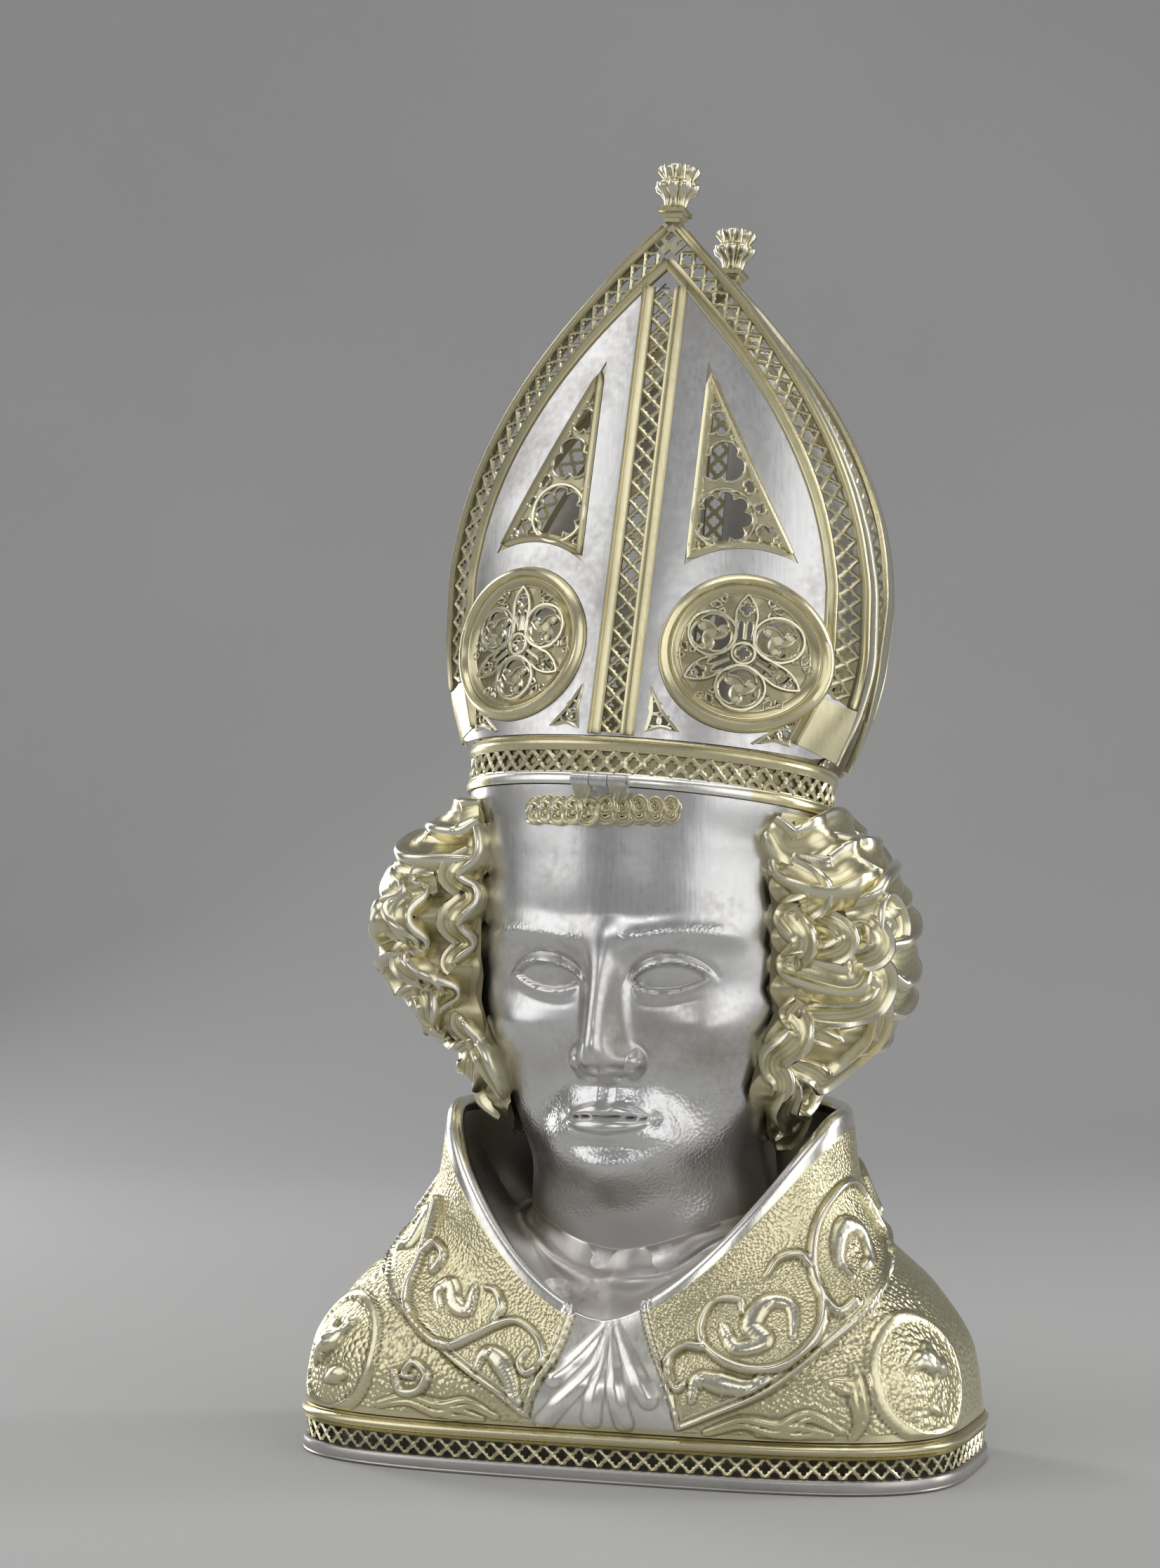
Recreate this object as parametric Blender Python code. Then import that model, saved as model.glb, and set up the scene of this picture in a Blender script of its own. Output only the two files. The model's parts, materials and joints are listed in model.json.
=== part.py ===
"""Reliquary bust of a bishop saint: parcel-gilt silver, with a pierced mitre that opens on a hinge.

Metres, +Z up, face towards -Y. The origin is the centre of the underside.
"""
import math

import bmesh
import bpy
import numpy as np
from mathutils import Matrix
from mathutils.geometry import delaunay_2d_cdt

# Base
BASE_HALF_WIDTH = 0.1178
BASE_HALF_DEPTH = 0.0600
BASE_CORNER_POWER = 3.6
FOOT_HEIGHT = 0.0050
FOOT_FLOOR = 0.0015
FOOT_RIM_WIDTH = 0.0045
FOOT_ROUNDING = 0.0011
GALLERY_HEIGHT = 0.0065
GALLERY_WALL = 0.0009
GALLERY_INSET = 0.0012
MOULDING_HEIGHT = 0.0055
MOULDING_WIDTH = 0.0050
SEAT_GAP = 0.0003

# Shoulders and collar
SHEET = 0.0014
SHOULDER_INSET = 0.0012
COLLAR_HALF_WIDTH = 0.0700
COLLAR_FRONT_DEPTH = 0.0520
COLLAR_BACK_DEPTH = 0.0555
COLLAR_CENTRE_X = 0.0020
COLLAR_FRONT_HEIGHT = 0.0520
COLLAR_SIDE_HEIGHT = 0.1180
COLLAR_BACK_HEIGHT = 0.1225
COLLAR_ROLL = 0.0022
CHEST_SWELL = 0.0040
BACK_SWELL = 0.0030
FLAP_RISE = 0.0019
VINE_HALF_WIDTH = 0.0017
VINE_RISE = 0.0019
ROUNDEL_BAND = 0.0042
ROUNDEL_RISE = 0.0011

# Head: the face is drawn in parts of its own height, chin to hairline
FACE_HEIGHT = 0.1300
CHIN_HEIGHT = 0.0920
HEAD_CENTRE_X = 0.0020
HEAD_CENTRE_Y = 0.0010
HEAD_WALL = 0.0016
HAIR_LIFT = 0.0003

# Mitre
MITRE_CENTRE = (0.0020, 0.0010, 0.2230)
MITRE_TILT_BACK = math.radians(9.0)
MITRE_LEAN = math.radians(3.0)
RIM_HALF_WIDTH = 0.0640
RIM_HALF_DEPTH = 0.0520
RIM_HEIGHT = 0.0165
RIM_BEAD_HEIGHT = 0.0045
RIM_MOULDING_HEIGHT = 0.0050
RIM_WALL = 0.0012
RIM_PROUD = 0.0013
PANEL_HEIGHT = 0.1985
PANEL_BELLY = 0.0780
PANEL_BELLY_HEIGHT = 0.0560
PANEL_SHEET = 0.0013
PANEL_DEPTH_LOW = 0.0500
PANEL_DEPTH_HIGH = 0.0375
PANEL_TOP_SPREAD = 0.0390
FLANGE_DEPTH = 0.0085
BAND_WIDTH = 0.0135
BAND_MOULDING = 0.0040
BAND_RISE = 0.0014
STRIP_WIDTH = 0.0170
STRIP_TOP = 0.1700
ROSETTE_X = 0.0400
ROSETTE_HEIGHT = 0.0490
ROSETTE_RADIUS = 0.0270
ROSETTE_OPENING = 0.0200
ROSETTE_FRAME_RISE = 0.0026
INSET_CLEARANCE = 0.0004
WINDOW_TOP = 0.1485
WINDOW_INNER_X = 0.0185
WINDOW_OUTER_X = 0.0540
WINDOW_ARC_RADIUS = 0.0360
FINIAL_HEIGHT = 0.0200
FINIAL_BLOCK = 0.0066

# Hinge
HINGE_X = 0.0006
HINGE_REACH = 0.0060
HINGE_RISE = 0.0008
LEAF_THICKNESS = 0.0014
PIN_HEAD = 0.0006
HINGE_LENGTH = 0.0190
KNUCKLE_RADIUS = 0.0022
PIN_RADIUS = 0.0010
PIN_CLEARANCE = 0.00005
KNUCKLE_GAP = 0.0003

FULL_TURN = 2 * math.pi


def clear_scene():
    for thing in list(bpy.data.objects):
        bpy.data.objects.remove(thing, do_unlink=True)


def metal(name, colour, roughness):
    """Principled metal of one colour."""
    material = bpy.data.materials.new(name)
    material.use_nodes = True
    shader = material.node_tree.nodes["Principled BSDF"]
    shader.inputs["Base Color"].default_value = (*colour, 1.0)
    shader.inputs["Metallic"].default_value = 1.0
    shader.inputs["Roughness"].default_value = roughness
    material.diffuse_color = (*colour, 1.0)
    return material


def smoothstep(low, high, value):
    """Ease from 0 at low to 1 at high."""
    share = np.clip((np.asarray(value, float) - low) / (high - low), 0.0, 1.0)
    return share * share * (3 - 2 * share)


def ease_through(points, at):
    """Smooth monotone curve through a few (place, value) points."""
    xs = np.array([p[0] for p in points], float)
    ys = np.array([p[1] for p in points], float)
    step = np.diff(xs)
    slope = np.diff(ys) / step
    tangent = np.zeros(len(xs))
    tangent[0] = slope[0]
    tangent[-1] = slope[-1]
    same_way = slope[1:] * slope[:-1] > 0
    mean = 2 * slope[1:] * slope[:-1] / np.where(same_way, slope[1:] + slope[:-1], 1.0)
    tangent[1:-1] = np.where(same_way, mean, 0.0)
    at = np.clip(at, xs[0], xs[-1])
    k = np.clip(np.searchsorted(xs, at, side="right") - 1, 0, len(xs) - 2)
    t = (at - xs[k]) / step[k]
    rise = (1 + 2 * t) * (1 - t) ** 2 * ys[k] + t * t * (3 - 2 * t) * ys[k + 1]
    return rise + step[k] * t * (1 - t) * ((1 - t) * tangent[k] - t * tangent[k + 1])


def add_object(name, verts, faces, material, smooth_angle=40.0):
    """Make one mesh object from vertices and faces."""
    mesh = bpy.data.meshes.new(name)
    mesh.from_pydata([tuple(map(float, v)) for v in verts], [], [tuple(f) for f in faces])
    mesh.validate()
    work = bmesh.new()
    work.from_mesh(mesh)
    bmesh.ops.recalc_face_normals(work, faces=work.faces)
    work.to_mesh(mesh)
    work.free()
    mesh.shade_smooth()
    mesh.set_sharp_from_angle(angle=math.radians(smooth_angle))
    mesh.materials.append(material)
    thing = bpy.data.objects.new(name, mesh)
    bpy.context.collection.objects.link(thing)
    return thing


def grid_faces(rows, columns, start=0, wrap_rows=False, wrap_columns=True, flip=False):
    """Quads over a grid of vertices stored row by row."""
    faces = []
    for row in range(rows if wrap_rows else rows - 1):
        below = (row + 1) % rows
        for column in range(columns if wrap_columns else columns - 1):
            beside = (column + 1) % columns
            quad = [start + row * columns + column, start + row * columns + beside,
                    start + below * columns + beside, start + below * columns + column]
            faces.append(quad[::-1] if flip else quad)
    return faces


def ring_solid(name, rings, material, smooth_angle=40.0):
    """Closed ring-shaped solid: the rings go once round its section."""
    columns = len(rings[0])
    verts = np.concatenate(rings)
    return add_object(name, verts, grid_faces(len(rings), columns, wrap_rows=True), material, smooth_angle)


def turned_solid(name, rings, material, smooth_angle=40.0):
    """Solid from stacked rings, top to bottom, with a flat cap at each end."""
    columns = len(rings[0])
    verts = np.concatenate(rings)
    faces = grid_faces(len(rings), columns)
    last = (len(rings) - 1) * columns
    faces.append(list(range(columns)))
    faces.append([last + i for i in reversed(range(columns))])
    return add_object(name, verts, faces, material, smooth_angle)


# Base plan: a superellipse walked at an even pace from the middle of the front

def plan_angles(count, shift=0.0):
    """Curve parameters that part the base outline into equal lengths."""
    dense = np.linspace(0, FULL_TURN, 4001)
    x, y = plan_point(dense)
    length = np.concatenate([[0], np.cumsum(np.hypot(np.diff(x), np.diff(y)))])
    share = (np.arange(count) + shift) / count
    return np.interp(share * length[-1], length, dense)


def plan_point(angle, inset=0.0):
    """Point of the base outline, moved inwards by inset."""
    power = 2 / BASE_CORNER_POWER
    across = np.sin(angle)
    forward = np.cos(angle)
    x = (BASE_HALF_WIDTH - inset) * np.sign(across) * np.abs(across) ** power
    y = -(BASE_HALF_DEPTH - inset) * np.sign(forward) * np.abs(forward) ** power
    return x, y


def plan_ring(angles, inset, height):
    x, y = plan_point(angles, inset)
    return np.stack([x, y, np.full_like(x, height)], axis=1)


BASE_COLUMNS = 44


def build_foot(material):
    """Flat plate with the plain outer rim standing up round it."""
    angles = plan_angles(BASE_COLUMNS)
    profile = [(FOOT_RIM_WIDTH + 0.0002, FOOT_FLOOR), (FOOT_RIM_WIDTH, FOOT_HEIGHT), (FOOT_ROUNDING, FOOT_HEIGHT),
               (0.0, FOOT_HEIGHT - FOOT_ROUNDING), (0.0, FOOT_ROUNDING), (FOOT_ROUNDING, 0.0)]
    rings = [plan_ring(angles, inset, height) for inset, height in profile]
    return turned_solid("foot_plate", rings, material)


def build_gallery(material):
    """Thin upright band between the foot and the moulding."""
    angles = plan_angles(BASE_COLUMNS)
    low = FOOT_HEIGHT + SEAT_GAP
    high = FOOT_HEIGHT + GALLERY_HEIGHT - SEAT_GAP
    outer = GALLERY_INSET
    inner = GALLERY_INSET + GALLERY_WALL
    profile = [(outer, high), (outer, low), (inner, low), (inner, high)]
    return ring_solid("base_gallery", [plan_ring(angles, *p) for p in profile], material)


def base_top():
    return FOOT_HEIGHT + GALLERY_HEIGHT + MOULDING_HEIGHT


def build_moulding(material):
    """Gilt moulding: a bead, a hollow and a flat ledge that carries the shoulders."""
    angles = plan_angles(BASE_COLUMNS)
    low = FOOT_HEIGHT + GALLERY_HEIGHT
    high = base_top()
    profile = [(SHOULDER_INSET, high), (0.0, high - 0.25 * MOULDING_HEIGHT), (-0.0004, high - 0.6 * MOULDING_HEIGHT),
               (0.0004, low), (MOULDING_WIDTH, low), (MOULDING_WIDTH, high)]
    return ring_solid("base_moulding", [plan_ring(angles, *p) for p in profile], material)


# Shoulders: meridians run from the base outline up to the collar edge

SHOULDER_PROFILE = [(0.0, 1.0), (0.2, 0.935), (0.41, 0.665), (0.6, 0.262), (0.8, 0.054), (1.0, 0.0)]


def collar_edge(turn, inset=0.0):
    """Point of the collar edge at a share of a turn from the front, as x, y, z arrays."""
    angle = FULL_TURN * np.asarray(turn, float)
    across = np.sin(angle)
    forward = np.cos(angle)
    x = COLLAR_CENTRE_X + (COLLAR_HALF_WIDTH - inset) * across
    depth = np.where(forward > 0, COLLAR_FRONT_DEPTH, COLLAR_BACK_DEPTH) - inset
    y = -depth * forward
    side_rise = np.abs(across) ** 1.7
    front = COLLAR_FRONT_HEIGHT + (COLLAR_SIDE_HEIGHT - COLLAR_FRONT_HEIGHT) * side_rise
    back = COLLAR_BACK_HEIGHT + (COLLAR_SIDE_HEIGHT - COLLAR_BACK_HEIGHT) * np.abs(across)
    z = np.where(forward > 0, front, back)
    return x, y, z


def base_edge(turn, inset=0.0):
    """Foot of a shoulder meridian on the base outline."""
    dense = plan_angles(720)
    angle = np.interp(np.asarray(turn, float) * 720, np.arange(721), np.append(dense, FULL_TURN))
    return plan_point(angle, SHOULDER_INSET + inset)


def shoulder_point(turn, climb, inset=0.0):
    """Point of the shoulders: turn goes round from the front, climb from the base to the collar."""
    bx, by = base_edge(turn, inset)
    ex, ey, ez = collar_edge(turn, inset)
    out = ease_through(SHOULDER_PROFILE, climb)
    x = ex + (bx - ex) * out
    y = ey + (by - ey) * out
    hump = 4 * climb * (1 - climb)
    forward = np.cos(FULL_TURN * turn)
    y = y - CHEST_SWELL * hump * np.clip(forward, 0, 1) ** 2 + BACK_SWELL * hump * np.clip(-forward, 0, 1) ** 2
    z = base_top() + SEAT_GAP + (ez - base_top() - SEAT_GAP) * climb
    return np.stack(np.broadcast_arrays(x, y, z), axis=-1)


# Relief of the shoulders: places are (degrees round from the front, share of the climb to the collar)

FLAP_RIGHT_BORDER = [(18, 0.04), (26, 0.14), (36, 0.23), (51, 0.37), (72, 0.48), (95, 0.56), (130, 0.62), (180, 0.64)]
FLAP_LEFT_BORDER = [(-12, 0.07), (-20, 0.24), (-37, 0.39), (-58, 0.47), (-79, 0.55), (-130, 0.62), (-180, 0.64)]
FLAP_RIGHT_FRONT = [(18, 0.04), (16, 0.48), (11.5, 1.0)]
FLAP_LEFT_FRONT = [(-12, 0.07), (-10, 0.52), (-7.5, 1.0)]

VINES = {
    "left_scroll": [(-66, 0.76), (-59, 0.63), (-53, 0.51), (-46, 0.45), (-39, 0.41), (-33, 0.42), (-30, 0.50),
                    (-27, 0.61), (-22, 0.71), (-16, 0.69), (-12.5, 0.56), (-14, 0.43), (-17, 0.48), (-17, 0.58)],
    "left_curl": [(-58, 0.61), (-56, 0.67), (-51, 0.67), (-51, 0.60), (-54, 0.63)],
    "left_shoot": [(-28, 0.63), (-28, 0.72), (-31, 0.76), (-34, 0.73)],
    "right_medallion": [(62, 0.48), (57, 0.47), (57, 0.56), (59, 0.66), (65, 0.76), (75, 0.80), (86, 0.78),
                        (93, 0.70), (92, 0.60)],
    "right_scroll": [(57, 0.54), (53, 0.46), (48, 0.40), (41, 0.35), (35, 0.37), (30, 0.45), (27.5, 0.56),
                     (28, 0.68), (32, 0.75), (38, 0.68), (38, 0.62)],
    "right_shoot": [(58, 0.62), (56, 0.69), (50, 0.73), (46, 0.70)],
    "right_curl": [(27, 0.54), (23, 0.59), (19, 0.54), (18.5, 0.42), (19.5, 0.34), (21, 0.37)],
    "left_ground_spiral": [(-42, 0.22), (-40, 0.14), (-36, 0.16), (-35, 0.25), (-39, 0.29), (-40, 0.22), (-38, 0.22)],
}

BEASTS = {
    "left_upper": [(-42, 0.52), (-46, 0.56), (-44, 0.61), (-40, 0.57), (-36, 0.58), (-37, 0.67)],
    "left_lower": [(-25, 0.36), (-25, 0.46), (-21, 0.45), (-17, 0.36), (-14.5, 0.22)],
    "left_high": [(-74, 0.62), (-70, 0.66), (-66, 0.60)],
    "right_round": [(46, 0.45), (49, 0.55), (44, 0.60), (39, 0.55), (40, 0.47), (34, 0.48), (33, 0.58)],
    "right_lower": [(22, 0.26), (24, 0.38), (28, 0.34), (33, 0.29)],
    "right_oval": [(66, 0.54), (68, 0.62), (72, 0.66), (75, 0.60)],
}
BEAST_HALF_WIDTH = 0.0029
BEAST_RISE = 0.0019

BORDER_HALF_WIDTH = 0.0012
BORDER_RISE = 0.0008
CROWDING = 0.0030
MERGE = 0.0003

ROUNDELS = {"left": (-61, 0.225), "right": (71, 0.215)}
ROUNDEL_RADIUS = 0.0205
ROUNDEL_BIRD = [(-0.0100, -0.0060), (-0.0060, 0.0020), (0.0000, 0.0060), (0.0060, 0.0050), (0.0085, -0.0010)]
BIRD_HALF_WIDTH = 0.0048
BIRD_RISE = 0.0016

LINEN_FOLDS = [
    [(2.6, 0.98), (0.5, 0.62), (-6, 0.22)],
    [(3.0, 0.98), (5.0, 0.60), (7.5, 0.16)],
    [(4.5, 0.98), (9.5, 0.66), (13, 0.30)],
]
FOLD_HALF_WIDTH = 0.0018
FOLD_RISE = 0.0016


def wander(points, count):
    """Smooth path through a few points, as count places along it."""
    control = np.array(points, float)
    padded = np.vstack([2 * control[0] - control[1], control, 2 * control[-1] - control[-2]])
    path = []
    for share in np.linspace(0, len(control) - 1, count):
        k = min(int(share), len(control) - 2)
        t = share - k
        a, b, c, d = padded[k:k + 4]
        bend = (2 * a - 5 * b + 4 * c - d) * t * t + (3 * b - a - 3 * c + d) * t ** 3
        path.append(0.5 * (2 * b + (c - a) * t + bend))
    return np.array(path)


def shoulder_at(places):
    """Surface points of (degrees, climb) places."""
    places = np.asarray(places, float)
    return shoulder_point(places[..., 0] / 360 % 1.0, np.clip(places[..., 1], 0, 1))


def surface_steps(place, surface):
    """How a surface's point moves with each of its two coordinates at one place."""
    point, small = surface
    here, beside, below = point(np.array([place, place + (small[0], 0), place - (0, small[1])]))
    return (beside - here) / small[0], (here - below) / small[1]


def shift_place(place, offset, surface):
    """Place reached from another one by a small move in space."""
    steps = np.stack(surface_steps(place, surface), axis=1)
    return place + np.linalg.lstsq(steps, offset, rcond=None)[0]


# A surface is the function from its places to points, with a small step of each coordinate
SHOULDER_SURFACE = (shoulder_at, (0.05, 0.0005))


def inside_flap(places):
    """Which places lie on a collar flap."""
    degrees = places[:, 0]
    climb = places[:, 1]
    right = np.array(FLAP_RIGHT_BORDER)
    left = np.array(FLAP_LEFT_BORDER)[::-1]
    above = np.where(degrees > 0, climb > np.interp(degrees, right[:, 0], right[:, 1]),
                     climb > np.interp(degrees, left[:, 0], left[:, 1]))
    front_right = np.array(FLAP_RIGHT_FRONT)
    front_left = np.array(FLAP_LEFT_FRONT)
    beyond_right = degrees > np.interp(climb, front_right[:, 1], front_right[:, 0])
    beyond_left = degrees < np.interp(climb, front_left[:, 1], front_left[:, 0])
    return above & (beyond_right | beyond_left)


def ridge_lines(path, half_width, surface):
    """Crest of a ridge and its two feet, as three lines of places."""
    left = []
    right = []
    for k, place in enumerate(path):
        before = path[max(k - 1, 0)]
        after = path[min(k + 1, len(path) - 1)]
        around, up = surface_steps(place, surface)
        along = around * (after - before)[0] + up * (after - before)[1]
        across = np.cross(np.cross(around, up), along)
        across *= half_width / max(np.linalg.norm(across), 1e-12)
        left.append(shift_place(place, across, surface))
        right.append(shift_place(place, -across, surface))
    return [np.array(path), np.array(left), np.array(right)]


def roundel_frame(centre):
    """Surface point of a roundel's centre and its directions to the right and up."""
    around, up = surface_steps(np.array(centre, float), SHOULDER_SURFACE)
    right = around / np.linalg.norm(around)
    high = np.cross(np.cross(around, up), right)
    return shoulder_at(centre), right, high / np.linalg.norm(high)


def roundel_circle(centre, radius, count):
    """Closed line of places at one distance from a roundel's centre."""
    middle, right, high = roundel_frame(centre)
    line = []
    for angle in np.arange(count + 1) / count * FULL_TURN:
        place = np.array(centre, float)
        for _ in range(6):
            reach = shoulder_at(place) - middle
            want = radius * (math.cos(angle) * right + math.sin(angle) * high)
            have = (reach @ right) * right + (reach @ high) * high
            place = shift_place(place, want - have, SHOULDER_SURFACE)
        line.append(place)
    return np.array(line)


def roundel_bird(side):
    """Crest of the bird in a roundel."""
    centre = np.array(ROUNDELS[side], float)
    _, right, high = roundel_frame(centre)
    sign = 1 if side == "left" else -1
    offsets = [sign * a * right + b * high for a, b in ROUNDEL_BIRD]
    return np.array([shift_place(centre, offset, SHOULDER_SURFACE) for offset in offsets])


def shoulder_ridges():
    """Every ridge of the relief, as crest path, half width and rise."""
    ridges = []
    for border in (FLAP_RIGHT_BORDER, FLAP_LEFT_BORDER, FLAP_RIGHT_FRONT, FLAP_LEFT_FRONT):
        ridges.append((wander(border, 2 * len(border) - 1), BORDER_HALF_WIDTH, BORDER_RISE))
    for vine in VINES.values():
        ridges.append((wander(vine, int(1.3 * len(vine))), VINE_HALF_WIDTH, VINE_RISE))
    for beast in BEASTS.values():
        ridges.append((wander(beast, len(beast)), BEAST_HALF_WIDTH, BEAST_RISE))
    for side in ROUNDELS:
        ridges.append((wander(roundel_bird(side), 5), BIRD_HALF_WIDTH, BIRD_RISE))
    for fold in LINEN_FOLDS:
        ridges.append((wander(fold, 5), FOLD_HALF_WIDTH, FOLD_RISE))
    return ridges


def line_distance(points, line):
    """Distance of points from a line of points in space."""
    nearest = np.full(len(points), np.inf)
    for a, b in zip(line[:-1], line[1:]):
        run = b - a
        share = np.clip(((points - a) @ run) / max(run @ run, 1e-12), 0, 1)
        nearest = np.minimum(nearest, np.linalg.norm(points - a - share[:, None] * run, axis=1))
    return nearest


def shoulder_relief(places):
    """Rise of the relief above the plain surface at places."""
    points = shoulder_at(places)
    rise = np.zeros(len(places))
    on_flap = inside_flap(places)
    for path, half_width, height in shoulder_ridges():
        away = line_distance(points, shoulder_at(path)) / half_width
        rise = np.maximum(rise, height * np.sqrt(np.clip(1 - away * away, 0, 1)))
        if half_width == BORDER_HALF_WIDTH:
            on_flap |= away < 0.5
    for side, centre in ROUNDELS.items():
        middle, right, high = roundel_frame(centre)
        reach = points - middle
        radius = np.hypot(reach @ right, reach @ high)
        band = np.abs(radius - ROUNDEL_RADIUS) / (ROUNDEL_BAND / 2)
        near = np.linalg.norm(reach, axis=1) < 2 * ROUNDEL_RADIUS
        rise = np.maximum(rise, ROUNDEL_RISE * near * (1 - smoothstep(1.02, 1.3, band)))
    return rise + FLAP_RISE * on_flap


SHOULDER_COLUMNS = 40
OUTER_CLIMBS = [0.0, 0.12, 0.24, 0.34, 0.43, 0.52, 0.60, 0.68, 0.77, 0.87, 1.0]
INNER_CLIMBS = [0.95, 0.80, 0.68, 0.56, 0.41, 0.0]
PLACE_SCALE = np.array([0.50 / 360, 0.105])
LOWEST_RELIEF = 0.035
HIGHEST_RELIEF = 0.965


def spread_mesh(grid, fixed, lines, scale, spacing):
    """Triangles through the fixed places, the lines and those grid places that aren't close to a line."""
    scaled = [line * scale for line in lines]
    flat = grid * scale
    if scaled:
        near = np.full(len(flat), np.inf)
        for line in scaled:
            near = np.minimum(near, line_distance(flat, line))
        flat = flat[fixed | (near > spacing)]
    points = [tuple(p) for p in flat]
    edges = []
    for line in scaled:
        start = len(points)
        points += [tuple(p) for p in line]
        edges += [(start + k, start + k + 1) for k in range(len(line) - 1)]
    verts, _, faces, _, _, _ = delaunay_2d_cdt(points, edges, [], 0, MERGE)
    return np.array([tuple(v) for v in verts]) / scale, [tuple(face) for face in faces]


def join_seam(places, faces, half_turn):
    """Make the two edges at the back share their vertices; returns faces and the kept vertex of each."""
    match = list(range(len(places)))
    seam = {}
    for k, (degree, climb) in enumerate(places):
        if abs(abs(degree) - half_turn) < 1e-4:
            match[k] = seam.setdefault(round(float(climb), 4), k)
    return [tuple(match[k] for k in face) for face in faces], match


def edge_ring(places, match, level):
    """Kept vertices at one level, in order round the piece."""
    order = [k for k, p in enumerate(places) if abs(p[1] - level) < 1e-5 and match[k] == k]
    return sorted(order, key=lambda k: places[k][0])


def close_shell(name, verts, faces, rings, material, smooth_angle=50.0):
    """Add the bands between neighbouring rings of vertex numbers and drop what isn't used."""
    for upper, lower in zip(rings[:-1], rings[1:]):
        for k in range(len(upper)):
            beside = (k + 1) % len(upper)
            faces.append((upper[k], upper[beside], lower[beside], lower[k]))
    used = sorted({k for face in faces for k in face})
    index = {k: n for n, k in enumerate(used)}
    faces = [tuple(index[k] for k in face) for face in faces]
    return add_object(name, [verts[k] for k in used], faces, material, smooth_angle)


def add_ring(verts, points):
    """Append a ring of points to verts and return their numbers."""
    start = len(verts)
    verts.extend(points)
    return list(range(start, start + len(points)))


def build_shoulders(material):
    """Hollow shell: relief outside, a rolled collar edge and a plain wall inside."""
    degrees = np.linspace(-180, 180, SHOULDER_COLUMNS + 1)
    grid = np.array([(d, c) for c in OUTER_CLIMBS for d in degrees])
    fixed = (grid[:, 1] == 0) | (grid[:, 1] == 1) | (np.abs(grid[:, 0]) == 180)
    lines = []
    for path, half_width, _ in shoulder_ridges():
        within = (path[:, 1] > LOWEST_RELIEF) & (path[:, 1] < HIGHEST_RELIEF) & (np.abs(path[:, 0]) < 176)
        if within.sum() > 1:
            lines += ridge_lines(path[within], half_width, SHOULDER_SURFACE)
    for centre in ROUNDELS.values():
        for reach in (-0.68, -0.5, 0.5, 0.68):
            lines.append(roundel_circle(centre, ROUNDEL_RADIUS + reach * ROUNDEL_BAND, 16))
    lines = [np.clip(line, (-177, LOWEST_RELIEF), (177, HIGHEST_RELIEF)) for line in lines]
    places, faces = spread_mesh(grid, fixed, lines, PLACE_SCALE, CROWDING)
    faces, match = join_seam(places, faces, 180)
    lift = shoulder_relief(places)
    lift[np.abs(places[:, 1]) < 1e-5] = 0.0
    verts = list(shoulder_at(places) + shoulder_normals(places) * lift[:, None])
    bottom = edge_ring(places, match, 0.0)
    top = edge_ring(places, match, 1.0)
    turn = (places[bottom, 0] / 360) % 1.0
    crest = shoulder_point(turn, 1.0, inset=COLLAR_ROLL / 2) + np.array([0, 0, 0.0012])
    rings = [top, add_ring(verts, crest), add_ring(verts, shoulder_point(turn, 1.0, inset=COLLAR_ROLL))]
    for climb in INNER_CLIMBS:
        inset = COLLAR_ROLL if climb > 0.9 else SHEET + 0.0002
        rings.append(add_ring(verts, shoulder_point(turn, climb, inset=inset)))
    return close_shell("shoulders", verts, faces, rings + [bottom], material)


def shoulder_normals(places):
    """Outward directions of the surface at places."""
    small = np.array([0.2, 0.002])
    low = places - np.array([0, small[1]]) * (places[:, 1:2] > 0.5)
    around = shoulder_at(places + np.array([small[0], 0])) - shoulder_at(places - np.array([small[0], 0]))
    up = shoulder_at(low + np.array([0, small[1]])) - shoulder_at(low)
    normal = np.cross(around, up)
    return normal / np.linalg.norm(normal, axis=1, keepdims=True)


# Head: rounded forms melted together, in parts of the face's height

PART = FACE_HEIGHT / 130
# Distance from the head's axis at which the features are laid out
FACE_REACH = 50.0


def ball(p, centre, radii):
    """Distance to an ellipsoid, near enough for carving."""
    radii = np.array(radii, float)
    q = (p - np.array(centre, float)) / radii
    length = np.sqrt((q * q).sum(-1))
    slope = np.sqrt(((q / radii) ** 2).sum(-1))
    return length * (length - 1) / np.maximum(slope, 1e-9)


def melt(a, b, blend):
    """Join two forms with a soft seam."""
    share = np.clip(0.5 + 0.5 * (b - a) / blend, 0, 1)
    return b + (a - b) * share - blend * share * (1 - share)


def mirrored(p):
    """Fold the right side on the left, for forms that come in pairs."""
    q = p.copy()
    q[..., 0] = np.abs(q[..., 0])
    return q


def hill(x, breadth, z, height):
    """Round hill of 1 in the middle."""
    return np.exp(-(x / breadth) ** 2 - (z / height) ** 2)


def plain_head(p):
    """Distance to the plain head: x across, y back and z up from the chin, in parts of the face's height."""
    m = mirrored(p)
    form = ball(p, (0, 0, 133), (61, 51, 112))
    form = melt(form, ball(p, (0, -4, 74), (60, 46, 60)), 12)
    form = melt(form, ball(p, (0, -22, 20), (30, 26, 22)), 12)
    form = melt(form, ball(m, (27, -4, 34), (18, 24, 24)), 12)
    return melt(form, ball(p, (0, 7, -8), (43, 42, 90)), 10)


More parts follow.
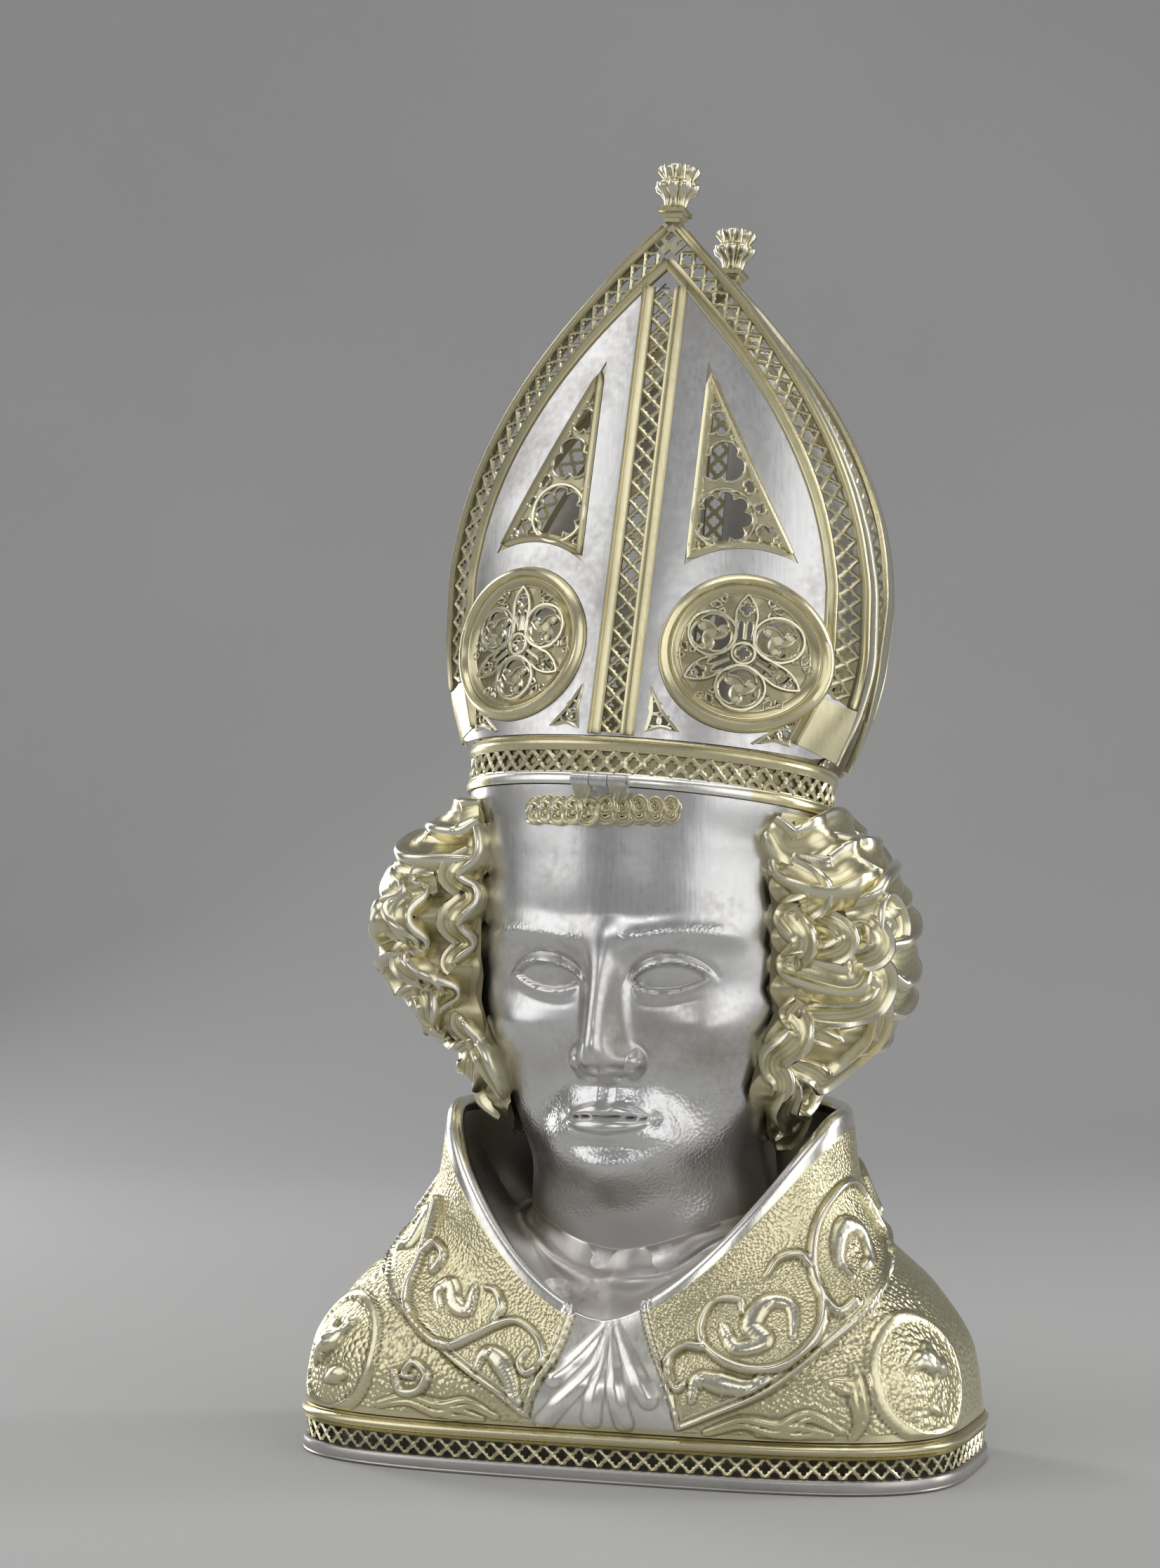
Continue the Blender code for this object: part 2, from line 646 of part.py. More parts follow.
def features(x, z):
    """Rise of the face over the plain head, x parts from its middle and z parts above the chin."""
    a = np.abs(x)
    rise = 3.0 * hill(a - 31, 10, z - 57, 10) + 2.2 * hill(x, 34, z - 106, 17)
    rise += 2.6 * hill(x, 22, z - 29, 15) + 5.0 * hill(x, 12.5, z - 8.5, 8.5)
    rise -= 5.6 * hill(a - 21, 13.5, z - 73, 9.0) + 2.2 * hill(a - 11, 5.0, z - 76, 7.0)
    rise -= 1.6 * hill(a - 27, 9, z - 33, 11)
    return rise + brow(a, z) + nose(a, z) + eyes(a, z) + mouth(a, z)


def brow(a, z):
    """Soft ridge over each eye."""
    line = 87.0 + 3.0 * np.sin(np.clip((a - 8) / 30, 0, 1) * 2.4)
    fade = smoothstep(3, 12, a) * (1 - smoothstep(32, 43, a))
    return 2.3 * fade * np.exp(-((z - line) / 4.2) ** 2) + 1.2 * hill(a, 9, z - 90, 6)


def nose(a, z):
    """Straight bridge, round tip, wings and nostrils."""
    height = ease_through([(38.5, 0.0), (41.5, 4.5), (44.0, 12.2), (47.5, 15.8), (51.0, 16.0), (60, 12.4), (72, 7.6),
                           (80, 4.6), (86, 2.6), (96, 0.0)], z)
    breadth = ease_through([(40, 7.6), (48, 7.4), (54, 6.0), (66, 5.2), (80, 5.4), (92, 8.0)], z)
    bridge = height * np.exp(-np.abs(a / breadth) ** 2.3)
    bridge += 1.5 * height / 16 * np.exp(-(a / (2.1 * breadth)) ** 2)
    wing = 6.2 * np.exp(-(((a - 9.6) / 4.4) ** 2 + ((z - 46.2) / 4.6) ** 2) ** 1.3)
    crease = np.abs(np.hypot((a - 8.4) / 0.95, z - 46.6) - 6.7)
    crease = 1.0 * np.exp(-(crease / 1.0) ** 2) * smoothstep(9.5, 13, a) * smoothstep(40, 44, z)
    nostril = 2.6 * hill(a - 5.0, 2.4, z - 41.9, 1.3)
    return np.maximum(bridge, wing) + 0.25 * np.minimum(bridge, wing) - crease - nostril


EYE_PLACE = 20.5
EYE_REACH = 11.2
MOUTH_REACH = 17.0


def lid_edges(t):
    """Height of the eye's middle line, and of the upper and the lower lid over it, at -1 to 1 across the eye."""
    bow = np.clip(1 - t * t, 0, None)
    return 74.2 + 0.9 * t, 5.4 * bow ** 0.75, -3.9 * bow ** 0.85


def lip_edges(a):
    """Heights of the line between the lips and of the lips' upper and lower edge."""
    seam = 28.0 + 0.5 * np.cos(a / 16.5 * 2.6) * (a < 20) - 0.35 * np.exp(-(a / 3.0) ** 2)
    width = np.clip(1 - (a / MOUTH_REACH) ** 2, 0, None)
    return seam, seam + 4.6 * width ** 0.9 * (1 - 0.24 * np.exp(-(a / 2.6) ** 2)), seam - 5.6 * width ** 0.75


def eyes(a, z):
    """Eyeballs between an upper and a lower lid, with a crease above."""
    t = (a - EYE_PLACE) / EYE_REACH
    middle, upper, lower = lid_edges(t)
    up = z - middle
    ball_rise = 4.6 * np.exp(-(np.hypot((a - EYE_PLACE) / 11.5, up / 8.2)) ** 2.6)
    inside = smoothstep(-0.35, 0.55, upper - up) * smoothstep(-0.35, 0.55, up - lower) * (np.abs(t) < 1)
    rim = np.exp(-((up - upper - 0.7) / 0.85) ** 2) * 1.0 + np.exp(-((up - lower + 0.7) / 0.9) ** 2) * 0.55
    rim = rim * smoothstep(1.12, 0.86, np.abs(t))
    crease_line = 9.0 * np.clip(1 - ((a - EYE_PLACE) / 13.5) ** 2, 0, None) ** 0.7
    crease = np.exp(-((up - crease_line) / 1.0) ** 2) * smoothstep(1.15, 0.85, np.abs(a - EYE_PLACE) / 13.0)
    bag = 0.7 * np.exp(-((up + 8.4 - 2.0 * t * t) / 1.3) ** 2) * smoothstep(1.0, 0.5, np.abs(t))
    corner = 0.8 * hill(a - 10.4, 1.6, z - 73.0, 1.4)
    return ball_rise - 1.35 * inside + rim - 1.3 * crease - 0.5 * bag - corner


def mouth(a, z):
    """Closed lips with a soft line between them, the groove above and the hollow below."""
    seam, top, low = lip_edges(a)
    width = np.clip(1 - (a / MOUTH_REACH) ** 2, 0, None)
    on_upper = smoothstep(-0.4, 0.9, top - z) * smoothstep(-0.2, 0.5, z - seam) * (a < 17)
    on_lower = smoothstep(-0.5, 1.2, z - low) * smoothstep(-0.2, 0.5, seam - z) * (a < 17)
    swell_upper = 1.9 * width ** 0.5 * np.sqrt(np.clip((z - seam + 0.6) / 6.0, 0, 1))
    swell_lower = 2.9 * width ** 0.6 * np.sqrt(np.clip(1 - ((z - seam + 2.5) / 3.6) ** 2, 0, 1))
    line = 1.7 * np.exp(-((z - seam) / 0.75) ** 2) * smoothstep(18.5, 14, a)
    groove = 0.9 * hill(a, 2.0, z - 36, 3.6) - 0.45 * hill(a - 3.8, 1.5, z - 35.5, 3.6)
    corner = 1.3 * hill(a - 17.6, 2.4, z - 27.6, 2.6)
    return (on_upper * (1.4 + 0.4 * swell_upper) + on_lower * swell_lower - line - groove - corner
            - 2.8 * hill(a, 12, z - 18.2, 3.0))


def cast_head(angle, height):
    """Radius of the head from its axis, looking out at angle from the front, at a height in metres."""
    angle, height = np.broadcast_arrays(np.asarray(angle, float), np.asarray(height, float))
    ways = np.stack([np.sin(angle), -np.cos(angle)], axis=-1)
    low = np.full(angle.shape, 8.0)
    high = np.full(angle.shape, 90.0)
    level = (height - CHIN_HEIGHT) / PART

    def form(reach):
        p = np.concatenate([ways * reach[..., None], level[..., None]], axis=-1)
        return plain_head(p)

    # Walk in from outside to the first surface, then halve the gap
    reach = high.copy()
    found = np.zeros(angle.shape, bool)
    for _ in range(26):
        distance = form(reach)
        step = np.where(found, 0.0, np.maximum(distance * 0.8, 0.4))
        found |= distance < 0.25
        reach = np.where(found, reach, np.maximum(reach - step, low))
    inner = np.maximum(reach - 1.2, low)
    outer = reach + 1.2
    for _ in range(9):
        middle = 0.5 * (inner + outer)
        outside = form(middle) > 0
        outer = np.where(outside, middle, outer)
        inner = np.where(outside, inner, middle)
    front = smoothstep(0.0, 0.35, np.cos(angle))
    return (outer + front * features(FACE_REACH * np.sin(angle), level)) * PART


# Mitre frame: across, up the mitre and backwards, leaning as it sits

def mitre_axes():
    tilt = MITRE_TILT_BACK
    lean = MITRE_LEAN
    turn_back = np.array([[1, 0, 0], [0, math.cos(tilt), math.sin(tilt)], [0, -math.sin(tilt), math.cos(tilt)]])
    turn_lean = np.array([[math.cos(lean), 0, math.sin(lean)], [0, 1, 0], [-math.sin(lean), 0, math.cos(lean)]])
    return turn_lean @ turn_back


MITRE_AXES = mitre_axes()


def mitre_point(local):
    """World point of mitre coordinates (across, back, up)."""
    return np.array(MITRE_CENTRE) + np.asarray(local, float) @ MITRE_AXES.T


def seat_height(x, y):
    """Height of the plane on which the mitre's rim sits."""
    normal = MITRE_AXES[:, 2]
    centre = np.array(MITRE_CENTRE)
    return centre[2] - (normal[0] * (x - centre[0]) + normal[1] * (y - centre[1])) / normal[2]


SEAT_INSET = 0.0008
SEAT_BLEND = 0.0140


def seat_radius(angle):
    """Radius of the crown's edge, just inside the mitre's rim."""
    a = RIM_HALF_WIDTH - SEAT_INSET
    b = RIM_HALF_DEPTH - SEAT_INSET
    return 1 / np.sqrt((np.sin(angle) / a) ** 2 + (np.cos(angle) / b) ** 2)


NECK_FRONT = 0.0740
NECK_SIDE = 0.0860
NECK_BACK = 0.1130
TROUGH_ROWS = 4


def neck_height(angle):
    """Height at which the neck turns out into the linen collar."""
    forward = np.cos(angle)
    side = np.abs(np.sin(angle)) ** 1.7
    front = NECK_FRONT + (NECK_SIDE - NECK_FRONT) * side
    back = NECK_BACK + (NECK_SIDE - NECK_BACK) * np.abs(np.sin(angle)) ** 1.2
    return np.where(forward > 0, front, back)


def head_point(angle, share):
    """Point of the head between the neck, share 0, and the crown's edge, share 1."""
    angle, share = np.broadcast_arrays(angle, share)
    low = neck_height(angle)
    edge = seat_radius(angle)
    ways_x = np.sin(angle)
    ways_y = -np.cos(angle)
    high = seat_height(HEAD_CENTRE_X + edge * ways_x, HEAD_CENTRE_Y + edge * ways_y) - SEAT_GAP
    z = low + (high - low) * share
    radius = cast_head(angle, z)
    settle = smoothstep(-SEAT_BLEND, 0.0, z - high)
    radius = radius + (edge - radius) * settle
    return np.stack([HEAD_CENTRE_X + radius * ways_x, HEAD_CENTRE_Y + radius * ways_y, z], axis=-1)


def trough_point(angle, share):
    """Point of the linen between the neck, share 0, and the collar edge, share 1."""
    angle, share = np.broadcast_arrays(angle, share)
    neck = head_point(angle, 0.0)
    ex, ey, ez = collar_edge(angle / FULL_TURN, COLLAR_ROLL + SEAT_GAP)
    edge = np.stack([ex, ey, ez - 0.0004], axis=-1)
    drop = 0.016 * np.abs(np.sin(angle)) + 0.004
    first = neck - np.stack([0 * drop, 0 * drop, 0.6 * drop], axis=-1)
    inward = 0.30 * (neck - edge) * np.array([1, 1, 0])
    second = edge + inward - np.stack([0 * drop, 0 * drop, 1.3 * drop], axis=-1)
    s = share[..., None]
    return (1 - s) ** 3 * neck + 3 * (1 - s) ** 2 * s * first + 3 * (1 - s) * s * s * second + s ** 3 * edge


HEAD_COLUMNS = 36
HEAD_LEVELS = 15
HEAD_INNER_ROWS = 6
HEAD_SCALE = np.array([0.055 * math.pi / 180, 0.135])
# Denser patches of the face: lowest and highest degrees, lowest and highest height, and how many of each
FACE_PATCHES = [(-54, 54, 0.098, 0.196, 17, 14), (8, 40, 0.155, 0.1840, 9, 8), (-40, -8, 0.155, 0.1840, 9, 8),
                (-22, 22, 0.1050, 0.1290, 11, 8), (-16, 16, 0.1290, 0.1480, 11, 8), (-7, 7, 0.152, 0.178, 5, 5)]
FACE_CROWDING = 0.0016


def head_limits(degrees):
    """Lowest and highest height of the head's own surface at an angle."""
    angle = np.radians(degrees)
    edge = seat_radius(angle)
    high = seat_height(HEAD_CENTRE_X + edge * np.sin(angle), HEAD_CENTRE_Y - edge * np.cos(angle)) - SEAT_GAP
    return neck_height(angle), high


def face_places():
    """Places of the denser patches, coarse ones left out where a finer patch lies."""
    found = []
    for number, (left, right, low, high, across, up) in enumerate(FACE_PATCHES):
        degrees, heights = np.meshgrid(np.linspace(left, right, across), np.linspace(low, high, up))
        patch = np.stack([degrees.ravel(), heights.ravel()], axis=1)
        for later in FACE_PATCHES[number + 1:]:
            covered = (patch[:, 0] > later[0] - 1.5) & (patch[:, 0] < later[1] + 1.5)
            covered &= (patch[:, 1] > later[2] - 0.0015) & (patch[:, 1] < later[3] + 0.0015)
            patch = patch[~covered]
        found.append(patch)
    found = np.vstack(found)
    low, high = head_limits(found[:, 0])
    found[:, 1] = (found[:, 1] - low) / (high - low)
    return found


def face_lines():
    """Edges of the lids and the lips as lines of places."""
    found = []
    t = np.linspace(-0.93, 0.93, 8)
    middle, upper, lower = lid_edges(t)
    x = EYE_PLACE + EYE_REACH * t
    for level in (middle + upper - 0.2, middle + upper + 1.3, middle + lower + 0.2, middle + lower - 1.3):
        found += [np.stack([x, level], axis=1), np.stack([-x, level], axis=1)]
    x = np.linspace(-0.94, 0.94, 12) * MOUTH_REACH
    seam, top, low = lip_edges(np.abs(x))
    for level in (seam, top, low, 0.55 * seam + 0.45 * low):
        found.append(np.stack([x, level], axis=1))
    lines = []
    for line in found:
        degrees = np.degrees(np.arcsin(line[:, 0] / FACE_REACH))
        low, high = head_limits(degrees)
        lines.append(np.stack([degrees, (CHIN_HEIGHT + line[:, 1] * PART - low) / (high - low)], axis=1))
    return lines


def build_head(material):
    """Hollow head, neck and linen in one piece, open at the crown."""
    degrees = np.linspace(-180, 180, HEAD_COLUMNS + 1)
    grid = np.array([(d, share) for share in np.linspace(0, 1, HEAD_LEVELS) for d in degrees])
    fixed = (grid[:, 1] == 0) | (grid[:, 1] == 1) | (np.abs(grid[:, 0]) == 180)
    detail = face_places()
    away = np.array([np.hypot(*((detail - place) * HEAD_SCALE).T).min() for place in grid])
    kept = fixed | (away > 0.0045)
    places = np.vstack([grid[kept], detail])
    fixed = np.concatenate([fixed[kept], np.zeros(len(detail), bool)])
    places, faces = spread_mesh(places, fixed, face_lines(), HEAD_SCALE, FACE_CROWDING)
    faces, match = join_seam(places, faces, 180)
    verts = list(head_point(np.radians(places[:, 0]), places[:, 1]))
    bottom = edge_ring(places, match, 0.0)
    top = edge_ring(places, match, 1.0)
    angle = np.radians(places[bottom, 0])
    ways = np.stack([np.sin(angle), -np.cos(angle), 0 * angle], axis=1)
    axis = np.array([HEAD_CENTRE_X, HEAD_CENTRE_Y, 0])
    trough = [trough_point(angle, share) for share in np.linspace(0, 1, TROUGH_ROWS + 1)[1:]]
    rings = [bottom] + [add_ring(verts, row) for row in trough]
    rings.append(add_ring(verts, trough[-1] - np.array([0, 0, SHEET]) - 0.0002 * ways))
    for row in trough[-2::-1]:
        rings.append(add_ring(verts, row - np.array([0, 0, 1.5 * SHEET]) - 0.0006 * ways))
    fine = np.linspace(0, 1, 49)
    skin = np.array([head_point(angle, share) for share in fine])
    radius = np.hypot(skin[..., 0] - axis[0], skin[..., 1] - axis[1])
    radius = np.minimum(np.minimum(radius, np.roll(radius, 1, axis=1)), np.roll(radius, -1, axis=1))
    for share in np.linspace(0.0, 1.0, HEAD_INNER_ROWS):
        near = np.abs(fine - share) < 0.6 / HEAD_INNER_ROWS
        points = axis + ways * (radius[near].min(axis=0) - HEAD_WALL)[:, None]
        low, high = head_limits(places[bottom, 0])
        points[:, 2] = low + (high - low) * share - (1.5 * SHEET if share == 0 else 0)
        if share == 1.0:
            points = axis + ways * (seat_radius(angle) - 2 * HEAD_WALL)[:, None]
            points[:, 2] = seat_height(points[:, 0], points[:, 1]) - SEAT_GAP - 2 * HEAD_WALL
        rings.append(add_ring(verts, points))
    lip = axis + ways * (seat_radius(angle) - 2 * HEAD_WALL)[:, None]
    lip[:, 2] = seat_height(lip[:, 0], lip[:, 1]) - SEAT_GAP
    rings += [add_ring(verts, lip), top]
    return close_shell("head", verts, faces, rings, material, 60.0)


def patch_solid(name, outer, inner, material, smooth_angle=40.0):
    """Closed slab between two open grids whose columns match; the row counts may differ."""
    rows, columns = outer.shape[:2]
    inner_rows = inner.shape[0]
    verts = np.concatenate([outer.reshape(-1, 3), inner.reshape(-1, 3)])
    start = rows * columns
    faces = grid_faces(rows, columns, wrap_columns=False)
    faces += grid_faces(inner_rows, columns, start=start, wrap_columns=False, flip=True)
    last = start + (inner_rows - 1) * columns
    for k in range(columns - 1):
        faces.append((k + 1, k, start + k, start + k + 1))
        below = (rows - 1) * columns + k
        faces.append((below, below + 1, last + k + 1, last + k))
    left = [row * columns for row in range(rows)]
    faces.append(left + [start + row * columns for row in reversed(range(inner_rows))])
    right = [row * columns + columns - 1 for row in reversed(range(rows))]
    faces.append(right + [start + row * columns + columns - 1 for row in range(inner_rows)])
    return add_object(name, verts, faces, material, smooth_angle)


# Hair: a mass round the sides and back, in parts of the face's height, with locks lying over it

HAIR_START_LEFT = 57.0
HAIR_START_RIGHT = 61.0
HAIR_COLUMNS = 34
HAIR_ROWS = 15
HAIR_INNER_ROWS = 9
HAIR_GAP = 0.0018
# Depth of the hair over the head at levels above the chin
HAIR_LEFT = [(14, 4), (34, 10), (46, 12), (58, 21), (73, 30), (90, 36), (103, 31.5), (116, 24.5), (128, 10),
             (137, 3)]
HAIR_RIGHT = [(14, 5), (34, 11.5), (46, 20), (56, 28), (70, 32), (86, 33), (100, 31.5), (113, 23.5), (124, 10),
              (137, 3)]
HAIR_BACK = [(20, 2), (34, 6.5), (53, 15), (78, 21.5), (103, 18.5), (118, 11), (137, 3)]
HAIR_LEAST = 2.4
LOCK_HALF_WIDTH = 0.0052
LOCK_RISE = 0.0040
LOCK_SINK = 0.0015
# Crests of the locks as (degrees from the front, parts above the chin), on the viewer's right and left
LOCKS = {
    1: [[(65, 119), (73, 120), (84, 123), (97, 122)], [(68, 107), (74, 110), (82, 114), (96, 117)],
        [(82, 101), (92, 104), (105, 108)], [(81, 92), (92, 104), (107, 108)], [(85, 81), (96, 86), (109, 94)],
        [(83, 68), (95, 71), (111, 79)], [(89, 59), (101, 64), (113, 68)], [(85, 48), (98, 50), (113, 57)],
        [(65, 103), (69, 86), (66, 75), (74, 78), (73, 65), (66, 57)], [(78, 66), (85, 46), (74, 43)],
        [(69, 40), (75, 29), (85, 25), (93, 30)]],
    -1: [[(60, 129), (67, 127), (75, 127), (89, 129)], [(68, 115), (75, 119), (87, 123), (101, 121)],
         [(72, 106), (78, 113), (90, 117)], [(79, 106), (90, 110), (106, 112)], [(84, 92), (98, 96), (112, 100)],
         [(88, 83), (101, 85), (113, 88)], [(90, 74), (104, 76), (113, 76)], [(85, 60), (96, 59), (109, 61)],
         [(65, 106), (70, 98), (67, 90), (74, 80), (77, 71), (68, 68)], [(78, 77), (85, 58), (82, 50), (68, 50)],
         [(83, 45), (75, 37), (67, 44)], [(62, 110), (60, 92), (62, 76)]],
}
BACK_LOCK_LEVELS = (121, 107, 93, 79, 66, 53)


def hair_start(right_side, z):
    """Degrees from the front at which the hair begins, wavering with the height."""
    level = (z - CHIN_HEIGHT) / PART
    base = np.where(right_side, HAIR_START_RIGHT, HAIR_START_LEFT)
    waver = 2.2 * np.sin(FULL_TURN * level / 17 + np.where(right_side, 2.6, 0.6))
    return base + waver + 7.0 * smoothstep(34, 14, level)


def hair_ends(degrees):
    """Lowest and highest height of the hair at degrees from the front, going round."""
    angle = np.radians(degrees)
    edge = seat_radius(angle)
    top = seat_height(HEAD_CENTRE_X + edge * np.sin(angle), HEAD_CENTRE_Y - edge * np.cos(angle)) - 0.0042
    away = np.minimum(degrees, 360 - degrees)
    low = 17 + 19 * smoothstep(84, 130, away) + 14 * smoothstep(72, 57, away)
    return CHIN_HEIGHT + low * PART, top


def hair_depth(angle, z):
    """Depth of the mass over the head."""
    level = (z - CHIN_HEIGHT) / PART
    side = np.sin(angle)
    flank = np.where(side > 0, ease_through(HAIR_RIGHT, level), ease_through(HAIR_LEFT, level))
    back = ease_through(HAIR_BACK, level)
    share = np.where(np.cos(angle) < 0, smoothstep(0.25, 0.85, np.abs(side)), 1.0)
    depth = back + (flank - back) * share
    away = 180 - np.abs(np.degrees(np.mod(angle, FULL_TURN)) - 180)
    near_face = smoothstep(-3.0, 15.0, away - hair_start(side > 0, z))
    return (HAIR_LEAST + (np.maximum(depth, HAIR_LEAST) - HAIR_LEAST) * near_face) * PART


def hair_angle(places):
    """Angle and height of hair places: share round from the right start to the left one, and share up."""
    round_share, up_share = places[..., 0], places[..., 1]
    rough = HAIR_START_RIGHT + round_share * (360 - HAIR_START_LEFT - HAIR_START_RIGHT)
    low, high = hair_ends(rough)
    z = low + (high - low) * up_share
    begin = hair_start(True, z)
    end = 360 - hair_start(False, z)
    return np.radians(begin + (end - begin) * round_share), z


def hair_place(degrees, level):
    """Place of one point given in degrees round and parts above the chin."""
    z = CHIN_HEIGHT + level * PART
    begin = hair_start(True, z)
    round_share = (degrees - begin) / (360 - hair_start(False, z) - begin)
    low, high = hair_ends(HAIR_START_RIGHT + round_share * (360 - HAIR_START_LEFT - HAIR_START_RIGHT))
    return np.array([round_share, (z - low) / (high - low)], float)


def hair_points(places, lift=0.0, depth_share=1.0):
    """Points of the hair's mass, or of its underside when depth_share is 0."""
    angle, z = hair_angle(places)
    edge = seat_radius(angle)
    high = seat_height(HEAD_CENTRE_X + edge * np.sin(angle), HEAD_CENTRE_Y - edge * np.cos(angle)) - SEAT_GAP
    radius = cast_head(angle, z)
    radius = radius + (edge - radius) * smoothstep(-SEAT_BLEND, 0.0, z - high)
    radius = radius + HAIR_GAP + depth_share * hair_depth(angle, z) + lift
    return np.stack([HEAD_CENTRE_X + radius * np.sin(angle), HEAD_CENTRE_Y - radius * np.cos(angle), z], axis=-1)


HAIR_SURFACE = (hair_points, (0.0005, 0.002))


def lock_paths():
    """Crests of all locks as lines of places."""
    paths = []
    for side, locks in LOCKS.items():
        for lock in locks:
            paths.append(np.array([hair_place(side * degrees % 360, level) for degrees, level in lock]))
    for number, level in enumerate(BACK_LOCK_LEVELS):
        steps = np.arange(8)
        degrees = 118 + 17.5 * steps
        paths.append(np.array([hair_place(d, level + 3.4 * math.cos(math.pi * (k + number)))
                               for k, d in zip(steps, degrees)]))
    return [np.clip(path, 0.03, 0.97) for path in paths]


def hair_lift(places, paths):
    """Rise of the locks over the mass, and the sink of the furrows between them."""
    points = hair_points(places)
    rise = np.zeros(len(places))
    for path in paths:
        away = line_distance(points, hair_points(path)) / LOCK_HALF_WIDTH
        rise = np.maximum(rise, np.sqrt(np.clip(1 - away * away, 0, 1)))
    inside = np.minimum(places, 1 - places)
    edge = np.minimum(inside[:, 0] / 0.02, inside[:, 1] / 0.08)
    angle, z = hair_angle(places)
    thick = np.clip(hair_depth(angle, z) / (6 * PART), 0, 1)
    return ((LOCK_RISE + LOCK_SINK) * rise - LOCK_SINK) * smoothstep(0, 1, edge) * thick


def border_order(places):
    """Numbers of the places on the border of the unit square, once round it."""
    along = np.full(len(places), -1.0)
    low = places[:, 1] < 1e-6
    high = places[:, 1] > 1 - 1e-6
    start = places[:, 0] < 1e-6
    end = places[:, 0] > 1 - 1e-6
    along[start] = 4 - places[start, 1]
    along[high] = 3 - places[high, 0]
    along[end] = 1 + places[end, 1]
    along[low] = places[low, 0]
    order = np.argsort(along)
    return [int(k) for k in order if along[k] >= 0]


HAIR_SCALE = np.array([0.34, 0.10])
LOCK_CROWDING = 0.0026


def build_hair(material):
    """Slab from beside one cheek round the back to the other, lying on the head."""
    def square(rows):
        grid = np.array([(a, b) for b in np.linspace(0, 1, rows) for a in np.linspace(0, 1, HAIR_COLUMNS)])
        border = np.any((grid < 1e-6) | (grid > 1 - 1e-6), axis=1)
        return grid, border

    grid, border = square(HAIR_ROWS)
    paths = lock_paths()
    lines = []
    for path in paths:
        lines += ridge_lines(path, 0.8 * LOCK_HALF_WIDTH, HAIR_SURFACE)
    lines = [np.clip(line, 0.025, 0.975) for line in lines]
    places, faces = spread_mesh(grid, border, lines, HAIR_SCALE, LOCK_CROWDING)
    verts = list(hair_points(places, hair_lift(places, paths)))
    outline = border_order(places)
    inside, inner_border = square(HAIR_INNER_ROWS)
    inside = np.vstack([inside[~inner_border], places[outline]])
    inner_places, inner_faces = spread_mesh(inside, np.ones(len(inside), bool), [], HAIR_SCALE, 0.0)
    numbers = add_ring(verts, hair_points(inner_places, depth_share=0.0))
    inner_outline = [numbers[k] for k in border_order(inner_places)]
    faces += [tuple(numbers[k] for k in reversed(face)) for face in inner_faces]
    for k, upper in enumerate(outline):
        beside = (k + 1) % len(outline)
        faces.append((outline[beside], upper, inner_outline[k], inner_outline[beside]))
    return add_object("hair", verts, faces, material, 62.0)


FORELOCK_LEFT = -0.0275
FORELOCK_RIGHT = 0.0285
FORELOCK_LOW = 0.2160
FORELOCK_HIGH = 0.2250
FORELOCK_DEPTH = 0.0022
FORELOCK_CURLS = 9


def build_forelock(material):
    """Strip of small curls lying across the top of the forehead."""
    columns = 3 * FORELOCK_CURLS + 1
    across = np.linspace(FORELOCK_LEFT, FORELOCK_RIGHT, columns)
    angle = np.arctan2(across - HEAD_CENTRE_X, 0.0500)
    phase = np.arange(columns) / 3 * FULL_TURN
    taper = np.sqrt(np.clip(1 - (np.linspace(-1, 1, columns)) ** 4, 0.05, 1))
    rows = []
    for share, rise in ((0.0, 0.25), (0.2, 0.8), (0.5, 1.0), (0.8, 0.8), (1.0, 0.25)):
        low = FORELOCK_LOW + 0.0010 * np.sin(phase)
        z = FORELOCK_HIGH - (FORELOCK_HIGH - low) * share
        depth = HAIR_LIFT + 0.0006 + FORELOCK_DEPTH * taper * rise * (0.75 + 0.25 * np.cos(phase + 3 * share))
        radius = np.hypot(*(head_skin(angle, z)[:, :2] - (HEAD_CENTRE_X, HEAD_CENTRE_Y)).T) + depth
        rows.append(np.stack([HEAD_CENTRE_X + radius * np.sin(angle), HEAD_CENTRE_Y - radius * np.cos(angle), z], 1))
    outer = np.array(rows)
    inner_rows = []
    for row in (outer[0], outer[-1]):
        skin = head_skin(angle, row[:, 2])
        ways = np.stack([np.sin(angle), -np.cos(angle), 0 * angle], axis=1)
        inner_rows.append(skin + ways * (HAIR_LIFT + 0.0002))
    return patch_solid("forelock", outer, np.array(inner_rows), material)


def head_skin(angle, z):
    """Point on the head's outside at a height, with the crown's edge eased in."""
    angle, z = np.broadcast_arrays(angle, z)
    edge = seat_radius(angle)
    high = seat_height(HEAD_CENTRE_X + edge * np.sin(angle), HEAD_CENTRE_Y - edge * np.cos(angle)) - SEAT_GAP
    radius = cast_head(angle, z)
    radius = radius + (edge - radius) * smoothstep(-SEAT_BLEND, 0.0, z - high)
    return np.stack([HEAD_CENTRE_X + radius * np.sin(angle), HEAD_CENTRE_Y - radius * np.cos(angle), z], axis=-1)


# Mitre

def rim_ring(angle, outset, height):
    x = (RIM_HALF_WIDTH + outset) * np.sin(angle)
    y = -(RIM_HALF_DEPTH + outset) * np.cos(angle)
    return mitre_point(np.stack([x, y, np.full_like(x, height)], axis=-1))


RIM_COLUMNS = 40


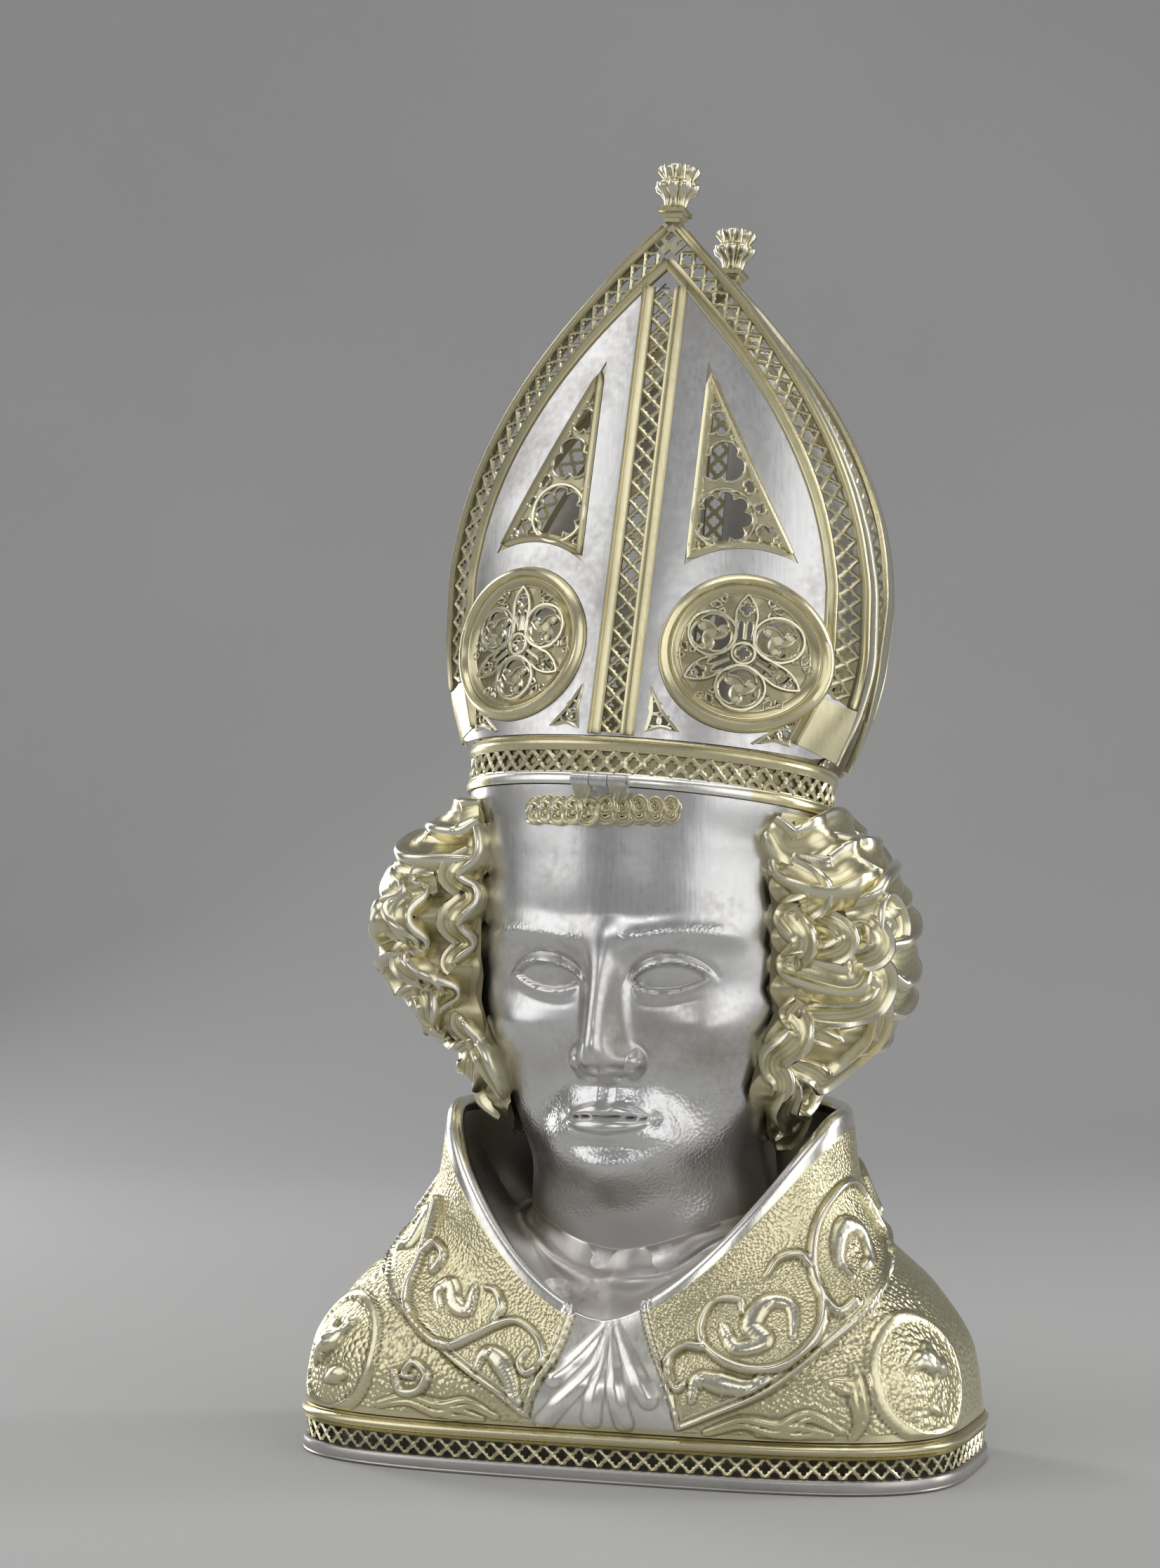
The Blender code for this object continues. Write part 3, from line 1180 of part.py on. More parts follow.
def build_rim(material):
    """Upright ring with a bead below and a moulding above."""
    angle = np.arange(RIM_COLUMNS) / RIM_COLUMNS * FULL_TURN
    bead = RIM_BEAD_HEIGHT
    top = RIM_HEIGHT
    low = RIM_HEIGHT - RIM_MOULDING_HEIGHT
    profile = [(0.2 * RIM_PROUD, top), (RIM_PROUD, top - 0.0012), (0.5 * RIM_PROUD, low), (-0.0004, low),
               (-0.0004, bead), (0.2 * RIM_PROUD, bead), (0.6 * RIM_PROUD, 0.0), (-RIM_WALL - 0.0012, 0.0),
               (-RIM_WALL - 0.0012, bead), (-RIM_WALL, top)]
    return ring_solid("mitre_rim", [rim_ring(angle, *p) for p in profile], material)


def panel_half_width(up):
    """Half of a mitre panel's breadth at a height above the rim's foot."""
    points = [(0.0, 0.0620), (0.030, 0.0735), (PANEL_BELLY_HEIGHT, PANEL_BELLY), (0.090, 0.0750),
              (0.125, 0.0580), (0.160, 0.0345), (PANEL_HEIGHT, 0.0042)]
    return ease_through(points, up)


def panel_depths(up):
    """Distance of a panel's middle and of its edges from the mitre's middle plane."""
    share = (up - RIM_HEIGHT) / (PANEL_HEIGHT - RIM_HEIGHT)
    middle = PANEL_DEPTH_LOW + (PANEL_DEPTH_HIGH - PANEL_DEPTH_LOW) * np.clip(share, 0, 1)
    spread = 0.0008 + PANEL_TOP_SPREAD * np.clip((up - 0.018) / (PANEL_HEIGHT - 0.018), 0, 1) ** 0.9
    return middle, np.minimum(spread, middle)


def panel_point(across, up, out=0.0):
    """Point of the front panel at a breadth and height, raised by out along its face."""
    across, up, out = np.broadcast_arrays(np.asarray(across, float), np.asarray(up, float), np.asarray(out, float))

    def surface(x, h):
        width = panel_half_width(h)
        middle, spread = panel_depths(h)
        share = np.clip(np.abs(x) / width, 0, 1.08)
        round_share = np.sqrt(np.clip(1 - share * share, 0, 1))
        soft_share = 1 - share ** 2.1
        roundness = 1 - smoothstep(0.004, 0.060, h)
        bulge = soft_share + (round_share - soft_share) * roundness
        return np.stack([x, -(spread + (middle - spread) * bulge), h], axis=-1)

    step = 0.0006
    here = surface(across, up)
    along_x = surface(across + step, up) - surface(across - step, up)
    along_h = surface(across, up + step) - surface(across, up - step)
    normal = np.cross(along_x, along_h)
    normal = normal / np.linalg.norm(normal, axis=-1, keepdims=True)
    return here + normal * out[..., None]


PANEL_FOOT = RIM_HEIGHT + 0.0006


def panel_outline(inset=0.0):
    """Outline of a panel, from the foot's right end over the peak to the foot's left end."""
    heights = np.concatenate([np.linspace(PANEL_FOOT, 0.150, 13), np.linspace(0.165, PANEL_HEIGHT, 3)])
    right = np.stack([panel_half_width(heights) - inset - 0.0012, heights], axis=1)
    left = right[::-1] * (-1, 1)
    foot = np.stack([np.linspace(left[-1, 0], right[0, 0], 9)[1:-1], np.full(7, PANEL_FOOT)], axis=1)
    return np.vstack([right, left, foot])


def circle_points(centre, radius, count, start=0.0):
    angle = start + np.arange(count) / count * FULL_TURN
    return np.stack([centre[0] + radius * np.cos(angle), centre[1] + radius * np.sin(angle)], axis=1)


ROSETTE_SIDES = 18


def window_outline(side, grow=0.0):
    """Outline of a pointed window: upright inside, a slope outside and an arc round the rosette below."""
    centre = np.array([ROSETTE_X, ROSETTE_HEIGHT])
    radius = WINDOW_ARC_RADIUS - grow
    inner_x = WINDOW_INNER_X - grow
    outer_x = WINDOW_OUTER_X + 1.6 * grow
    start = math.acos((inner_x - centre[0]) / radius)
    end = math.acos((outer_x - centre[0]) / radius)
    arc = [centre + radius * np.array([math.cos(a), math.sin(a)]) for a in np.linspace(start, end, 6)]
    outline = np.array([(inner_x, WINDOW_TOP + 3.0 * grow)] + arc)[::-1]
    return outline if side > 0 else outline[::-1] * (-1, 1)


def spandrel_outline(side, which):
    """Outline of a small pierced window in a corner of the panel."""
    spots = {"inner": [(0.0125, 0.0330), (0.0125, 0.0200), (0.0215, 0.0205)],
             "outer": [(0.0500, 0.0190), (0.0620, 0.0200), (0.0685, 0.0350)]}
    outline = np.array(spots[which])
    return outline if side > 0 else outline[::-1] * (-1, 1)


def in_outline(points, outline):
    """Which points lie inside an outline."""
    inside = np.zeros(len(points), bool)
    a = outline
    b = np.roll(outline, -1, axis=0)
    for (x0, y0), (x1, y1) in zip(a, b):
        crosses = (y0 > points[:, 1]) != (y1 > points[:, 1])
        slope = (x1 - x0) / (y1 - y0) if y1 != y0 else 0.0
        inside ^= crosses & (points[:, 0] < x0 + slope * (points[:, 1] - y0))
    return inside


def fill_flat(outline, holes, extra):
    """Triangles that fill an outline apart from its holes, through the extra points."""
    loops = [outline] + holes
    points = [tuple(p) for loop in loops for p in loop]
    edges = []
    start = 0
    for loop in loops:
        edges += [(start + k, start + (k + 1) % len(loop)) for k in range(len(loop))]
        start += len(loop)
    points += [tuple(p) for p in extra]
    verts, _, faces, _, _, _ = delaunay_2d_cdt(points, edges, [], 0, 1e-7)
    flat = np.array([tuple(v) for v in verts])
    middles = np.array([flat[list(face)].mean(axis=0) for face in faces])
    keep = in_outline(middles, outline)
    for hole in holes:
        keep &= ~in_outline(middles, hole)
    return flat, [tuple(face) for face, kept in zip(faces, keep) if kept], start


def pierced_plate(outline, holes, front_extra, front_lift, place, front, back, back_extra=(), flange=None):
    """Verts and faces of a closed plate wrapped by place(x, h, out), with its holes cut through."""
    flat_front, faces_front, _ = fill_flat(outline, holes, front_extra)
    flat_back, faces_back, _ = fill_flat(outline, holes, back_extra)
    lift = np.zeros(len(flat_front))
    for k, point in enumerate(front_extra):
        near = np.hypot(*(flat_front - point).T).argmin()
        lift[near] = front_lift[k]
    verts = list(place(flat_front[:, 0], flat_front[:, 1], front + lift))
    start = len(verts)
    verts += list(place(flat_back[:, 0], flat_back[:, 1], np.full(len(flat_back), back)))
    faces = list(faces_front) + [tuple(start + k for k in reversed(face)) for face in faces_back]
    first = 0
    for number, loop in enumerate([outline] + holes):
        count = len(loop)
        chain = [[first + k for k in range(count)], [start + first + k for k in range(count)]]
        if number == 0 and flange is not None:
            chain = flange(verts, chain)
        for upper, lower in zip(chain[:-1], chain[1:]):
            for k in range(count):
                beside = (k + 1) % count
                faces.append((upper[beside], upper[k], lower[k], lower[beside]))
        first += count
    return verts, faces


def panel_mouldings():
    """Places and rises of the mouldings beside the middle strip and along the edges."""
    spots = []
    half = BAND_MOULDING / 2
    for side in (-1, 1):
        centre = side * (STRIP_WIDTH / 2 - half)
        for up in np.linspace(0.021, STRIP_TOP, 9):
            spots += [((centre, up), BAND_RISE), ((centre - half, up), 0.0), ((centre + half, up), 0.0)]
        for up in np.concatenate([np.linspace(0.040, 0.150, 8), [0.165, 0.178]]):
            width = panel_half_width(up)
            slope = (panel_half_width(up + 0.001) - panel_half_width(up - 0.001)) / 0.002
            lean = math.hypot(1, slope)
            inner = (BAND_WIDTH - half) * lean
            if width - inner < STRIP_WIDTH / 2 + 0.004:
                continue
            spots += [((side * (width - inner), up), BAND_RISE), ((side * (width - inner - half * lean), up), 0.0),
                      ((side * (width - inner + half * lean), up), 0.0)]
            spots.append(((side * (width - 0.0028 * lean), up), 0.8 * BAND_RISE))
    return spots


def build_panel(name, flip, material):
    """Mitre panel: a wrapped sheet with windows, mouldings and a flange turned back along its edge."""
    outline = panel_outline()
    holes = []
    for side in (-1, 1):
        centre = (side * ROSETTE_X, ROSETTE_HEIGHT)
        holes.append(circle_points(centre, ROSETTE_RADIUS + INSET_CLEARANCE, ROSETTE_SIDES)[::-1])
        holes.append(window_outline(side, INSET_CLEARANCE)[::-1])
        holes += [spandrel_outline(side, which)[::-1] for which in ("inner", "outer")]
    field = [(side * x, up) for side in (-1, 1) for x, up in
             ((0.030, 0.022), (0.062, 0.075), (0.010, 0.100), (0.030, 0.150), (0.046, 0.108), (0.012, 0.060))]
    spots = panel_mouldings() + [(p, 0.0) for p in field]
    spots = [s for s in spots if all(not in_outline(np.array([s[0]]), hole)[0] for hole in holes)]
    spots = [s for s in spots if min(np.hypot(*(hole - s[0]).T).min() for hole in holes) > 0.0010]
    extra = np.array([s[0] for s in spots])
    lift = [s[1] for s in spots]
    back_extra = np.array([(x, up) for x in (-0.005, 0.005) for up in np.linspace(0.04, 0.17, 6)])

    def place(x, h, out):
        local = panel_point(x, h, out)
        if flip:
            local = local * np.array([-1, -1, 1])
        return mitre_point(local)

    def flange(verts, chain):
        flat = outline
        middle, spread = panel_depths(flat[:, 1])
        on_foot = flat[:, 1] <= PANEL_FOOT + 1e-9
        depth = np.minimum(FLANGE_DEPTH, spread - 0.0006 - PANEL_SHEET)
        depth = np.where(on_foot, 0.0, np.maximum(depth, 0.0)) + PANEL_SHEET + 0.0001
        outer = panel_point(flat[:, 0], flat[:, 1], 0.0)
        inward = flat - np.array([0, 0.09])
        inward = inward / np.linalg.norm(inward, axis=1, keepdims=True)
        low = outer + np.stack([0 * depth, depth, 0 * depth], axis=1)
        inside = low - np.stack([inward[:, 0], 0 * depth, np.where(on_foot, 0, inward[:, 1])], 1) * PANEL_SHEET
        rows = []
        for points in (low, inside):
            if flip:
                points = points * np.array([-1, -1, 1])
            start = len(verts)
            verts.extend(mitre_point(points))
            rows.append(list(range(start, start + len(points))))
        return [chain[0]] + rows + [chain[1]]

    verts, faces = pierced_plate(outline, holes, extra, lift, place, 0.0, -PANEL_SHEET, back_extra, flange)
    return add_object(name, verts, faces, material)


def set_in_panel(flip):
    """Wrap flat mitre places on the front or the back panel."""
    def place(x, h, out):
        local = panel_point(x, h, out)
        if flip:
            local = local * np.array([-1, -1, 1])
        return mitre_point(local)
    return place


def build_rosette(name, side, flip, material):
    """Round window: a raised frame with a pierced star of lancets and swirls."""
    centre = np.array([side * ROSETTE_X, ROSETTE_HEIGHT])
    outline = circle_points(centre, ROSETTE_RADIUS, ROSETTE_SIDES)
    holes = []
    for k in range(6):
        angle = math.pi / 2 + k * math.pi / 3
        straight = k % 2 == 0
        reach = ROSETTE_OPENING - 0.0012
        spread = 0.20 if straight else 0.36
        near = 0.0075
        points = [(near, angle - 0.12), (0.6 * reach, angle - spread), (reach, angle - (0.1 if straight else 0.30)),
                  (reach, angle + (0.1 if straight else 0.30)), (0.6 * reach, angle + spread), (near, angle + 0.12)]
        holes.append(np.array([centre + r * np.array([math.cos(a), math.sin(a)]) for r, a in points])[::-1])
    holes.append(circle_points(centre, 0.0030, 6)[::-1])
    crest = circle_points(centre, ROSETTE_RADIUS - 0.0022, ROSETTE_SIDES)
    foot = circle_points(centre, ROSETTE_OPENING + 0.0014, ROSETTE_SIDES)
    extra = np.vstack([crest, foot])
    lift = [ROSETTE_FRAME_RISE] * len(crest) + [0.0] * len(foot)
    verts, faces = pierced_plate(outline, holes, extra, lift, set_in_panel(flip), 0.0006, -PANEL_SHEET, foot)
    return add_object(name, verts, faces, material)


def build_tracery(name, side, flip, material):
    """Pointed window: bars round a large round light with small lights above and beside it."""
    outline = window_outline(side)
    middle = np.array([side * 0.0300, 0.0965])
    lights = [circle_points(middle, 0.0068, 10), circle_points((side * 0.0222, 0.1125), 0.0030, 6),
              circle_points((side * 0.0213, 0.1260), 0.0020, 5), circle_points((side * 0.0430, 0.0905), 0.0022, 5),
              circle_points((side * 0.0215, 0.0850), 0.0018, 5)]
    holes = [light[::-1] for light in lights]
    verts, faces = pierced_plate(outline, holes, np.zeros((0, 2)), [], set_in_panel(flip), -0.0002, -PANEL_SHEET)
    return add_object(name, verts, faces, material)


FINIAL_SIDES = 16


def build_finial(name, flip, material):
    """Stepped square block, a flaring cup of leaves and a ring of curled tips."""
    middle, _ = panel_depths(PANEL_HEIGHT)
    centre = np.array([0, (1 if flip else -1) * (middle - 0.0012), PANEL_HEIGHT + SEAT_GAP])
    angle = (np.arange(FINIAL_SIDES) + 0.5) / FINIAL_SIDES * FULL_TURN
    square = 1 / np.maximum(np.abs(np.cos(angle)), np.abs(np.sin(angle)))
    leaves = 1 + 0.16 * np.cos(8 * (angle - angle[0]))
    profile = [(0.0, 0.55, square), (0.09, 0.62, square), (0.13, 0.92, square), (0.20, 0.92, square),
               (0.24, 0.62, square), (0.34, 0.58, square), (0.42, 0.62, leaves), (0.62, 0.86, leaves),
               (0.80, 1.08, leaves), (0.90, 1.22, leaves), (1.0, 0.98, leaves), (0.93, 0.60, leaves)]
    rings = []
    for share, spread, shape in reversed(profile):
        radius = FINIAL_BLOCK * spread * shape
        rings.append(np.stack([centre[0] + radius * np.cos(angle), centre[1] + radius * np.sin(angle),
                               np.full(FINIAL_SIDES, centre[2] + FINIAL_HEIGHT * share)], axis=1))
    return turned_solid(name, [mitre_point(ring) for ring in rings], material)


# Hinge: its line lies in the mitre's frame, level with the foot of the rim

KNUCKLE_SIDES = 12


def hinge_line():
    """Place of the hinge line's middle in the mitre's frame, as back and up."""
    return np.array([-(RIM_HALF_DEPTH + HINGE_REACH), HINGE_RISE])


def hinge_point():
    """World place of the hinge's middle."""
    return mitre_point((HINGE_X, *hinge_line()))


def barrel(name, start, end, first, last, corners, material):
    """Short tube along the hinge with a leaf; the barrel's sides from first to last make room for its corners."""
    angle = np.arange(KNUCKLE_SIDES) / KNUCKLE_SIDES * FULL_TURN
    bore = (PIN_RADIUS + PIN_CLEARANCE) / math.cos(math.pi / KNUCKLE_SIDES)
    outer = np.stack([KNUCKLE_RADIUS * np.cos(angle), KNUCKLE_RADIUS * np.sin(angle)], 1) + hinge_line()
    inner = np.stack([bore * np.cos(angle), bore * np.sin(angle)], 1) + hinge_line()
    shell = [outer[k % KNUCKLE_SIDES] for k in range(last, last + (first - last) % KNUCKLE_SIDES + 1)]
    outline = np.array([tuple(c) for c in corners] + [tuple(p) for p in shell])
    flat, faces, _ = fill_flat(outline, [inner[::-1]], np.zeros((0, 2)))
    verts = [mitre_point((x, back, up)) for x in (start, end) for back, up in flat]
    count = len(flat)
    solid = [tuple(reversed(face)) for face in faces] + [tuple(count + k for k in face) for face in faces]
    first_point = 0
    for loop in (outline, inner):
        size = len(loop)
        for k in range(size):
            a = first_point + k
            b = first_point + (k + 1) % size
            solid.append((a, b, count + b, count + a))
        first_point += size
    return add_object(name, verts, solid, material)


def build_hinge(material):
    """Two knuckles on the forehead, one on the rim and the pin through all three."""
    third = (HINGE_LENGTH - 2 * KNUCKLE_GAP) / 3
    left = HINGE_X - HINGE_LENGTH / 2
    back, up = hinge_line()
    skin_world = head_skin(np.array([0.0]), hinge_point()[2] - 0.0045)[0]
    skin = float(((skin_world - np.array(MITRE_CENTRE)) @ MITRE_AXES)[1])
    foot = up - 0.0055
    below = [(skin - HAIR_LIFT - LEAF_THICKNESS, foot), (skin - HAIR_LIFT - 0.0002, foot)]
    edge = -(RIM_HALF_DEPTH + 0.7 * RIM_PROUD) - SEAT_GAP
    behind = [(edge, up - 0.0004), (edge, up + KNUCKLE_RADIUS)]
    quarter = KNUCKLE_SIDES // 4
    middle = left + third + KNUCKLE_GAP
    barrel("hinge_knuckle_left", left, left + third, 3 * quarter, 4 * quarter - 1, below, material)
    barrel("hinge_knuckle_middle", middle, middle + third, 0, quarter, behind, material)
    right = middle + third + KNUCKLE_GAP
    barrel("hinge_knuckle_right", right, right + third, 3 * quarter, 4 * quarter - 1, below, material)
    angle = np.arange(KNUCKLE_SIDES) / KNUCKLE_SIDES * FULL_TURN
    rings = []
    for x in (left - PIN_HEAD, left + HINGE_LENGTH + PIN_HEAD):
        rings.append(mitre_point(np.stack([np.full_like(angle, x), back + PIN_RADIUS * np.cos(angle),
                                           up + PIN_RADIUS * np.sin(angle)], axis=1)))
    turned_solid("hinge_pin", rings, material)


def hang_mitre():
    """Hang the rim and all that it carries on an empty in the middle of the hinge's line."""
    pivot = bpy.data.objects.new("mitre_pivot", None)
    pivot.empty_display_size = KNUCKLE_RADIUS
    pivot.location = hinge_point()
    bpy.context.scene.collection.objects.link(pivot)
    for thing in bpy.data.objects:
        if thing.type == "MESH" and thing.name.startswith(MOVING):
            thing.data.transform(Matrix.Translation(-pivot.location))
            thing.parent = pivot


# Beginnings of the names of the pieces that turn with the mitre
MOVING = ("mitre_", "finial_", "rosette_", "tracery_", "hinge_knuckle_middle")


def build_all():
    clear_scene()
    silver = metal("silver", (0.80, 0.79, 0.78), 0.26)
    foot_silver = metal("foot_silver", (0.55, 0.53, 0.51), 0.38)
    gilt = metal("gilt", (0.80, 0.72, 0.47), 0.30)
    build_foot(foot_silver)
    build_gallery(gilt)
    build_moulding(gilt)
    build_shoulders(gilt)
    build_head(silver)
    build_hair(gilt)
    build_forelock(gilt)
    build_rim(gilt)
    for name, flip in (("front", False), ("back", True)):
        build_panel("mitre_" + name + "_panel", flip, silver)
        build_finial("finial_" + name, flip, gilt)
        for side_name, side in (("left", -1), ("right", 1)):
            build_rosette("rosette_" + name + "_" + side_name, side, flip, gilt)
            build_tracery("tracery_" + name + "_" + side_name, side, flip, gilt)
    build_hinge(gilt)
    hang_mitre()


if __name__ == "__main__":
    build_all()
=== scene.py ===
"""Looks of a bishop's reliquary bust: chased, punched and parcel-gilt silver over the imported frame.

Metres, +Z up, the face towards -Y. Places on the shoulders are (degrees round from the front, share of the
climb from the base to the collar). Places on the mitre are (across, up) on a panel, from its middle and from
the foot of the rim.
"""
import json
import logging
import math
from dataclasses import dataclass, field
from enum import Enum
from typing import Callable, Mapping, Optional, Sequence, Union

import bpy
import mathutils
import numpy as np
from mathutils.geometry import delaunay_2d_cdt
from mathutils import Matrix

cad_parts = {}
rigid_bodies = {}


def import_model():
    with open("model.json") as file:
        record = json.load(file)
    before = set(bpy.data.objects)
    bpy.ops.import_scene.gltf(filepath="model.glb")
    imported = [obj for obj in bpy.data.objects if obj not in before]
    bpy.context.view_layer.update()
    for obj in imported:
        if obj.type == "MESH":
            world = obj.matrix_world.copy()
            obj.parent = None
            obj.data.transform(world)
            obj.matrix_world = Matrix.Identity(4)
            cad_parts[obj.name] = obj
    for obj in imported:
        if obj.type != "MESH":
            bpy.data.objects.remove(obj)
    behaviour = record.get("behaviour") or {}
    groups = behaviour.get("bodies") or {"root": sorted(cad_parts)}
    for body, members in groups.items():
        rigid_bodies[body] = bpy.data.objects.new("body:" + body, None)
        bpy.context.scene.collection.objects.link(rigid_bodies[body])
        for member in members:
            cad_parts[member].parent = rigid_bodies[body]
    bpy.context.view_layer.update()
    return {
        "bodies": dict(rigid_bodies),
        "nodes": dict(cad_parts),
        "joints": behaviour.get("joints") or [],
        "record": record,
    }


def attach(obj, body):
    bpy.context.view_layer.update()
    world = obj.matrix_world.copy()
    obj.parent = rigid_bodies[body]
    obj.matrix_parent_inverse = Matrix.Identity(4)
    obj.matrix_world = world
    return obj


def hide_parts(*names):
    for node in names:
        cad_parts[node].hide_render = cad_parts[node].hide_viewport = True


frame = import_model()

Array = np.ndarray
Colour = tuple[float, float, float]
Place = tuple[float, float]
Wrap = Callable[[Array, Array, Array], Array]

log = logging.getLogger("reliquary_bust")
FULL_TURN = 2 * math.pi


class Body(Enum):
    """The two bodies that the hinge parts."""

    BUST = "bust"
    MITRE = "mitre"


# Curves and blends


def smoothstep(low: float, high: float, value: Array) -> Array:
    """Ease from 0 at low to 1 at high."""
    share = np.clip((np.asarray(value, float) - low) / (high - low), 0.0, 1.0)
    return share * share * (3 - 2 * share)


def ease_through(points: Sequence[Place], at: Array) -> Array:
    """Smooth monotone curve through a few places.

    Args:
        points: (place, value) pairs in rising order of place.
        at: Where the curve is wanted.

    Returns:
        The curve's values.
    """
    xs, ys = np.array(points, float).T
    step = np.diff(xs)
    slope = np.diff(ys) / step
    tangent = np.zeros(len(xs))
    tangent[0] = slope[0]
    tangent[-1] = slope[-1]
    same_way = slope[1:] * slope[:-1] > 0
    mean = 2 * slope[1:] * slope[:-1] / np.where(same_way, slope[1:] + slope[:-1], 1.0)
    tangent[1:-1] = np.where(same_way, mean, 0.0)
    at = np.clip(at, xs[0], xs[-1])
    k = np.clip(np.searchsorted(xs, at, side="right") - 1, 0, len(xs) - 2)
    t = (at - xs[k]) / step[k]
    rise = (1 + 2 * t) * (1 - t) ** 2 * ys[k] + t * t * (3 - 2 * t) * ys[k + 1]
    return rise + step[k] * t * (1 - t) * ((1 - t) * tangent[k] - t * tangent[k + 1])


def wander(points: Sequence[Sequence[float]], count: int) -> Array:
    """Smooth path through a few points.

    Args:
        points: The points that it passes.
        count: How many points the path gets.

    Returns:
        The path, one point a row.
    """
    control = np.array(points, float)
    padded = np.vstack([2 * control[0] - control[1], control, 2 * control[-1] - control[-2]])
    share = np.linspace(0, len(control) - 1, count)
    k = np.minimum(share.astype(int), len(control) - 2)
    t = (share - k)[:, None]
    a, b, c, d = (padded[k + step] for step in range(4))
    bend = (2 * a - 5 * b + 4 * c - d) * t * t + (3 * b - a - 3 * c + d) * t ** 3
    return 0.5 * (2 * b + (c - a) * t + bend)


def unit(vectors: Array) -> Array:
    """Vectors of length one."""
    return vectors / np.maximum(np.linalg.norm(vectors, axis=-1, keepdims=True), 1e-12)


@dataclass
class Nearness:
    """How points lie beside a line: distance, distance to its left and share of its length."""

    away: Array
    side: Array
    share: Array


def beside_line(points: Array, normals: Array, line: Array, reach: float) -> Nearness:
    """Measure points against a line in space.

    Args:
        points: Surface points.
        normals: The surface's outward directions at them.
        line: The line's points.
        reach: Distance beyond which it no longer matters.

    Returns:
        The nearness of every point; away is infinite beyond the reach.
    """
    away = np.full(len(points), np.inf)
    side = np.zeros(len(points))
    share = np.zeros(len(points))
    boxed = np.all((points > line.min(axis=0) - reach) & (points < line.max(axis=0) + reach), axis=1)
    near = np.flatnonzero(boxed)
    p = points[near]
    lengths = np.maximum(np.linalg.norm(np.diff(line, axis=0), axis=1), 1e-9)
    passed = 0.0
    for a, b, length in zip(line[:-1], line[1:], lengths):
        run = (b - a) / length
        along = np.clip((p - a) @ run, 0, length)
        off = p - a - along[:, None] * run
        distance = np.linalg.norm(off, axis=1)
        closer = distance < away[near]
        spots = near[closer]
        away[spots] = distance[closer]
        side[spots] = (off[closer] * np.cross(normals[spots], run)).sum(axis=1)
        share[spots] = (passed + along[closer]) / lengths.sum()
        passed += length
    away[away > reach] = np.inf
    return Nearness(away, side, share)


# Shader kit


class Channel:
    """A value in a finish's node tree; arithmetic on it adds Math nodes."""

    def __init__(self, tree: bpy.types.NodeTree, socket: bpy.types.NodeSocket) -> None:
        """Hold one output socket."""
        self.tree = tree
        self.socket = socket

    def math(self, operation: str, *terms: Union["Channel", float]) -> "Channel":
        """Add a Math node.

        Args:
            operation: Its operation.
            terms: Its inputs, as channels or numbers.

        Returns:
            Its result.
        """
        node = self.tree.nodes.new("ShaderNodeMath")
        node.operation = operation
        for entry, term in zip(node.inputs, terms):
            if isinstance(term, Channel):
                self.tree.links.new(term.socket, entry)
            else:
                entry.default_value = term
        return Channel(self.tree, node.outputs[0])

    def __add__(self, other: Union["Channel", float]) -> "Channel":
        """Sum."""
        return self.math("ADD", self, other)

    __radd__ = __add__

    def __sub__(self, other: Union["Channel", float]) -> "Channel":
        """Difference."""
        return self.math("SUBTRACT", self, other)

    def __rsub__(self, other: float) -> "Channel":
        """Difference from a number."""
        return self.math("SUBTRACT", other, self)

    def __mul__(self, other: Union["Channel", float]) -> "Channel":
        """Product."""
        return self.math("MULTIPLY", self, other)

    __rmul__ = __mul__

    def between(self, low: float, high: float) -> "Channel":
        """0 below low, 1 above high and a straight rise between them."""
        scaled = (self - low) * (1 / (high - low))
        return self.math("MINIMUM", self.math("MAXIMUM", scaled, 0.0), 1.0)

    def larger(self, other: Union["Channel", float]) -> "Channel":
        """The larger of the two."""
        return self.math("MAXIMUM", self, other)


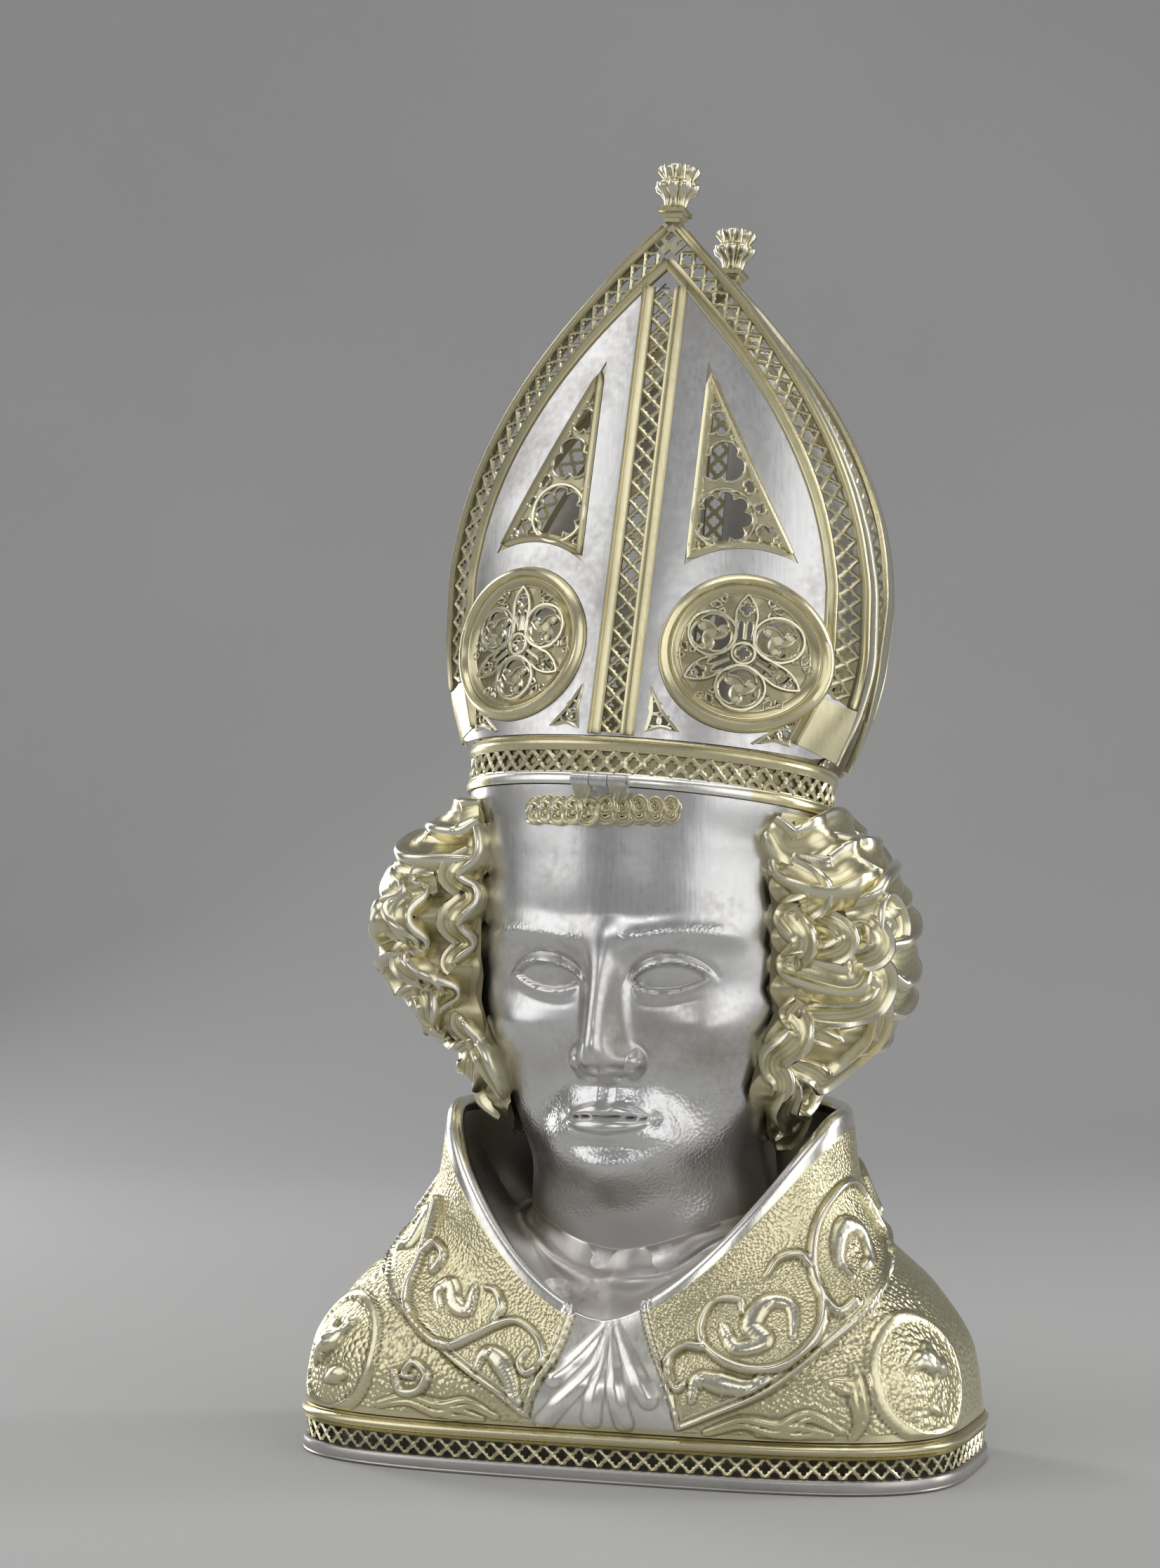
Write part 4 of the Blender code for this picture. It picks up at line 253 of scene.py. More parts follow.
class Bench:
    """The node tree of one material, with one way to add a node."""

    def __init__(self, name: str) -> None:
        """Start a material with a bare Principled shader."""
        self.material = bpy.data.materials.new(name)
        self.material.use_nodes = True
        self.tree = self.material.node_tree
        self.shader = self.tree.nodes["Principled BSDF"]

    def node(self, kind: str, settings: Mapping[str, object], inputs: Mapping[Union[str, int], object],
             output: Union[str, int] = 0) -> Channel:
        """Add a node.

        Args:
            kind: The node's type.
            settings: Its settings, made first.
            inputs: Values or channels for its sockets.
            output: The output that is wanted.

        Returns:
            That output.
        """
        made = self.tree.nodes.new(kind)
        for key, value in settings.items():
            setattr(made, key, value)
        for key, value in inputs.items():
            self.feed(made.inputs[key], value)
        return Channel(self.tree, made.outputs[output])

    def feed(self, entry: bpy.types.NodeSocket, value: object) -> None:
        """Link a channel to a socket, or set its value."""
        if isinstance(value, Channel):
            self.tree.links.new(value.socket, entry)
        elif isinstance(value, tuple) and len(value) == 3 and entry.type == "RGBA":
            entry.default_value = (*value, 1.0)
        else:
            entry.default_value = value

    def finish(self, **inputs: object) -> bpy.types.Material:
        """Feed the shader; a name's underscores stand for spaces."""
        for key, value in inputs.items():
            self.feed(self.shader.inputs[key.replace("_", " ")], value)
        return self.material

    def marked(self, attribute: str) -> Channel:
        """A mark that the mesh carries at its vertices."""
        return self.node("ShaderNodeAttribute", {"attribute_name": attribute}, {}, "Fac")

    def mix(self, share: Channel, first: object, second: object) -> Channel:
        """Colour between two others."""
        return self.node("ShaderNodeMix", {"data_type": "RGBA"}, {0: share, 6: first, 7: second}, 2)

    def noise(self, where: Channel, scale: float, detail: float = 3.0) -> Channel:
        """Cloudy noise."""
        inputs = {"Vector": where, "Scale": scale, "Detail": detail}
        return self.node("ShaderNodeTexNoise", {}, inputs, "Fac")

    def bump(self, height: Channel, distance: float, strength: float, below: Optional[Channel] = None) -> Channel:
        """Bent normal from a height.

        Args:
            height: The height, 0 to 1.
            distance: What a height of 1 stands for.
            strength: How much of it shows.
            below: A normal that is already bent.

        Returns:
            The normal.
        """
        inputs = {"Height": height, "Distance": distance, "Strength": strength}
        if below is not None:
            inputs["Normal"] = below
        return self.node("ShaderNodeBump", {}, inputs, "Normal")


@dataclass(frozen=True)
class PlateFinish:
    """Silver or gilt sheet with rubbed ridges, hollows darkened by tarnish and by painted shade, hammer marks and fine
    scratches.
    """

    name: str
    clean: Colour
    rubbed: Colour
    # Dark tone of tarnish, also laid on as painted shade.
    tarnish_and_shade_colour: Colour
    polish: float
    dulled: float
    rub: float = 0.6
    # How strongly tarnish and painted shade darken the colour.
    tarnish_and_shade_strength: float = 0.6
    cloud: float = 0.25
    hammer: float = 0.10
    patch_scale: float = 22.0

    @property
    def title(self) -> str:
        """The material's own name, apart from the solids' plain materials."""
        return "worn_" + self.name

    def material(self) -> bpy.types.Material:
        """Build the material.

        Returns:
            The finish, fed by the mesh's marks edge, crest, silver, punched and stippled and by its dark mark of
            tarnish and painted shade.
        """
        bench = Bench(self.title)
        where = bench.node("ShaderNodeTexCoord", {}, {}, "Object")
        cloud = bench.noise(where, self.patch_scale, 5.0)
        grain = bench.noise(where, 420.0, 4.0)
        scratches = bench.node("ShaderNodeMapping", {}, {"Vector": where, "Scale": (1.0, 1.0, 0.08)})
        scratch = bench.noise(scratches, 900.0, 2.0)
        edge = bench.marked("edge")
        crest = bench.marked("crest")
        hollow = bench.marked("hollow")
        bare = bench.marked("silver")
        rubbed = (crest * 1.2 + (edge - 0.5) * 1.2 + (grain - 0.5) * 0.5).between(0.25, 1.0) * self.rub
        punched = bench.marked("punched")
        stippled = bench.marked("stippled")
        hollow = hollow + punched.larger(stippled) * 0.22
        # Tarnish and painted shade: the dark mark, concave places and cloudy noise pull the colour to the dark tone.
        painted_shade_and_tarnish = (hollow * 0.9 + (0.47 - edge) * 3.2 + (cloud - 0.5) * 0.9).between(0.12, 0.95) * self.tarnish_and_shade_strength
        soft = (cloud + (grain - 0.5) * 0.3).between(0.48, 0.72) * self.cloud
        metal = bench.mix(rubbed.larger(bare), self.clean, self.rubbed)
        colour = bench.mix(painted_shade_and_tarnish.larger(soft), metal, self.tarnish_and_shade_colour)
        rough = self.polish + (grain - 0.5) * 0.10 + (scratch - 0.5) * 0.10
        rough = rough + painted_shade_and_tarnish.larger(soft) * (self.dulled - self.polish) - rubbed * 0.06
        normal = bench.bump(bench.noise(where, 75.0, 2.0), 0.0012, self.hammer)
        normal = bench.bump(scratch + grain * 0.6, 0.00012, 0.22, normal)
        cells = bench.node("ShaderNodeTexVoronoi", {"feature": "F1"}, {"Vector": where, "Scale": 820.0}, "Distance")
        drops = bench.node("ShaderNodeTexVoronoi", {"feature": "F1"}, {"Vector": where, "Scale": 520.0}, "Distance")
        normal = bench.bump(cells * punched, 0.0006, 0.55, normal)
        normal = bench.bump((1 - drops) * stippled, 0.0009, 0.60, normal)
        return bench.finish(Base_Color=colour, Metallic=1.0, Roughness=rough, Normal=normal)


class Finish(Enum):
    """The finishes of the bust; each name is also the record's material slot."""

    SILVER = PlateFinish("silver", (0.74, 0.735, 0.73), (0.90, 0.90, 0.895), (0.31, 0.28, 0.25), 0.30, 0.48,
                         rub=0.5, tarnish_and_shade_strength=0.75, cloud=0.50, hammer=0.14)
    LINEN = PlateFinish("silver_tarnished", (0.72, 0.70, 0.68), (0.88, 0.87, 0.86), (0.33, 0.285, 0.25), 0.34, 0.52,
                        rub=0.6, tarnish_and_shade_strength=0.85, cloud=0.80, hammer=0.14, patch_scale=34.0)
    GILT = PlateFinish("gilt", (0.77, 0.71, 0.46), (0.90, 0.885, 0.83), (0.22, 0.19, 0.11), 0.28, 0.46,
                       rub=0.55, tarnish_and_shade_strength=0.80, cloud=0.22)
    FOOT = PlateFinish("foot_silver", (0.60, 0.58, 0.56), (0.74, 0.73, 0.72), (0.30, 0.27, 0.25), 0.36, 0.50,
                       rub=0.5, tarnish_and_shade_strength=0.7, cloud=0.45)

    def material(self) -> bpy.types.Material:
        """The finish's material, made once."""
        found = bpy.data.materials.get(self.value.title)
        return found if found is not None else self.value.material()

    @property
    def slot(self) -> str:
        """The record's slot that the finish belongs to."""
        return {"silver_tarnished": "silver"}.get(self.value.name, self.value.name)


# Mesh kit

MARKS = ("crest", "hollow", "silver", "punched", "stippled")


@dataclass
class Form:
    """A mesh in the making: points, faces and marks."""

    points: list[Array] = field(default_factory=list)
    faces: list[Array] = field(default_factory=list)
    marks: dict[str, list[Array]] = field(default_factory=dict)
    count: int = 0

    def add(self, points: Array, faces: Sequence[Sequence[int]], **marks: Array) -> int:
        """Add points and the faces between them.

        Args:
            points: New points.
            faces: Faces that count from the first new point.
            marks: Values of marks at the points; marks left out are 0.

        Returns:
            The number of the first new point.
        """
        start = self.count
        flat = np.asarray(points, float).reshape(-1, 3)
        self.points.append(flat)
        for face in faces:
            self.faces.append(np.asarray(face, int) + start)
        for mark in MARKS:
            given = marks.get(mark, 0.0)
            filled = np.broadcast_to(np.asarray(given, float).ravel() if np.ndim(given) else given, (len(flat),))
            self.marks.setdefault(mark, []).append(filled)
        self.count += len(flat)
        return start

    def sheet(self, grid: Array, wrap: bool = False, flip: bool = False, **marks: Array) -> int:
        """Add a grid of points as quads, one row of the array a row of the sheet."""
        return self.add(grid, quads(*grid.shape[:2], wrap, flip), **marks)


def quads(rows: int, columns: int, wrap: bool = False, flip: bool = False, wrap_rows: bool = False) -> Array:
    """Quads over points stored row by row.

    Args:
        rows: Rows of points.
        columns: Points in a row.
        wrap: Whether the last column joins the first.
        flip: Whether the faces look the other way.
        wrap_rows: Whether the last row joins the first.

    Returns:
        One quad a row.
    """
    row, column = np.meshgrid(np.arange(rows if wrap_rows else rows - 1),
                              np.arange(columns if wrap else columns - 1), indexing="ij")
    below = (row + 1) % rows
    beside = (column + 1) % columns
    corners = [row * columns + column, row * columns + beside, below * columns + beside, below * columns + column]
    faces = np.stack([corner.ravel() for corner in corners], axis=1)
    return faces[:, ::-1] if flip else faces


def edge_mark(mesh: bpy.types.Mesh) -> Array:
    """How far each vertex stands out from its neighbours.

    Args:
        mesh: The mesh.

    Returns:
        0.5 on flat ground, more on ridges and less in hollows.
    """
    count = len(mesh.vertices)
    points = np.empty(count * 3)
    normals = np.empty(count * 3)
    ends = np.empty(len(mesh.edges) * 2, int)
    mesh.vertices.foreach_get("co", points)
    mesh.vertices.foreach_get("normal", normals)
    mesh.edges.foreach_get("vertices", ends)
    points = points.reshape(-1, 3)
    normals = normals.reshape(-1, 3)
    a, b = ends.reshape(-1, 2).T
    run = points[b] - points[a]
    length = np.maximum(np.linalg.norm(run, axis=1), 1e-9)
    total = np.zeros(count)
    times = np.zeros(count)
    for here, way in ((a, 1.0), (b, -1.0)):
        bend = -way * (run * normals[here]).sum(axis=1) / length
        total += np.bincount(here, bend, count)
        times += np.bincount(here, minlength=count)
    bend = total / np.maximum(times, 1)
    blurred = np.bincount(a, bend[b], count) + np.bincount(b, bend[a], count)
    return np.clip(0.5 + 0.5 * (bend + blurred / np.maximum(times, 1)), 0, 1)


def place_piece(name: str, form: Form, finish: Union[Finish, bpy.types.Material], body: Body,
                nodes: Sequence[str] = (), sharp: float = 40.0) -> bpy.types.Object:
    """Make a piece of the object and hang it on its body.

    Args:
        name: Its name.
        form: Its mesh in the making.
        finish: What it is made of.
        body: What it moves with.
        nodes: The solids that it stands for.
        sharp: Angle in degrees from which an edge is sharp.

    Returns:
        The piece.
    """
    mesh = bpy.data.meshes.new(name)
    mesh.from_pydata(np.vstack(form.points).tolist(), [], [face.tolist() for face in form.faces])
    mesh.validate()
    mesh.shade_smooth()
    mesh.set_sharp_from_angle(angle=math.radians(sharp))
    for mark in MARKS:
        layer = mesh.attributes.new(mark, "FLOAT", "POINT")
        layer.data.foreach_set("value", np.concatenate(form.marks[mark]).astype(np.float32))
    layer = mesh.attributes.new("edge", "FLOAT", "POINT")
    layer.data.foreach_set("value", edge_mark(mesh).astype(np.float32))
    piece = bpy.data.objects.new(name, mesh)
    bpy.context.collection.objects.link(piece)
    mesh.materials.append(finish.material())
    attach(piece, body.value)
    finish.slot
    if nodes:
        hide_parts(*nodes)
    log.info("%s: %d faces", name, len(mesh.polygons))
    return piece


def swept(form: Form, line: Array, outs: Array, profile: Sequence[Place], closed: bool = False,
          scale: Optional[Array] = None, **marks: Union[Array, float]) -> None:
    """Sweep a profile along a line.

    Args:
        form: The mesh that it joins.
        line: Points of the line.
        outs: Outward directions at them.
        profile: Closed section as (across, out) places.
        closed: Whether the line ends where it starts.
        scale: Size of the section at each point.
        marks: Marks of the whole sweep or of its points.
    """
    if closed:
        along = np.roll(line, -1, axis=0) - np.roll(line, 1, axis=0)
    else:
        along = np.gradient(line, axis=0)
    across = unit(np.cross(unit(outs), unit(along)))
    up = unit(np.cross(unit(along), across))
    size = np.ones(len(line)) if scale is None else scale
    section = np.array(profile, float)
    grid = (line[:, None] + (section[None, :, 0, None] * across[:, None] + section[None, :, 1, None] * up[:, None])
            * size[:, None, None])
    faces = [list(face) for face in quads(*grid.shape[:2], wrap=True, flip=True, wrap_rows=closed)]
    if not closed:
        last = (len(line) - 1) * len(section)
        faces += [list(range(len(section))), [last + k for k in reversed(range(len(section)))]]
    form.add(grid, faces, **marks)


def in_outline(points: Array, outline: Array) -> Array:
    """Which points lie inside an outline."""
    inside = np.zeros(len(points), bool)
    for (x0, y0), (x1, y1) in zip(outline, np.roll(outline, -1, axis=0)):
        crosses = (y0 > points[:, 1]) != (y1 > points[:, 1])
        slope = (x1 - x0) / (y1 - y0) if y1 != y0 else 0.0
        inside ^= crosses & (points[:, 0] < x0 + slope * (points[:, 1] - y0))
    return inside


@dataclass
class FlatCut:
    """A flat pattern cut out of sheet: places, triangles and the loops along its edges."""

    places: Array
    faces: list[tuple[int, ...]]
    loops: list[list[int]]

    @classmethod
    def fill(cls, outline: Array, holes: Sequence[Array], extra: Array, lines: Sequence[Array] = ()) -> "FlatCut":
        """Cut an outline with holes.

        Args:
            outline: The outer edge.
            holes: The openings.
            extra: Loose points inside.
            lines: Creases that the triangles follow.

        Returns:
            The pattern.
        """
        points: list[tuple[float, float]] = []
        edges: list[tuple[int, int]] = []
        loops: list[list[int]] = []
        for loop in [outline, *holes]:
            start = len(points)
            points += [tuple(p) for p in loop]
            edges += [(start + k, start + (k + 1) % len(loop)) for k in range(len(loop))]
            loops.append(list(range(start, start + len(loop))))
        for line in lines:
            start = len(points)
            points += [tuple(p) for p in line]
            edges += [(start + k, start + k + 1) for k in range(len(line) - 1)]
        points += [tuple(p) for p in extra]
        verts, _, faces, sources, _, _ = delaunay_2d_cdt(points, edges, [], 0, 1e-7)
        flat = np.array([tuple(v) for v in verts])
        number = {old: new for new, olds in enumerate(sources) for old in olds}
        middles = np.array([flat[list(face)].mean(axis=0) for face in faces])
        keep = in_outline(middles, outline)
        for hole in holes:
            keep &= ~in_outline(middles, hole)
        kept = [tuple(face) for face, good in zip(faces, keep) if good]
        return cls(flat, kept, [[number[k] for k in loop] for loop in loops])

    def plate(self, form: Form, wrap: Wrap, front: Array, back: float, **marks: Array) -> None:
        """Give the pattern its thickness and wrap it on its place.

        Args:
            form: The mesh that it joins.
            wrap: Turns across, up and out into points.
            front: How far the front stands out at each place.
            back: How far the back stands out.
            marks: Marks of the front; the back gets the full dark mark as painted shade.
        """
        x, h = self.places.T
        count = len(x)
        ahead = wrap(x, h, np.broadcast_to(front, x.shape))
        behind = wrap(x, h, np.full_like(x, back))
        faces: list[Sequence[int]] = [face for face in self.faces]
        faces += [tuple(count + k for k in reversed(face)) for face in self.faces]
        for loop in self.loops:
            following = loop[1:] + loop[:1]
            faces += [(b, a, count + a, count + b) for a, b in zip(loop, following)]
        # The back of every plate is marked fully dark: painted shade on its hidden side.
        marks.setdefault("hollow", np.zeros(count))
        doubled = {mark: np.concatenate([np.broadcast_to(value, x.shape), np.full(count, mark == "hollow")])
                   for mark, value in marks.items()}
        form.add(np.vstack([ahead, behind]), faces, **doubled)


def ring_of(centre: Place, radius: float, count: int, start: float = 0.0) -> Array:
    """Points round a flat circle."""
    angle = start + np.arange(count) / count * FULL_TURN
    return np.stack([centre[0] + radius * np.cos(angle), centre[1] + radius * np.sin(angle)], axis=1)


def foiled(centre: Place, radius: float, foils: int, count: int, start: float = 0.0, depth: float = 0.34) -> Array:
    """Outline with round lobes, as a trefoil or quatrefoil has.

    Args:
        centre: Its middle.
        radius: Reach of the lobes.
        foils: How many lobes.
        count: Points for each lobe.
        start: Angle of the first lobe.
        depth: Share of the radius that the cusps come in.

    Returns:
        The outline.
    """
    angle = np.arange(foils * count) / (foils * count) * FULL_TURN
    lobe = np.abs(np.cos(0.5 * foils * angle)) ** 0.55
    reach = radius * (1 - depth + depth * lobe)
    return np.stack([centre[0] + reach * np.cos(angle + start), centre[1] + reach * np.sin(angle + start)], axis=1)


# Base


@dataclass
class BasePlan:
    """Outline of the base, a rounded oblong."""

    half_width: float = 0.1178
    half_depth: float = 0.0600
    corner_power: float = 3.6

    def point(self, angle: Array, inset: float = 0.0) -> Array:
        """Flat points of the outline, moved inwards by inset."""
        power = 2 / self.corner_power
        across, forward = np.sin(angle), np.cos(angle)
        x = (self.half_width - inset) * np.sign(across) * np.abs(across) ** power
        y = -(self.half_depth - inset) * np.sign(forward) * np.abs(forward) ** power
        return np.stack([x, y], axis=-1)

    def paced(self, turn: Array) -> Array:
        """Curve angles at shares of the outline's length, from the middle of the front."""
        dense = np.linspace(0, FULL_TURN, 4001)
        steps = np.linalg.norm(np.diff(self.point(dense), axis=0), axis=1)
        length = np.concatenate([[0], np.cumsum(steps)])
        return np.interp(np.mod(turn, 1.0) * length[-1], length, dense)

    def length(self) -> float:
        """Length of the outline."""
        return float(np.linalg.norm(np.diff(self.point(np.linspace(0, FULL_TURN, 4001)), axis=0), axis=1).sum())

    def ring(self, turn: Array, inset: float, height: float) -> Array:
        """Points at one height."""
        flat = self.point(self.paced(turn), inset)
        return np.concatenate([flat, np.full((len(flat), 1), height)], axis=1)


@dataclass
class LatticeBand:
    """Band of crossing ribs with a four-lobed opening in every diamond."""

    pitch: float = 0.0064
    rib: float = 0.0007
    sheet: float = 0.0007
    foil: float = 0.0021

    def cell(self, width: float, height: float) -> tuple[FlatCut, Array]:
        """One cell of the band.

        Args:
            width: Its length along the band.
            height: The band's breadth.

        Returns:
            The cut pattern in shares of width and height from the cell's lower middle, and the rise of its places.
        """
        half = width / 2
        reach = min(self.foil, 0.34 * height)
        notch = 0.95 * reach
        corner = [(-half + notch, 0.0), (half - notch, 0.0), (half - 0.62 * notch, 0.55 * notch),
                  (half - 0.55 * notch, 0.62 * notch), (half, notch)]
        upper = [(x, height - y) for x, y in corner[::-1]]
        right = np.array(corner[1:] + upper[:-1])
        outline = np.vstack([right, right[::-1] * (-1, 1)])
        hole = foiled((0.0, height / 2), reach, 4, 4)[::-1]
        ribs = [np.array([(-half, height / 2), (-half / 2, height / 4), (0.0, 0.0)]),
                np.array([(0.0, 0.0), (half / 2, height / 4), (half, height / 2)]),
                np.array([(-half, height / 2), (-half / 2, 0.75 * height), (0.0, height)]),
                np.array([(0.0, height), (half / 2, 0.75 * height), (half, height / 2)])]
        cut = FlatCut.fill(outline, [hole], np.zeros((0, 2)), ribs)
        across, up = np.abs(cut.places[:, 0]) / half, np.abs(cut.places[:, 1] / height - 0.5) * 2
        rise = self.rib * np.clip(1 - np.abs(across + up - 1) / 0.30, 0, 1)
        return cut, rise

    def lay(self, form: Form, wrap: Callable[[Array, Array, Array], Array], length: float, height: float) -> None:
        """Lay the band.

        Args:
            form: The mesh that it joins.
            wrap: Turns a share of the band's length, a height and an outward distance into points.
            length: The band's length.
            height: Its breadth.
        """
        count = max(1, round(length / self.pitch))
        width = length / count
        cut, rise = self.cell(width, height)
        ridge = np.clip(rise / self.rib, 0, 1)
        for k in range(count):
            def cell_wrap(x: Array, h: Array, out: Array, middle: float = (k + 0.5) * width) -> Array:
                """Wrap one cell."""
                return wrap((middle + x) / length, h, out)
            # The sheet between the ribs is marked dark: painted shade round the openings.
            cut.plate(form, cell_wrap, rise, -self.sheet, crest=0.2 * ridge, hollow=1.6 * (1 - ridge))


@dataclass
class Base:
    """Foot, lattice gallery and broad gilt moulding under the shoulders."""

    plan: BasePlan = field(default_factory=BasePlan)
    lattice: LatticeBand = field(default_factory=LatticeBand)
    foot: float = 0.0050
    foot_floor: float = 0.0015
    gallery: float = 0.0065
    gallery_inset: float = 0.0012
    moulding: float = 0.0055
    moulding_width: float = 0.0050
    columns: int = 260

    @property
    def top(self) -> float:
        """Height of the ledge that carries the shoulders."""
        return self.foot + self.gallery + self.moulding

    def turned(self, profile: Sequence[Place], closed: bool = True) -> Form:
        """Ring or plate from a profile of (inset, height) places."""
        turn = np.arange(self.columns) / self.columns
        grid = np.array([self.plan.ring(turn, inset, height) for inset, height in profile])
        form = Form()
        faces = [list(face) for face in quads(len(profile), self.columns, True, False, closed)]
        if not closed:
            last = (len(profile) - 1) * self.columns
            faces += [list(range(self.columns))[::-1], [last + k for k in range(self.columns)]]
        form.add(grid, faces)
        return form

    def build(self) -> None:
        """Make the three pieces of the base."""
        low, high = self.foot + self.gallery, self.top
        rim = [(0.0047, self.foot_floor), (0.0045, self.foot - 0.0004), (0.0040, self.foot), (0.0011, self.foot),
               (0.0004, self.foot - 0.0004), (0.0001, self.foot - 0.0012), (0.0001, 0.0016), (0.0003, 0.0012),
               (0.0, 0.0008), (0.0004, 0.0002), (0.0011, 0.0)]
        place_piece("foot", self.turned(rim, closed=False), Finish.FOOT, Body.BUST, ["foot_plate"])
        band = 0.60 * self.moulding
        swell = [(0.0008 - 0.0012 * math.sin(math.pi * s), low + 0.0012 + band * s) for s in np.linspace(0, 1, 9)]
        profile = [(self.moulding_width, high), (0.0022, high), (0.0012, high - 0.0001), (0.0008, high - 0.0006),
                   (0.0014, high - 0.0009)] + swell[::-1] + [(0.0016, low + 0.0010), (0.0009, low + 0.0008),
                   (0.0005, low + 0.0004), (0.0009, low), (self.moulding_width, low)]
        place_piece("base_moulding_band", self.turned(profile), Finish.GILT, Body.BUST, ["base_moulding"], 50.0)
        self.build_gallery()

    def build_gallery(self) -> None:
        """Make the pierced band between the foot and the moulding."""
        form = Form()
        low = self.foot + 0.0003

        def wrap(share: Array, h: Array, out: Array) -> Array:
            """Stand the band up along the outline."""
            angle = self.plan.paced(share)
            flat = self.plan.point(angle, self.gallery_inset)
            outward = unit(flat / np.array([self.plan.half_width ** 2, self.plan.half_depth ** 2]))
            flat = flat + outward * (out - self.lattice.rib)[:, None]
            return np.concatenate([flat, (low + h)[:, None]], axis=1)

        self.lattice.lay(form, wrap, self.plan.length(), self.gallery - 0.0006)
        place_piece("gallery_lattice", form, Finish.GILT, Body.BUST, ["base_gallery"], 30.0)


# Shoulders


@dataclass
class Collar:
    """The collar's edge, low in front and high behind."""

    half_width: float = 0.0700
    front_depth: float = 0.0520
    back_depth: float = 0.0555
    centre_x: float = 0.0020
    front_height: float = 0.0520
    side_height: float = 0.1180
    back_height: float = 0.1225
    roll: float = 0.0022

    def edge(self, turn: Array, inset: float = 0.0) -> Array:
        """Points of the edge at shares of a turn from the front."""
        angle = FULL_TURN * np.asarray(turn, float)
        across, forward = np.sin(angle), np.cos(angle)
        x = self.centre_x + (self.half_width - inset) * across
        y = -(np.where(forward > 0, self.front_depth, self.back_depth) - inset) * forward
        front = self.front_height + (self.side_height - self.front_height) * np.abs(across) ** 1.7
        back = self.back_height + (self.side_height - self.back_height) * np.abs(across)
        return np.stack([x, y, np.where(forward > 0, front, back)], axis=-1)


class Chasing(Enum):
    """Kinds of raised work on the shoulders."""

    VINE = "vine"
    BEAST = "beast"
    LEAF = "leaf"
    FOLD = "fold"


@dataclass(frozen=True)
class Stroke:
    """One raised line: its places, its half widths at the start, middle and end, and its rise."""

    places: Sequence[Place]
    widths: tuple[float, float, float]
    rise: float
    kind: Chasing


FLAP_BORDERS = {
    "right": [(18, 0.04), (26, 0.14), (36, 0.23), (51, 0.37), (72, 0.48), (95, 0.56), (130, 0.62), (180, 0.64)],
    "left": [(-12, 0.07), (-20, 0.24), (-37, 0.39), (-58, 0.47), (-79, 0.55), (-130, 0.62), (-180, 0.64)],
}
FLAP_FRONTS = {"right": [(18, 0.04), (16, 0.48), (11.5, 1.0)], "left": [(-12, 0.07), (-10, 0.52), (-7.5, 1.0)]}
VINES = [
    [(-66, 0.76), (-59, 0.63), (-53, 0.51), (-46, 0.45), (-39, 0.41), (-33, 0.42), (-30, 0.50), (-27, 0.61),
     (-22, 0.71), (-16, 0.69), (-12.5, 0.56), (-14, 0.43), (-17, 0.48), (-17, 0.58)],
    [(-58, 0.61), (-56, 0.67), (-51, 0.67), (-51, 0.60), (-54, 0.63)],
    [(-28, 0.63), (-28, 0.72), (-31, 0.76), (-34, 0.73)],
    [(62, 0.48), (57, 0.47), (57, 0.56), (59, 0.66), (65, 0.76), (75, 0.80), (86, 0.78), (93, 0.70), (92, 0.60),
     (86, 0.545)],
    [(57, 0.54), (53, 0.46), (48, 0.40), (41, 0.35), (35, 0.37), (30, 0.45), (27.5, 0.56), (28, 0.68), (32, 0.75),
     (38, 0.68), (38, 0.62)],
    [(58, 0.62), (56, 0.69), (50, 0.73), (46, 0.70)],
    [(27, 0.54), (23, 0.59), (19, 0.54), (18.5, 0.42), (19.5, 0.34), (21, 0.37)],
    [(-42, 0.22), (-40, 0.14), (-36, 0.16), (-35, 0.25), (-39, 0.29), (-40, 0.22), (-38, 0.22)],
    [(100, 0.66), (108, 0.78), (118, 0.82), (126, 0.74), (122, 0.66), (116, 0.70)],
    [(132, 0.68), (140, 0.80), (150, 0.83), (158, 0.75), (154, 0.68), (148, 0.72)],
    [(164, 0.70), (171, 0.81), (179, 0.83)],
    [(-86, 0.62), (-92, 0.74), (-101, 0.80), (-109, 0.73), (-105, 0.65), (-99, 0.69)],
    [(-115, 0.66), (-122, 0.79), (-132, 0.82), (-140, 0.74), (-136, 0.67), (-130, 0.71)],
    [(-147, 0.68), (-154, 0.80), (-164, 0.83), (-172, 0.75), (-168, 0.68), (-162, 0.72)],
]
BEASTS = [
    [(-42, 0.52), (-46, 0.56), (-44, 0.61), (-40, 0.57), (-36, 0.58), (-37, 0.67)],
    [(-25, 0.36), (-25, 0.46), (-21, 0.45), (-17, 0.36), (-14.5, 0.22)],
    [(-74, 0.62), (-72, 0.68), (-68, 0.68), (-66, 0.60), (-69, 0.56)],
    [(46, 0.45), (49, 0.55), (44, 0.60), (39, 0.55), (40, 0.47), (34, 0.48), (33, 0.58)],
    [(22, 0.26), (24, 0.38), (28, 0.34), (33, 0.29), (37, 0.31)],
    [(66, 0.54), (66, 0.62), (72, 0.68), (78, 0.64), (76, 0.57), (72, 0.55)],
]
LEAVES = [
    [(-45, 0.05), (-38, 0.10), (-31, 0.07), (-25, 0.13), (-19, 0.06)],
    [(-33, 0.05), (-27, 0.06), (-22, 0.035)],
    [(24, 0.035), (31, 0.10), (38, 0.06), (44, 0.12), (50, 0.05)],
    [(34, 0.04), (42, 0.05), (48, 0.03)],
    [(52, 0.02), (54, 0.09), (54, 0.20), (55, 0.31)],
    [(54, 0.20), (51, 0.24), (49, 0.25)],
]
LINEN_FOLDS = [
    [(2.6, 0.98), (0.5, 0.62), (-6, 0.22), (-9, 0.05)],
    [(2.8, 0.98), (2.2, 0.60), (0.5, 0.12)],
    [(3.2, 0.98), (5.0, 0.60), (7.5, 0.10)],
    [(4.5, 0.98), (9.0, 0.66), (13, 0.30)],
    [(1.5, 0.98), (-4.0, 0.70), (-8.5, 0.46)],
]
ROUNDELS = {"left": (-61.0, 0.225), "right": (71.0, 0.215)}
